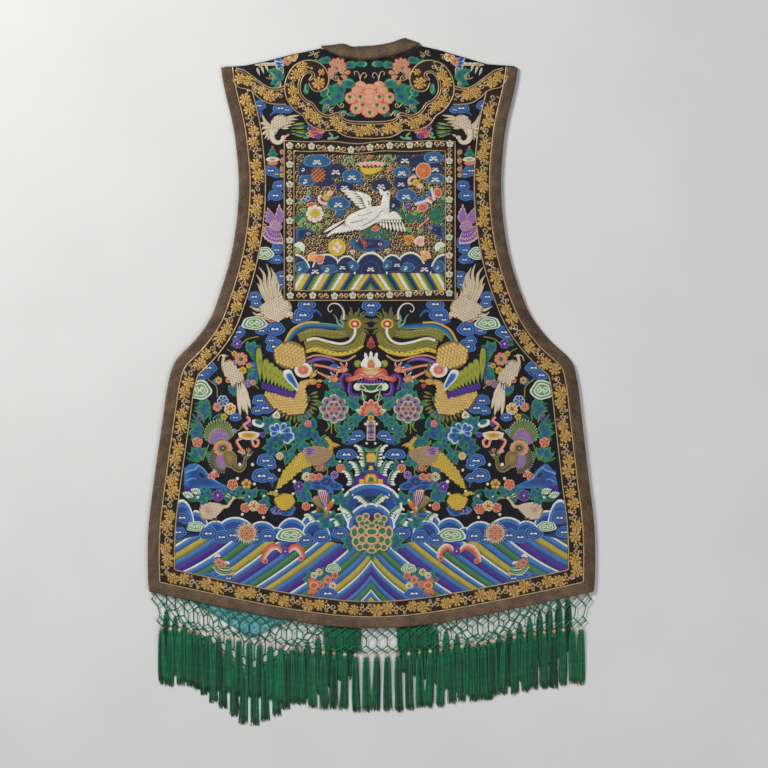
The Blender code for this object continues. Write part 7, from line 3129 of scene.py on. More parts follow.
    def great_peony(self, needle: Needle, place: Place) -> None:
        """Work the collar's peony: coral-edged lobes that close over each other round its heart.

        Args:
            needle: What works the motifs.
            place: Where it is worked.
        """
        warm = blend(Silk.PEACH.value, Silk.IVORY.value, 0.3)
        golden = blend(Silk.PEACH.value, Silk.STRAW.value, 0.3)
        stops = [(0, Silk.CORAL), (0.13, Silk.CORAL), (0.13, warm), (0.3, warm), (0.3, Silk.CORAL),
                 (0.37, Silk.CORAL), (0.37, warm), (1, golden)]
        lobes = ((-15.5, 24.5, 9.5, 6.5, 0), (15.5, 24.5, 9.5, 6.5, 0), (0, 20, 12.5, 6.5, 0),
                 (-30.5, 3, 11, 10.5, 1), (30.5, 3, 11, 10.5, 1), (-20.5, 14.5, 10.5, 9, 0),
                 (20.5, 14.5, 10.5, 9, 0), (-21.5, -14.5, 11.5, 9.8, 1), (21.5, -14.5, 11.5, 9.8, 1),
                 (0, -20.5, 14, 9.6, 1), (-11, -9, 12, 7.4, 1), (11, -9, 12, 7.4, 1), (0, 12.5, 12, 6.5, 0),
                 (-14.5, 3.4, 9.4, 8.8, 1), (14.5, 3.4, 9.4, 8.8, 1), (0, -3, 10.5, 5.6, 0),
                 (0, 4.6, 9.8, 7, 0))
        needle.work.patch(place.at(0, -3), oval(33, 19, 20), [(0, Silk.CORAL), (1, warm)], 0.3, 0.05)
        for k, (u, v, wide, high, seed) in enumerate(lobes):
            spot = place.at(u, v)
            needle.work.patch(spot, scalloped(wide, high, 7, 0.07, 90), stops, 0.7, 0.1 + 0.09 * k)
            if seed:
                needle.work.patch(spot.at(0.08 * u, 0.08 * v - 3.6), petal(8.2, 7.6, 0.6),
                                  [(0, Silk.LIME), (0.4, Silk.MEADOW), (1, Silk.MOSS)], 0.3, 0.72 + 0.09 * k)


@dataclass
class Aviary:
    """The birds of the side fields: cranes, a long-tailed bird, a peacock, an egret and more."""

    form: VestForm
    plume: tuple = ((0, Silk.SAND), (0.14, Silk.SAND), (0.14, Silk.IVORY), (0.6, Silk.MILK), (1, Silk.IVORY))

    def feather(self, work: Work, side: Place, root: Flat, tip: Flat, wide: float, stops: Stops,
                layer: float) -> None:
        """Work one feather from its root to its tip."""
        work.patch(toward(side, root, tip), petal(math.dist(root, tip), wide, 0.45), stops, 0.45, layer)

    def spread(self, work: Work, side: Place, roots: tuple[Flat, Flat], tips: Sequence[Flat], wide: float,
               stops: Stops, layer: float) -> None:
        """Work feathers side by side, from roots spaced along a line to their own tips.

        Args:
            work: The piece that it is worked on.
            side: The side's own place.
            roots: The line that their roots lie on.
            tips: Their tips.
            wide: The width of each.
            stops: Its colours and where they start.
            layer: How high it lies over what is under it.
        """
        (ax, ay), (bx, by) = roots
        for k, tip in enumerate(tips):
            t = k / max(len(tips) - 1, 1)
            self.feather(work, side, (ax + (bx - ax) * t, ay + (by - ay) * t), tip, wide, stops,
                         layer + 0.04 * k)

    def plumes(self, work: Work, side: Place, paths: Sequence[tuple], half: float, layer: float) -> None:
        """Work long curved feathers, each with a brown edge and a quill.

        Args:
            work: The piece that it is worked on.
            side: The side's own place.
            paths: The line of each feather.
            half: Half its width.
            layer: How high it lies over what is under it.
        """
        for k, path in enumerate(paths):
            line = flow(path, 4.0)
            widths = [half * (0.55 + 1.7 * t * (1 - t)) * (1 - 0.75 * t ** 4)
                      for t in (j / (len(line) - 1) for j in range(len(line)))]
            work.ribbon(side, line, widths, [(-1, Silk.BARK), (-0.72, Silk.BARK), (-0.72, Silk.IVORY),
                                             (-0.1, Silk.MILK), (0.1, Silk.SAND), (0.72, Silk.IVORY),
                                             (0.72, Silk.BARK), (1, Silk.BARK)], 0.5, layer + 0.06 * k)

    def form_of(self, work: Work, side: Place, points: Sequence[Flat], stops: Stops, rise: float,
                layer: float, scale: tuple | None = None) -> None:
        """Work a rounded form through a few points and, if asked, cover it with small feathers.

        Args:
            work: The layer to work in.
            side: The side of the garment.
            points: The form's edge.
            stops: How it is shaded.
            rise: How far it is padded.
            layer: How high it lies.
            scale: The small feathers' heading, length, edge and fill.
        """
        outline = flow(points, 3.5, True)
        work.patch(side, outline, stops, rise, layer)
        if scale:
            heading, size, edge, fill = scale
            Needle(work).plumage(side, outline, heading, size, edge, fill, layer + rise * 0.92)

    def head(self, work: Work, side: Place, spot: Flat, size: float, beak: tuple, stops: Stops, dye: Silk,
             layer: float) -> None:
        """Work a head with its beak, (heading, length), and its eye.

        Args:
            work: The piece that it is worked on.
            side: The side's own place.
            spot: Where it stands.
            size: Its radius.
            beak: The beak's heading and length.
            stops: Its colours and where they start.
            dye: The beak's colour.
            layer: How high it lies over what is under it.
        """
        work.patch(side.at(*spot, beak[0] - 90), petal(beak[1], size * 0.9, 0.2), only(dye), 0.5, layer)
        work.patch(side.at(*spot), oval(size, size * 0.86, 10), stops, 0.8, layer + 0.1)
        work.dot(side, spot[0] + 0.2 * size, spot[1] + 0.2 * size, max(size * 0.2, 0.7), Silk.INK,
                 layer + 0.8, 6)

    def upper_crane(self, work: Work, side: Place) -> None:
        """Work the crane under the yoke's wing, its neck bent down over the badge's corner.

        Args:
            work: The piece that it is worked on.
            side: The side's own place.
        """
        self.plumes(work, side, [[(-166, 413 + 2 * k), (a, b), (c, d)] for k, (a, b, c, d) in enumerate((
            (-168, 406, -171, 400), (-173, 406, -176, 402), (-176, 412, -181, 408), (-178, 420, -183, 417),
            (-178, 427, -184, 428), (-175, 430, -180, 442)))], 3.4, 0.3)
        self.plumes(work, side, [[(-148, 420 + 3 * k), (a, b), (c, d)] for k, (a, b, c, d) in enumerate((
            (-142, 420, -136, 419), (-138, 424, -131, 424), (-136, 429, -126, 429), (-134, 434, -121, 434),
            (-134, 438, -118, 441)))], 3.0, 0.3)
        self.form_of(work, side, [(-167, 425), (-162, 436), (-151, 442), (-141, 439), (-137, 431),
                                  (-143, 422),
                                  (-153, 417), (-158, 408), (-166, 410), (-168, 417)], self.plume, 1.2, 0.6,
                     (235, 6.5, Silk.SAND, Silk.MILK))
        neck = flow([(-163, 418), (-164, 405), (-159, 397), (-151, 396), (-146, 401)], 2.5)
        work.ribbon(side, neck, taper(5.6, 2.6, neck),
                    [(-1, Silk.SAND), (-0.6, Silk.MILK), (0.6, Silk.MILK), (1, Silk.SAND)], 0.9, 2.0)
        self.head(work, side, (-145, 404), 4.4, (28, 12), self.plume, Silk.PEACH, 2.2)
        self.spread(work, side, ((-134, 424), (-134, 412)),
                    ((-110, 428), (-109, 420), (-108, 411), (-112, 405)), 4.2, Dye.LIME.value, 0.3)
        self.spread(work, side, ((-134, 418), (-134, 410)), ((-108, 424), (-107, 415), (-110, 407)), 3.0,
                    Dye.LEAF.value, 0.45)

    def purple_bird(self, work: Work, side: Place) -> None:
        """Work the purple bird that flies up beside the badge.

        Args:
            work: The piece that it is worked on.
            side: The side's own place.
        """
        pale = [(0, Silk.SAND), (0.1, Silk.BLUSH), (0.3, Silk.LILAC), (1, Silk.LILAC)]
        for root, tips in (((-158, 262), ((-176, 268), (-177, 276), (-176, 283), (-172, 289), (-168, 285),
                                          (-164, 280))),
                           ((-152, 259), ((-158, 280), (-155, 288), (-152, 295), (-149, 288), (-146, 284),
                                          (-144, 276)))):
            for k, tip in enumerate(tips):
                self.feather(work, side, root, tip, 5.4, pale, 0.3 + 0.05 * k)
        for layer, (reach, count) in enumerate(((29, 9), (22, 8), (15, 7))):
            for k in range(count):
                turn = 98 + 96 * k / (count - 1)
                work.patch(side.at(-155, 257, turn), petal(reach, reach * 0.24, 0.8),
                           [(0, Silk.BLUSH), (0.2, Silk.BLUSH), (0.2, Silk.LILAC), (1, Silk.PLUM)], 0.4,
                           0.4 + 0.25 * layer + 0.02 * k)
        self.form_of(work, side, [(-168, 262), (-160, 268), (-150, 262), (-147, 255), (-153, 250),
                                  (-163, 252)], pale,
                     0.9, 1.3, (200, 4.6, Silk.BLUSH, Silk.LILAC))
        self.head(work, side, (-151, 257), 4.4, (-100, 8), pale, Silk.LILAC, 1.6)
        self.spread(work, side, ((-170, 258), (-172, 248)),
                    ((-184, 264), (-186, 258), (-184, 251), (-181, 245)), 4.0, Dye.GOLD.value, 0.9)

    def lower_crane(self, work: Work, side: Place) -> None:
        """Work the crane with raised wings, under the badge's corner.

        Args:
            work: The piece that it is worked on.
            side: The side's own place.
        """
        self.plumes(work, side, (
            [(-172, 132), (-181, 150), (-186, 160), (-189, 164)],
            [(-169, 134), (-180, 154), (-183, 168), (-190, 178)],
            [(-166, 136), (-175, 158), (-177, 178), (-186, 191)],
            [(-163, 138), (-169, 160), (-168, 180), (-173, 196)],
            [(-159, 140), (-164, 162), (-161, 176), (-166, 190)],
            [(-155, 141), (-160, 158), (-157, 170), (-160, 182)],
            [(-151, 142), (-155, 152), (-153, 160), (-155, 168)]), 3.6, 0.3)
        self.plumes(work, side, ([(-160, 118), (-178, 122), (-188, 120), (-201, 126)],
                                 [(-158, 112), (-176, 112), (-190, 112), (-196, 117)],
                                 [(-156, 106), (-172, 106), (-184, 107)]), 3.8, 0.3)
        self.form_of(work, side, [(-186, 124), (-174, 133), (-161, 140), (-149, 143), (-137, 136),
                                  (-131, 124),
                                  (-134, 112), (-143, 106), (-155, 101), (-168, 104), (-180, 111)],
                     self.plume, 1.2, 0.7, (190, 6.2, Silk.SAND, Silk.MILK))
        self.plumes(work, side, ([(-146, 140), (-150, 148), (-148, 155)],
                                 [(-141, 138), (-143, 146), (-139, 151)]), 1.6, 0.6)
        self.head(work, side, (-134, 113), 5.4, (-70, 9), self.plume, Silk.PEACH, 1.9)
        work.patch(side.at(-165, 103), oval(6, 3.4, 9), Dye.CORAL.value, 0.4, 1.4)

    def long_tail(self, work: Work, side: Place) -> None:
        """Work the white bird with the long hanging tail.

        Args:
            work: The piece that it is worked on.
            side: The side's own place.
        """
        for k, (root, tip) in enumerate((((-222, 6), (-216, -55)), ((-219, 4), (-210, -48)),
                                         ((-216, 4), (-204, -55)),
                                         ((-214, 6), (-199, -44)), ((-217, 8), (-202, -28)))):
            self.feather(work, side, root, tip, 7.0, self.plume, 0.4 + 0.05 * k)
        self.form_of(work, side, [(-248, 30), (-244, 16), (-234, 2), (-228, -8), (-222, -2), (-210, 2),
                                  (-211, 12), (-222, 26), (-232, 38), (-240, 36)], self.plume, 1.3, 0.7,
                     (-48, 6.0, Silk.SAND, Silk.MILK))
        neck = flow([(-243, 26), (-245, 34), (-243, 43)], 2.5)
        work.ribbon(side, neck, [3.6, 3.2, 2.9, 2.7, 2.6, 2.6, 2.6, 2.6][:len(neck)],
                    [(-1, Silk.SAND), (0, Silk.MILK), (1, Silk.SAND)], 0.8, 1.2)
        self.head(work, side, (-243, 44), 3.6, (0, 8), self.plume, Silk.CORAL, 1.5)
        work.cord(side, flow([(-245, 46), (-250, 44), (-253, 36)], 2), 0.9, Silk.IVORY, 0.9)

    def egret(self, work: Work, side: Place) -> None:
        """Work the egret that stands on the waves.

        Args:
            work: The piece that it is worked on.
            side: The side's own place.
        """
        for path in (((-262, -216), (-261, -228)), ((-256, -216), (-256, -230))):
            work.cord(side, flow(path, 3), 0.8, Silk.SAND, 0.4)
        self.form_of(work, side, [(-284, -216), (-282, -204), (-270, -198), (-254, -198), (-242, -204),
                                  (-248, -214), (-262, -224), (-276, -226)], self.plume, 1.3, 0.6,
                     (200, 5.6, Silk.SAND, Silk.MILK))
        for k in range(9):
            turn = math.radians(115 + 17 * k)
            rays = [(-262 + reach * math.cos(turn), -209 + 0.62 * reach * math.sin(turn))
                    for reach in (3.0, 9.0, 17.0)]
            work.ribbon(side, rays, [0.3, 0.7, 0.4], [(-1, Silk.PEACH), (1, Silk.SAND)], 0.3, 2.2)
        neck = flow([(-250, -204), (-238, -204), (-233, -198), (-228, -191)], 2.5)
        work.ribbon(side, neck, taper(3.4, 1.4, neck),
                    [(-1, Silk.SAND), (0, Silk.MILK), (1, Silk.SAND)], 0.7, 1.2)
        self.head(work, side, (-227, -190), 3.3, (0, 20), self.plume, Silk.SAND, 1.4)
        self.spread(work, side, ((-230, -188), (-231, -190)), ((-238, -182), (-241, -186)), 2.2, self.plume,
                    1.3)

    def duck(self, work: Work, side: Place) -> None:
        """Work the gold duck between the waves.

        Args:
            work: The piece that it is worked on.
            side: The side's own place.
        """
        self.form_of(work, side, [(-160, -190), (-158, -202), (-146, -210), (-132, -207), (-125, -196),
                                  (-132, -185),
                                  (-146, -182)], Dye.STRAW.value, 1.4, 0.6,
                     (-35, 4.8, Silk.AMBER, Silk.STRAW))
        self.form_of(work, side, [(-158, -188), (-166, -182), (-163, -178), (-152, -183)], Dye.STRAW.value,
                     0.8, 1.0)
        self.head(work, side, (-165, -182), 4.2, (190, 8), Dye.STRAW.value, Silk.SAND, 1.3)
        for u in (-158, -150):
            work.cord(side, flow([(u, -208), (u - 4, -214), (u + 2, -216)], 2), 0.7, Silk.PEACH, 0.5)

    def pheasant(self, work: Work, side: Place) -> None:
        """Work the pheasant with the long barred tail.

        Args:
            work: The piece that it is worked on.
            side: The side's own place.
        """
        bars = [(0, Silk.OLIVE), (0.2, Silk.GILT), (0.5, Silk.STRAW), (1, Silk.AMBER)]
        tail = [(-106, -110), (-120, -116), (-146, -147), (-159, -175), (-155, -175), (-140, -166),
                (-118, -147), (-94, -132), (-96, -118)]
        self.form_of(work, side, tail, bars, 0.7, 0.5, (228, 6.0, Silk.GILT, Silk.STRAW))
        self.form_of(work, side, [(-114, -116), (-106, -108), (-90, -104), (-76, -107), (-65, -110),
                                  (-63, -118), (-73, -130), (-90, -137), (-104, -134), (-112, -125)],
                     [(0, Silk.PEACH), (0.3, Silk.SAND), (1, Silk.GILT)], 1.2, 0.9,
                     (205, 5.6, Silk.BARK, Silk.SAND))
        self.spread(work, side, ((-84, -112), (-90, -118)), ((-112, -108), (-113, -112), (-111, -116)), 5,
                    Dye.LILAC.value, 2.2)
        neck = flow([(-72, -114), (-66, -104), (-70, -96), (-75, -90)], 2.5)
        work.ribbon(side, neck, taper(6.0, 2.6, neck),
                    [(-1, Silk.OLIVE), (0, Silk.STRAW), (1, Silk.OLIVE)], 0.9, 1.2)
        self.spread(work, side, ((-72, -96), (-70, -99)), ((-50, -105), (-56, -107), (-60, -104)), 4,
                    Dye.GOLD.value, 1.4)
        self.head(work, side, (-73, -92), 4.4, (-35, 9), Dye.STRAW.value, Silk.AMBER, 1.5)
        for u in (-96, -84):
            work.cord(side, flow([(u + 4, -132), (u + 9, -142), (u + 3, -147)], 2), 0.9, Silk.GILT, 0.6)

    def peacock(self, work: Work, side: Place) -> None:
        """Work the peacock: two fans of eyed feathers, a barred ring and its neck raised to the right.

        Args:
            work: The piece that it is worked on.
            side: The side's own place.
        """
        olive = [(0, Silk.SAND), (0.2, Silk.MINT), (0.2, Silk.MEADOW), (0.6, Silk.OLIVE), (1, Silk.OLIVE)]
        mauve = [(0, Silk.SAND), (0.18, Silk.BLUSH), (0.18, Silk.LILAC), (1, Silk.LILAC)]
        moss = [(0, Silk.SAND), (0.2, Silk.MAUVE), (0.2, Silk.MOSS), (1, Silk.OLIVE)]
        for layer, (spot, low, high, least, more, count, wide, stops) in enumerate((
                ((-248, -104), 42, 158, 29, 17, 19, 3.6, olive),
                ((-248, -104), 46, 164, 21, 10, 17, 2.9, mauve),
                ((-246, -106), 60, 170, 14, 3, 13, 2.4, olive),
                ((-240, -126), 100, 262, 24, 6, 19, 3.0, moss),
                ((-238, -128), 110, 255, 15, 4, 14, 2.4, mauve))):
            for k in range(count):
                turn = low + (high - low) * k / (count - 1)
                reach = least + more * math.sin(math.pi * k / (count - 1))
                work.patch(side.at(*spot, turn - 90), petal(reach, wide, 0.75), stops, 0.4,
                           0.3 + 0.25 * layer)
        for radius, silk in ((14.0, Silk.PEACH), (11.0, Silk.GILT), (7.5, Silk.MOSS), (4.5, Silk.GILT)):
            work.patch(side.at(-245, -108), scalloped(radius * 1.15, radius, 12, 0.12),
                       [(0, Silk.SAND), (0.2, silk),
                        (1, silk)], 0.4, 1.6 - radius * 0.02)
        self.form_of(work, side, [(-244, -112), (-230, -112), (-222, -122), (-224, -136), (-236, -140),
                                  (-244, -130)],
                     [(0, Silk.SAND), (0.2, Silk.OLIVE), (1, Silk.GILT)], 1.1, 1.2)
        neck = flow([(-230, -136), (-218, -144), (-210, -138), (-208, -126), (-203, -121)], 2.5)
        work.ribbon(side, neck, taper(5.0, 2.6, neck),
                    [(-1, Silk.GILT), (0, Silk.MOSS), (1, Silk.GILT)], 0.9, 1.3)
        self.head(work, side, (-203, -119), 3.6, (0, 5), Dye.GOLD.value, Silk.PEACH, 1.6)
        self.spread(work, side, ((-204, -116), (-202, -116)), ((-206, -108), (-202, -107), (-199, -109)), 2,
                    Dye.CORAL.value, 1.5)
        for turn in (150, 190, 230):
            work.patch(side.at(-262, -146, turn), petal(14, 6, 0.5), Dye.CORAL.value, 0.5, 0.6)

    def butterfly(self, work: Work, side: Place) -> None:
        """Work the butterfly over the waves: two raised barred wings and two low ones.

        Args:
            work: The piece that it is worked on.
            side: The side's own place.
        """
        for turn, reach, wide, edge, bar in ((12, 40, 17, Silk.BLUSH, Silk.PLUM),
                                             (41, 33, 13, Silk.SAND, Silk.OLIVE),
                                             (-28, 20, 9, Silk.STRAW, Silk.CORAL),
                                             (78, 18, 9, Silk.AMBER, Silk.MOSS)):
            wing = side.at(-74, -213, turn)
            work.patch(wing, petal(reach, wide, 0.85),
                       [(0, Silk.BARK), (0.12, edge), (0.6, edge), (1, Silk.PEACH)], 0.5, 0.5)
            for k in range(-2, 3):
                spread = 0.085 * k * wide
                work.ribbon(wing, ((spread, reach * 0.22), (spread * 2.1, reach * 0.55),
                                   (spread * 2.3, reach * 0.88)),
                            [0.35, 0.8, 0.5], [(-1, bar), (1, bar)], 0.3, 1.0)
        for k in range(6):
            work.dot(side, -74 + 0.8 * k, -220 + 3.4 * k, 2.6 - 0.15 * abs(k - 3), Silk.CORAL if k % 2
                     else Silk.KHAKI, 1.1, 8)

    def build(self) -> list[bpy.types.Object]:
        """Work every bird on both sides.

        Returns:
            The pieces.
        """
        white, bright = Work(self.form, 0.5, INNER), Work(self.form, 0.5, INNER)
        for side in SIDES:
            for bird in (self.upper_crane, self.lower_crane, self.long_tail, self.egret):
                bird(white, side)
            for bird in (self.purple_bird, self.duck, self.pheasant, self.peacock, self.butterfly):
                bird(bright, side)
        return [white.finish("white_birds", [FLOSS], "navy_satin"),
                bright.finish("bright_birds", [FLOSS], "navy_satin")]


@dataclass
class Phoenix:
    """The great gold bird on each side of the middle, its tail raised in a wave."""

    form: VestForm
    lay: float = 0.7

    def strip(self, work: Work, side: Place, path: Sequence[Flat], half: float | Sequence[float],
              stops: Stops, layer: float, rise: float = 0.5) -> None:
        """Work a tail feather along a curve; widths, if several, are spread evenly along it.

        Args:
            work: The piece that it is worked on.
            side: The side's own place.
            path: The points that it runs through.
            half: Half its width, or several of them.
            stops: Its colours and where they start.
            layer: How high it lies over what is under it.
            rise: How far it is padded.
        """
        line = flow(path, 3.0)
        if not isinstance(half, (int, float)):
            knots = [(k / (len(half) - 1), wide) for k, wide in enumerate(half)]
            half = [straight(knots, k / (len(line) - 1)) for k in range(len(line))]
        work.ribbon(side, line, half, stops, rise, layer)

    def tail(self, work: Work, side: Place) -> None:
        """Work the tail: olive feathers between a blue strip and a yellow one, and its flame-shaped end.

        Args:
            work: The piece that it is worked on.
            side: The side's own place.
        """
        olive = [(-1, Silk.INK), (-0.9, Silk.MOSS), (-0.9, Silk.OLIVE), (-0.4, Silk.KHAKI),
                 (-0.36, Silk.MOSS), (-0.3, Silk.OLIVE), (0.1, Silk.KHAKI), (0.14, Silk.MOSS),
                 (0.2, Silk.OLIVE), (0.6, Silk.KHAKI), (0.64, Silk.MOSS), (0.7, Silk.OLIVE),
                 (0.92, Silk.OLIVE), (0.92, Silk.MOSS), (1, Silk.INK)]
        self.strip(work, side, [(-140, 66), (-124, 85), (-104, 94), (-70, 93), (-46, 90)], (3, 5, 5, 4.5, 3),
                   [(-1, Silk.MOSS), (-0.4, Silk.ROYAL), (0.1, Silk.SKY), (0.5, Silk.JADE), (1, Silk.MINT)],
                   0.2)
        self.strip(work, side, [(-144, 64), (-131, 87), (-108, 98.5), (-86, 99)], 1.8,
                   [(-1, Silk.AMBER), (0, Silk.STRAW), (1, Silk.PEACH)], 0.35)
        self.strip(work, side, [(-120, 74), (-96, 84), (-66, 80), (-46, 82), (-34, 96)], (8, 8, 7, 8, 9),
                   olive, 0.1)
        self.strip(work, side, [(-110, 62), (-90, 66), (-66, 57), (-46, 54), (-24, 62), (-14, 84)],
                   (8, 8, 8, 9, 9, 7), olive, 0.12)
        self.strip(work, side, [(-108, 51), (-92, 55), (-68, 49), (-48, 48), (-28, 53), (-13, 61)],
                   (3, 4.5, 4.5, 4.5, 4, 1.5), [(-1, Silk.OLIVE), (-0.5, Silk.STRAW), (0.5, Silk.STRAW),
                                                (1, Silk.AMBER)],
                   0.35)
        self.strip(work, side, [(-108, 40), (-92, 45), (-72, 43), (-44, 36), (-26, 45)], 1.5,
                   [(-1, Silk.PEACH), (0, Silk.SAND), (1, Silk.PEACH)], 0.4)
        self.strip(work, side, [(-106, 33), (-88, 39), (-70, 38), (-60, 33)], (3, 3.4, 2.6, 1),
                   [(-1, Silk.PLUM), (0, Silk.LILAC), (1, Silk.PLUM)], 0.25)
        for k in range(11):
            t = k / 10
            u, v = -104 + 78 * t, 60.5 - 4 * t - 5.0 * math.sin(3.1 * t)
            self.strip(work, side, [(u, v), (u + 3, v + 1.0), (u + 5, v - 0.6)], (1.0, 0.8, 0.3),
                       [(-1, Silk.INK), (1, Silk.IVORY)], 1.0, 0.2)
            u, v = -118 + 72 * t, 80 + 7.0 * math.sin(3.1 * t) - 2 * t
            self.strip(work, side, [(u, v), (u + 3, v + 1.0), (u + 5, v - 0.6)], (1.0, 0.8, 0.3),
                       [(-1, Silk.INK), (1, Silk.IVORY)], 0.8, 0.2)
        for k in range(10):
            work.dot(side, -98 + 8.4 * k, 53.5 - 3.5 * math.sin(0.33 * k), 1.2, Silk.MOSS, 1.0, 6)
        for k in range(20):
            turn = -150 + 14.6 * k
            reach = 27 + 4.5 * (k % 2) - 2.5 * (k % 3)
            spot = side.at(-27, 95, turn + 30)
            path = flow([(0, 4), (2.4 * (-1) ** k, reach * 0.5), (-1.2, reach * 0.76),
                         (2.0 * (-1) ** k, reach)], 3.0)
            work.ribbon(spot, path, [5.4 * (1 - 0.85 * j / (len(path) - 1)) for j in range(len(path))],
                        [(-1, Silk.MOSS), (-0.4, Silk.OLIVE), (0.4, Silk.OLIVE), (1, Silk.MOSS)], 0.5,
                        0.3 + 0.02 * (k % 3))
        work.patch(side, oval(16, 19, 16, -28, 90), only(Silk.OLIVE), 0.7, 0.45)
        work.patch(side, oval(10.5, 8.5, 16, -27.5, 97),
                   [(0, Silk.STRAW), (0.25, Silk.STRAW), (0.25, Silk.AMBER),
                    (0.36, Silk.CORAL), (0.36, Silk.RED), (0.7, Silk.CORAL),
                    (0.7, Silk.WHITE), (1, Silk.WHITE)], 0.8, 1.2)
        self.strip(work, side, [(-107, 69.5), (-92, 73), (-70, 67.3), (-50, 64), (-35, 69), (-27.5, 80),
                                (-27, 91)], (2.6, 2.3, 2.2, 2.3, 2.3, 2.3, 2.8),
                   [(-1, Silk.SAND), (-0.5, Silk.WHITE), (0.5, Silk.WHITE), (1, Silk.SAND)], 1.15, 0.6)
        self.strip(work, side, [(-46, 104), (-46, 118), (-54, 129), (-66, 130), (-72, 122), (-68, 116),
                                (-65, 120)],
                   (2.4, 2.0, 1.6, 1.3, 1.1, 0.9, 0.7), [(-1, Silk.SAND), (0, Silk.WHITE), (1, Silk.SAND)],
                   0.6)
        self.strip(work, side, [(-46, 92), (-55, 98), (-58, 107), (-63, 113)], (2.4, 2.0, 1.2, 0.6),
                   [(-1, Silk.SKY), (0, Silk.MINT), (1, Silk.JADE)], 0.6)
        self.strip(work, side, [(-46, 96), (-50, 104), (-49, 112)], (2.0, 1.6, 0.6),
                   [(-1, Silk.JADE), (0, Silk.MINT), (1, Silk.SKY)], 0.6)

    def body(self, gold: Work, work: Work, side: Place) -> None:
        """Work the rump, the belly, the neck and the head in laid gold, and the mane behind them.

        Args:
            gold: The gilt piece.
            work: The silk piece.
            side: The side's own place.
        """
        for k in range(17):
            turn = -70 - 11.5 * k
            spot = side.at(-124, -28, turn)
            work.patch(spot.at(0, 22 + 2 * (k % 2)), petal(17 - 3 * (k % 2), 4.2, 0.35),
                       [(0, Silk.OLIVE), (0.4, Silk.OLIVE), (1, Silk.LIME)], 0.4, 0.2 + 0.03 * (k % 3))
        leaf = [(0, Silk.DEEP_GILT), (0.1, Silk.GILT), (0.3, Silk.GOLDEN), (1, Silk.GOLDEN)]
        gold.patch(side, oval(27.5, 23.5, 26, -134.8, 45.5), leaf, 1.6, 0.6)
        hand = Needle(gold)
        hand.plumage(side, oval(27.5, 23.5, 26, -134.8, 45.5), 250, 8.6, Silk.GILT, Silk.BUFF, 2.0, 0.9)
        belly = [(-177, -18), (-172, -32), (-163, -42), (-148, -48), (-138, -53), (-126, -55), (-113, -50),
                 (-105, -38), (-104, -24), (-109, -14), (-116, -8), (-112, 0), (-102, 4), (-96, -2),
                 (-104, -8), (-106, -14), (-122, -18), (-140, -22), (-160, -16)]
        gold.patch(side, flow(belly[:11] + belly[16:], 4, True), leaf, 1.8, 0.5, centre=(-134, -34))
        self.strip(gold, side, [(-114, -28), (-117, -14), (-114, -3), (-104, 1), (-96, 1)], (11, 9, 7, 5, 4),
                   [(-1, Silk.OCHRE), (-0.4, Silk.BUFF), (0.4, Silk.BUFF), (1, Silk.DEEP_GILT)], 1.7, 1.0)
        hand.plumage(side, [(-121, -30), (-108, -30), (-109, -6), (-104, 4), (-112, 6), (-121, -8)], 262, 5.4,
                     Silk.GILT, Silk.BUFF, 2.7, 0.9)
        hand.plumage(side, flow(belly[:11] + belly[16:], 4, True), 215, 6.6, Silk.GILT, Silk.BUFF, 2.1, 0.9)
        gold.patch(side, oval(7.5, 5.6, 12, -97, 1.5), leaf, 1.0, 2.6)
        gold.patch(side.at(-93, 2, -84), petal(13, 5.4, 0.2), [(0, Silk.AMBER), (1, Silk.STRAW)], 0.6, 2.6)
        for turn in (-110, -135):
            work.patch(side.at(-92, -2, turn), petal(9, 5, 0.6), [(0, Silk.CORAL), (1, Silk.RED)], 0.5, 1.6)
        work.dot(side, -96, 3, 1.5, Silk.INK, 3.2, 7, Silk.WHITE)
        for k, (turn, reach) in enumerate(((100, 26), (85, 20), (112, 18))):
            gold.patch(side.at(-104, 4 + k, turn - 140), petal(reach, 4, 0.3), Dye.GOLD.value, 0.5, 1.5)

    def wing(self, work: Work, side: Place) -> None:
        """Work the raised wing: lime feathers, a purple row, a yellow one and the shoulder.

        Args:
            work: The piece that it is worked on.
            side: The side's own place.
        """
        tips = ((-186, 61), (-173, 41), (-164, 34.5), (-156, 28), (-149, 22), (-142, 16), (-136, 10),
                (-131, 3), (-127, -6))
        lime = [(0, Silk.MOSS), (0.12, Silk.MOSS), (0.12, Silk.LIME), (0.7, Silk.LIME), (1, Silk.OLIVE)]
        for k, tip in enumerate(tips):
            root = (-183 + 5.6 * k, -2 - 1.5 * k)
            work.patch(toward(side, root, tip), petal(math.dist(root, tip), 12.5 if k else 11.5, 0.7), lime,
                       0.7, 1.1 + 0.08 * (9 - k))
        for k in range(10):
            t = k / 9
            work.patch(side.at(-180 + 51 * t, 3 - 15 * t, -168 - 12 * t), petal(15, 7.4, 0.75),
                       [(0, Silk.NAVY), (0.16, Silk.NAVY), (0.16, Silk.PLUM), (1, Silk.PLUM)], 0.6,
                       2.0 + 0.03 * k)
        for k in range(8):
            t = k / 7
            work.patch(side.at(-174 + 36 * t, -12 - 9 * t, -172 + 6 * t), petal(12, 7, 0.8),
                       [(0, Silk.OLIVE), (0.2, Silk.STRAW), (1, Silk.AMBER)], 0.6, 1.7 + 0.03 * k)
        shoulder = [(-146, 16), (-142, 21), (-134, 21), (-128, 12), (-121, -2), (-117, -13), (-122, -15),
                    (-130, -6), (-140, 4)]
        work.patch(side, flow(shoulder, 3, True), [(0, Silk.WHITE), (0.3, Silk.WHITE), (0.3, Silk.ICE),
                                                   (0.45, Silk.SKY), (1, Silk.ROYAL)], 0.9, 2.2)

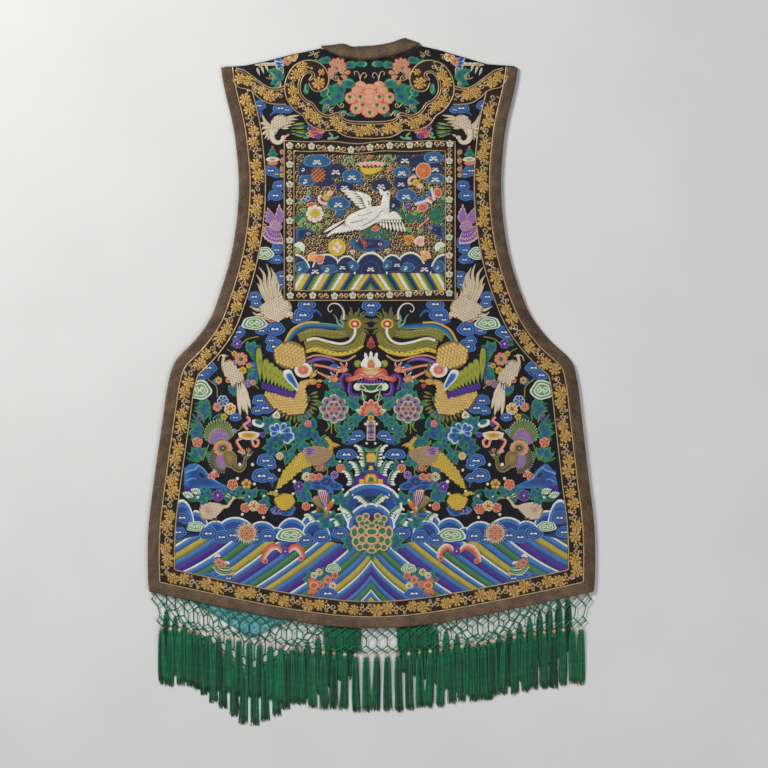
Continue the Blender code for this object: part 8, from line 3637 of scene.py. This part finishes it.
    def legs(self, work: Work, side: Place) -> None:
        """Work the ball, the stretched legs and their claws.

        Args:
            work: The piece that it is worked on.
            side: The side's own place.
        """
        pink = [(-1, Silk.CORAL), (-0.2, Silk.PEACH), (0.3, Silk.PEACH), (1, Silk.CORAL)]
        self.strip(work, side, [(-100, 30), (-80, 27), (-60, 22), (-46, 19), (-40, 23)], (3, 2, 2, 2.6, 3),
                   pink, 0.6)
        self.strip(work, side, [(-100, 22), (-86, 16), (-72, 9), (-60, 3), (-56, 8)], (3, 2, 2, 2.6, 3), pink,
                   0.6)
        for u, v in ((-44, 22), (-60, 6)):
            for turn, reach in ((30, 12), (70, 11), (110, 10), (-20, 10)):
                work.patch(side.at(u, v, turn), petal(reach, 4, 0.3), Dye.CORAL.value, 0.5, 0.7)
                work.patch(side.at(u, v, turn).at(0.6, reach * 0.8, 24), petal(4.6, 2.2, 0.2),
                           only(Silk.WHITE), 0.4, 0.9)
        work.patch(side, oval(14.5, 12.5, 20, -112.5, 21),
                   [(0, Silk.WHITE), (0.3, Silk.WHITE), (0.3, Silk.BLUSH),
                    (0.5, Silk.PEACH), (0.5, Silk.CORAL), (1, Silk.PEACH)], 1.2, 1.3)
        self.strip(work, side, [(-98, 34), (-95, 24), (-99, 12)], 2.4,
                   [(-1, Silk.MOSS), (0, Silk.JADE), (1, Silk.MOSS)], 0.9)
        work.patch(side.at(-155, -45, 170), petal(14, 13, 0.9), Dye.CREAM.value, 0.7, 0.5)

    def build(self) -> list[bpy.types.Object]:
        """Work both birds.

        Returns:
            The pieces.
        """
        gold, silk = Work(self.form, self.lay), Work(self.form, self.lay - 0.1)
        for side in SIDES:
            self.tail(silk, side)
            self.body(gold, silk, side)
            self.wing(silk, side)
            self.legs(silk, side)
        return [silk.finish("phoenix_silks", [FLOSS], "navy_satin"),
                gold.finish("phoenix_gold", [GILT_THREAD], "navy_satin")]


@dataclass
class MiddleColumn:
    """The emblems down the middle of the back: flame, canopy, lotus and the knotted pendant."""

    form: VestForm

    @staticmethod
    def both(half: Sequence[Flat]) -> list[Flat]:
        """Complete an outline from its right-hand half, whose ends stand on the middle line."""
        return list(half) + [(-u, v) for u, v in reversed(half[1:-1])]

    def flame(self, work: Work, mid: Place) -> None:
        """Work the red petals, and the flame under them.

        Args:
            work: The piece that it is worked on.
            mid: The middle line's own place.
        """
        for turn, reach in ((0, 19), (28, 12), (-28, 12), (65, 9), (-65, 9)):
            work.patch(mid.at(0, 58, turn), petal(reach, reach * 0.42, 0.3), [(0, Silk.RED), (1, Silk.CORAL)],
                       0.5, 0.5)
        work.patch(mid.at(0, 62), oval(6, 6, 12), [(0, Silk.CORAL), (0.4, Silk.INK), (1, Silk.CORAL)], 0.5,
                   0.8)
        flame = ((0, 52.5), (2.6, 49), (3, 43), (5.5, 40.5), (7.5, 43), (7, 48), (10.5, 50), (11.5, 45),
                 (10.5, 41), (13, 38), (16.5, 33), (16.5, 27), (13, 24), (8, 22.5), (0, 22))
        work.patch(mid, self.both(flame), Dye.WHITE.value, 0.6, 0.9, centre=(0, 32))
        work.patch(mid, self.both(((0, 39.5), (4, 37), (6.5, 31), (6, 24), (0, 24))),
                   [(0, Silk.AMBER), (0.25, Silk.STRAW), (0.25, Silk.CORAL), (1, Silk.PEACH)], 0.6, 1.3)

    def canopy(self, work: Work, mid: Place) -> None:
        """Work the canopy, its pearls and the purple petals under it.

        Args:
            work: The piece that it is worked on.
            mid: The middle line's own place.
        """
        canopy = ((0, 18.6), (8.3, 21), (14.9, 24.7), (21.5, 24.3), (26.4, 19.4), (28.9, 12), (33, 6.4),
                  (37.5, 6), (39.4, 9.8), (42.8, 8.6), (41.8, 3.4), (37.1, 0.7), (31.4, 1.6), (27.2, 5.6),
                  (21.5, 4.8), (14.9, 7.3), (8.3, 4.5), (0, 3))
        work.patch(mid, self.both(canopy), [(0, Silk.RED), (0.14, Silk.CORAL), (0.5, Silk.PEACH),
                                            (1, Silk.BLUSH)],
                   0.8, 0.8, centre=(0, 12))
        for line in (((-26, 13), (-21, 18), (-13, 16), (-7, 11), (0, 13), (7, 11), (13, 16), (21, 18),
                      (26, 13)),
                     ((-24, 8), (-15, 11), (-8, 8), (0, 7), (8, 8), (15, 11), (24, 8))):
            work.ribbon(mid, flow(line, 3), 0.9, [(-1, Silk.RED), (0, Silk.CORAL), (1, Silk.RED)], 0.4, 1.5)
        work.ribbon(mid, flow([(-14, 25.5), (-8, 21.5), (0, 20), (8, 21.5), (14, 25.5)], 3), 2.5,
                    [(-1, Silk.AMBER), (0, Silk.STRAW), (1, Silk.AMBER)], 0.7, 1.5)
        for k in range(9):
            work.dot(mid, -12 + 3 * k, 17.2, 1.2, Silk.WHITE, 1.7, 6)
        for k in range(9):
            work.patch(mid.at(-20 + 5 * k, 6.5, 180), petal(8.5, 3.8, 0.7), Dye.PURPLE.value, 0.4, 0.9)

    def lotus_bowl(self, work: Work, mid: Place) -> None:
        """Work the bowl, and the two lotuses and the purple pendant that hang from it.

        Args:
            work: The piece that it is worked on.
            mid: The middle line's own place.
        """
        needle = Needle(work)
        bowl = ((0, -2.1), (11.6, -1.2), (18.2, -0.1), (24.8, -0.7), (28, -3.2), (29.2, -6.8), (27.2, -11.1),
                (22.3, -13.4), (14.9, -11.8), (8.3, -14.9), (0, -16.7))
        work.patch(mid, self.both(bowl), [(0, Silk.MINT), (0.05, Silk.WHITE), (0.34, Silk.IVORY),
                                          (0.36, Silk.MEADOW),
                                          (0.7, Silk.MOSS), (1, Silk.MOSS)], 0.6, 0.75, centre=(0, -7.4))
        work.patch(mid, self.both(((0, -3.4), (7, -4), (4.6, -8.8), (0, -10.6))),
                   [(0, Silk.JADE), (1, Silk.BOTTLE)], 0.3, 1.35)
        needle.lotus(mid.at(0, -52), 25, Dye.CORAL, 0.6)
        needle.lotus(mid.at(0, -50), 15, Dye.PEACH, 1.0)
        work.patch(mid, [(-7, -95), (-7, -62), (7, -62), (7, -95)], Dye.GREY.value, 0.7, 0.5, centre=(0, -78))
        for k in range(6):
            work.patch(mid, oval(6.4, 2.0, 9, 0, -66 - 5.2 * k), (Dye.PURPLE if k % 2 else Dye.GREY).value,
                       0.4, 0.9)
        needle.blossom(mid.at(0, -58), 6, Dye.STRAW, 6, Silk.CORAL, 0.9)

    def flank(self, work: Work, side: Place) -> None:
        """Work what stands beside the column: lime disc, ribbons, ring, strings and leaves.

        Args:
            work: The piece that it is worked on.
            side: The side's own place.
        """
        needle = Needle(work)
        work.patch(side.at(-22, 31.4), oval(6.6, 6.4, 12), Dye.LIME.value, 0.6, 0.6)
        work.dot(side, -19.4, 29.4, 1.6, Silk.BOTTLE, 1.1, 7)
        for line, half in ((((-33, 10), (-38, 13), (-45, 12.5), (-49, 7), (-48.5, -1), (-46.5, -7),
                             (-43.5, -12)),
                            (2.4, 2.7, 2.9, 2.9, 2.9, 2.7, 1.9)),
                           (((-33.5, 0), (-35, -7), (-35.5, -13), (-32, -19.5), (-26, -21.5), (-20, -20)),
                            (2.8, 3.1, 3.4, 3.7, 3.3, 2.0))):
            work.ribbon(side, line, list(half), [(-1, Silk.LILAC), (0, Silk.PLUM), (1, Silk.PLUM)], 0.6, 0.4)
        ring = [(-12.5 + 4.3 * math.cos(0.63 * k), -23.9 + 4.3 * math.sin(0.63 * k)) for k in range(10)]
        work.ribbon(side, ring, 1.9, [(-1, Silk.MOSS), (0, Silk.MEADOW), (1, Silk.MINT)], 0.5, 0.5,
                    closed=True)
        work.ribbon(side, flow([(-14.9, -12.8), (-13.4, -21), (-12, -28), (-9, -36)], 4), 0.7,
                    [(-1, Silk.IVORY), (1, Silk.WHITE)], 0.3, 1.1)
        work.ribbon(side, ((-15.5, -3.2), (-12, -6.4), (-8.5, -10.4)), 0.7,
                    [(-1, Silk.IVORY), (1, Silk.WHITE)], 0.3, 1.5)
        needle.leaf(side.at(-40, -25, 58), 28, 14, Dye.LEAF, 0.5)
        needle.leaf(side.at(-21, -45, 45), 27, 15, Dye.LEAF, 0.5)
        needle.leaf(side.at(-10, -50, 70), 17, 9, Dye.CREAM, 0.6)
        needle.leaf(side.at(-9, -54, 100), 14, 8, Dye.LEAF, 0.5)

    def openwork(self, work: Work, place: Place) -> None:
        """Work the tan peony: lobes with a thick pale rim round a green middle, two tufts of them on top.

        Args:
            work: The piece that it is worked on.
            place: Where it is worked.
        """
        stops = [(0, Silk.BARK), (0.08, Silk.SAND), (0.22, Silk.PALE_GILT), (0.46, Silk.PEACH),
                 (0.46, Silk.MOSS), (0.75, Silk.EMERALD), (1, Silk.BOTTLE)]
        half = ((28.5, 8, 7.8, 12), (17.5, 10.5, 8.6, 9.4), (26, -7.5, 7.6, 10.5), (15.5, -3.5, 8.6, 8.6),
                (9.5, -15, 9.6, 7.4), (20, -16.5, 7.6, 7), (20, 30, 7, 7.2), (9.5, 34.5, 6.6, 6.2),
                (15.5, 22.5, 7.6, 6.4), (7.5, 24, 6.4, 6))
        middle = ((0, 19, 9, 6), (0, 9, 13.5, 8), (0, -4.5, 13.5, 9.4), (0, -22, 9.5, 5.6))
        for k, (u, v, wide, high) in enumerate(half + middle):
            for hand in ((-1, 1) if u else (1,)):
                work.patch(place.at(hand * u, v), scalloped(wide, high, 6, 0.07), stops, 0.6, 0.8 + 0.06 * k)

    def medallion(self, work: Work, side: Place) -> None:
        """Work the round flower in its wreath of commas.

        Args:
            work: The piece that it is worked on.
            side: The side's own place.
        """
        medal = side.at(-205.5, -248)
        for k in range(24):
            tip = medal.at(0, 0, 15 * k).at(0, 15.5)
            work.cord(tip, [(-0.4, -2.4), (1.0, 0.8), (0.2, 3.0), (-1.2, 2.4)], 0.75, Silk.BLUSH if k % 2
                      else Silk.MINT, 0.6)
            work.dot(medal.at(0, 0, 15 * k + 7), 0, 14.6, 1.0, Silk.WHITE, 0.8, 6)
        work.patch(medal, scalloped(14.5, 14.5, 6, 0.14),
                   [(0, Silk.SAND), (0.14, Silk.BLUSH), (0.14, Silk.PEACH),
                    (1, Silk.CORAL)], 0.5, 0.6)
        for k in range(6):
            lobe = medal.at(0, 0, 60 * k).at(0, 7.6)
            work.patch(lobe, oval(4.6, 4.6, 10), Dye.PEACH.value, 0.6, 0.95)
            work.dot(lobe, 0, 0.6, 1.8, Silk.MEADOW, 1.5, 7)
        work.dot(medal, 0, 0, 3.8, Silk.CORAL, 1.5, 9, Silk.PEACH)

    def ribbons(self, work: Work, side: Place) -> None:
        """Work the yellow shape, the white one with its leaf, and the ribbons round them.

        Args:
            work: The piece that it is worked on.
            side: The side's own place.
        """
        work.patch(side.at(-202, -86), [(-18, 3), (-16, -4), (-6, -8), (8, -8), (16, -3), (18, 3), (6, 6),
                                        (-8, 6)],
                   Dye.YELLOW.value, 0.7, 0.6)
        work.patch(side.at(-187, -67, -20), scalloped(11, 6.5, 5, 0.15), Dye.WHITE.value, 0.6, 0.8)
        work.patch(side.at(-186, -65, -20), oval(7, 4.4, 10), Dye.LEAF.value, 0.5, 1.2)
        for path in (((-206, -56), (-201, -62), (-210, -70), (-204, -78)),
                     ((-210, -90), (-222, -96), (-216, -108), (-210, -116), (-220, -112)),
                     ((-198, -92), (-194, -104), (-188, -104), (-186, -96), (-192, -92))):
            work.ribbon(side, flow(path, 2.5), 2.3, [(-1, Silk.CORAL), (0, Silk.PEACH), (1, Silk.BLUSH)], 0.5,
                        0.5)

    def stack(self, work: Work, side: Place) -> None:
        """Work the stack of ovals near the shoulder, with its petal, its flowers and its ribbons.

        Args:
            work: The piece that it is worked on.
            side: The side's own place.
        """
        needle = Needle(work)
        for v, wide, dye in ((376, 8.5, Dye.LEAF), (382, 5.5, Dye.GRASS), (368, 11.5, Dye.CREAM),
                             (362, 9.5, Dye.PEACH)):
            work.patch(side.at(-163, v), oval(wide, 4.2, 12), dye.value, 0.6, 0.3 + 0.01 * (390 - v))
        work.patch(side.at(-163, 383), petal(8, 5, 0.4), [(0, Silk.RED), (1, Silk.CORAL)], 0.5, 0.5)
        for v in (380, 366, 352, 342):
            needle.blossom(side.at(-147, v), 4.2, Dye.CORAL if v > 350 else Dye.STRAW, 5, layer=0.3)
        for path in (((-148, 372), (-144, 364), (-150, 356), (-146, 348)),
                     ((-150, 384), (-144, 376), (-146, 370))):
            work.ribbon(side, flow(path, 2), 1.2, [(-1, Silk.MOSS), (1, Silk.LIME)], 0.4, 0.2)

    def bat(self, work: Work, side: Place) -> None:
        """Work the bat: two wings with a flower at each tip and one for the body.

        Args:
            work: The piece that it is worked on.
            side: The side's own place.
        """
        needle = Needle(work)
        bat = side.at(-142, -276)
        for path in (((-38, -20), (-33, -6), (-24, 4), (-13, 5), (-5, -3)),
                     ((5, -3), (11, 4), (19, 5), (26, -2), (30, -14))):
            line = flow(path, 3)
            halves = [3.0 + 2.6 * math.sin(math.pi * k / (len(line) - 1)) for k in range(len(line))]
            work.ribbon(bat, line, halves, [(-1, Silk.WHITE), (-0.6, Silk.BLUSH), (-0.1, Silk.PEACH),
                                            (0.4, Silk.CORAL), (1, Silk.CORAL)], 0.7, 0.6)
        for u, v in ((-33, -18), (26, -14)):
            needle.blossom(bat.at(u, v), 4.6, Dye.CORAL, 5, Silk.PLUM, 0.9)
        needle.blossom(bat.at(0, -2), 7.0, Dye.PURPLE, 7, Silk.WHITE, 0.9)

    def basket(self, work: Work, side: Place) -> None:
        """Work the basket of green bands with its flowers.

        Args:
            work: The piece that it is worked on.
            side: The side's own place.
        """
        needle = Needle(work)
        spot = side.at(-247, -306)
        for k, silk in enumerate((Silk.WHITE, Silk.MEADOW, Silk.MINT, Silk.MOSS, Silk.WHITE, Silk.MEADOW,
                                  Silk.MINT)):
            arc = [(-14.5 + 0.4 * k, 3.6 + 2.1 * k), (-4.6 + 0.3 * k, -8 + 1.9 * k), (8.6, -10.4 + 1.9 * k),
                   (20 - 1.1 * k, -6.3 + 1.3 * k)]
            work.ribbon(spot, flow(arc, 3), 1.15, [(-1, blend(silk.value, Silk.INK.value, 0.3)), (1, silk)],
                        0.4, 0.5)
        for u, v, size in ((-4.6, 9.5, 7.5), (3.4, 6.4, 6.5), (-1.5, 3.6, 4.5)):
            needle.blossom(spot.at(u, v), size, Dye.PEACH, 5, Silk.CORAL, 0.9)
        for u, v in ((-7, 19), (8.6, 7)):
            for turn in (30, 85, -20, -70):
                work.patch(spot.at(u, v, turn), petal(5.6, 3.2, 0.8), [(0, Silk.IVORY), (0.3, Silk.WHITE),
                                                                     (1, Silk.WHITE)], 0.5, 1.0)

    def fish(self, work: Work, side: Place) -> None:
        """Work the low clouds, the fish with its fins, and the swirl and the flower over it.

        Args:
            work: The piece that it is worked on.
            side: The side's own place.
        """
        needle = Needle(work)
        for u, v, size in ((-271, -321, 1.0), (-247, -326, 1.15), (-72, -347, 1.2), (-236, -322, 0.8)):
            needle.cloud_lobe(side.at(u, v), 14 * size, 7.5 * size, layer=0.4)
        fish = side.at(-95, -334)
        for turn, reach in ((150, 18), (175, 15), (200, 14), (40, 14), (10, 12), (-30, 10)):
            work.patch(fish.at(0, 0, turn), petal(reach, 8, 0.6), [(0, Silk.CORAL), (1, Silk.AMBER)], 0.5,
                       0.7)
        work.patch(fish, oval(8, 6, 12), Dye.CORAL.value, 0.7, 1.0)
        needle.swirl(side.at(-63, -306), 0.85, 0.6)
        needle.blossom(side.at(-60, -318), 6, Dye.CORAL, 6, Silk.JADE, 0.6)

    def low_emblems(self, work: Work) -> None:
        """Work what lies over the waves and the stripes: openwork peony, medallions, bats, baskets and fish.

        Args:
            work: The piece that it is worked on.
        """
        needle = Needle(work)
        self.openwork(work, Place().at(0.4, -254.5))
        needle.leaves(Place().at(-30, -262, 100), 4, 22, 110, Dye.LEAF, 0.6)
        needle.leaves(Place().at(34, -262, -100), 4, 22, 110, Dye.LEAF, 0.6)
        needle.leaves(Place().at(1, -276, 180), 3, 18, 110, Dye.LEAF, 0.6)
        for side in SIDES:
            self.medallion(work, side)
            self.ribbons(work, side)
            self.stack(work, side)
            self.bat(work, side)
            self.basket(work, side)
            self.fish(work, side)

    def build(self) -> list[bpy.types.Object]:
        """Work the column and the low emblems beside it.

        Returns:
            The pieces.
        """
        work, low = Work(self.form, 0.5), Work(self.form, 0.75, INNER)
        mid = Place(x=AXIS)
        self.flame(work, mid)
        self.canopy(work, mid)
        self.lotus_bowl(work, mid)
        for hand in (-1, 1):
            self.flank(work, Place(hand, 0.0, 0.0, 1.0, AXIS, 0.0))
        self.low_emblems(low)
        return [work.finish("middle_emblems", [FLOSS], "navy_satin"),
                low.finish("low_emblems", [FLOSS], "navy_satin")]


# ---------------------------------------------------------------- studio
@dataclass
class Studio:
    """A pale floor, soft lamps from the upper left and a camera straight above."""

    middle: tuple = (0.0206, -0.0021)
    field_width: float = 1.267
    distance: float = 7.0
    sensor: float = 36.0
    floor_half: float = 6.0

    def build(self) -> None:
        """Make the floor, the lamps, the sky and the camera."""
        scene = bpy.context.scene
        half = self.floor_half
        data = bpy.data.meshes.new("floor")
        data.from_pydata([(-half, -half, 0), (half, -half, 0), (half, half, 0), (-half, half, 0)], [],
                         [(0, 1, 2, 3)])
        data.materials.append(PALE_FLOOR.make())
        floor = bpy.data.objects.new("floor", data)
        scene.collection.objects.link(floor)
        self.lamp("key", (-1.7, 1.5, 2.0), 1.0, 62.0)
        self.lamp("fill", (1.6, -1.2, 2.6), 2.2, 31.0)
        world = bpy.data.worlds.new("sky")
        world.use_nodes = True
        ground = world.node_tree.nodes["Background"]
        ground.inputs[0].default_value = (*linear("#dfe3ea"), 1.0)
        ground.inputs[1].default_value = 0.2
        scene.world = world
        scene.view_settings.view_transform = "Standard"
        eye = bpy.data.cameras.new("camera")
        eye.sensor_width = self.sensor
        eye.lens = self.sensor * self.distance / self.field_width
        eye.clip_end = 50.0
        camera = bpy.data.objects.new("camera", eye)
        camera.location = (*self.middle, self.distance)
        scene.collection.objects.link(camera)
        scene.camera = camera

    def lamp(self, name: str, spot: tuple[float, float, float], size: float, power: float) -> None:
        """Hang a square soft lamp that faces the vest.

        Args:
            name: Its name.
            spot: Where it hangs.
            size: How wide it is.
            power: Its power.
        """
        light = bpy.data.lights.new(name, "AREA")
        light.size = size
        light.energy = power
        made = bpy.data.objects.new(name, light)
        made.location = spot
        made.rotation_mode = "QUATERNION"
        made.rotation_quaternion = (-made.location).to_track_quat("-Z", "Y")
        bpy.context.scene.collection.objects.link(made)


def main() -> None:
    """Build the vest piece by piece and light it."""
    logging.basicConfig(level=logging.INFO, format="%(message)s")
    form = VestForm()
    Studio().build()
    ClothPanels(form).build()
    EdgeTrims(form).build()
    RimOrnament(form).build()
    Yoke(form).build()
    Sea(form).build()
    RankBadge(form).build()
    CloudBanks(form).build()
    Garden(form).build()
    YokeFilling(form).build()
    Aviary(form).build()
    Phoenix(form).build()
    MiddleColumn(form).build()
    Fringe(form).build()


if __name__ == "__main__":
    main()
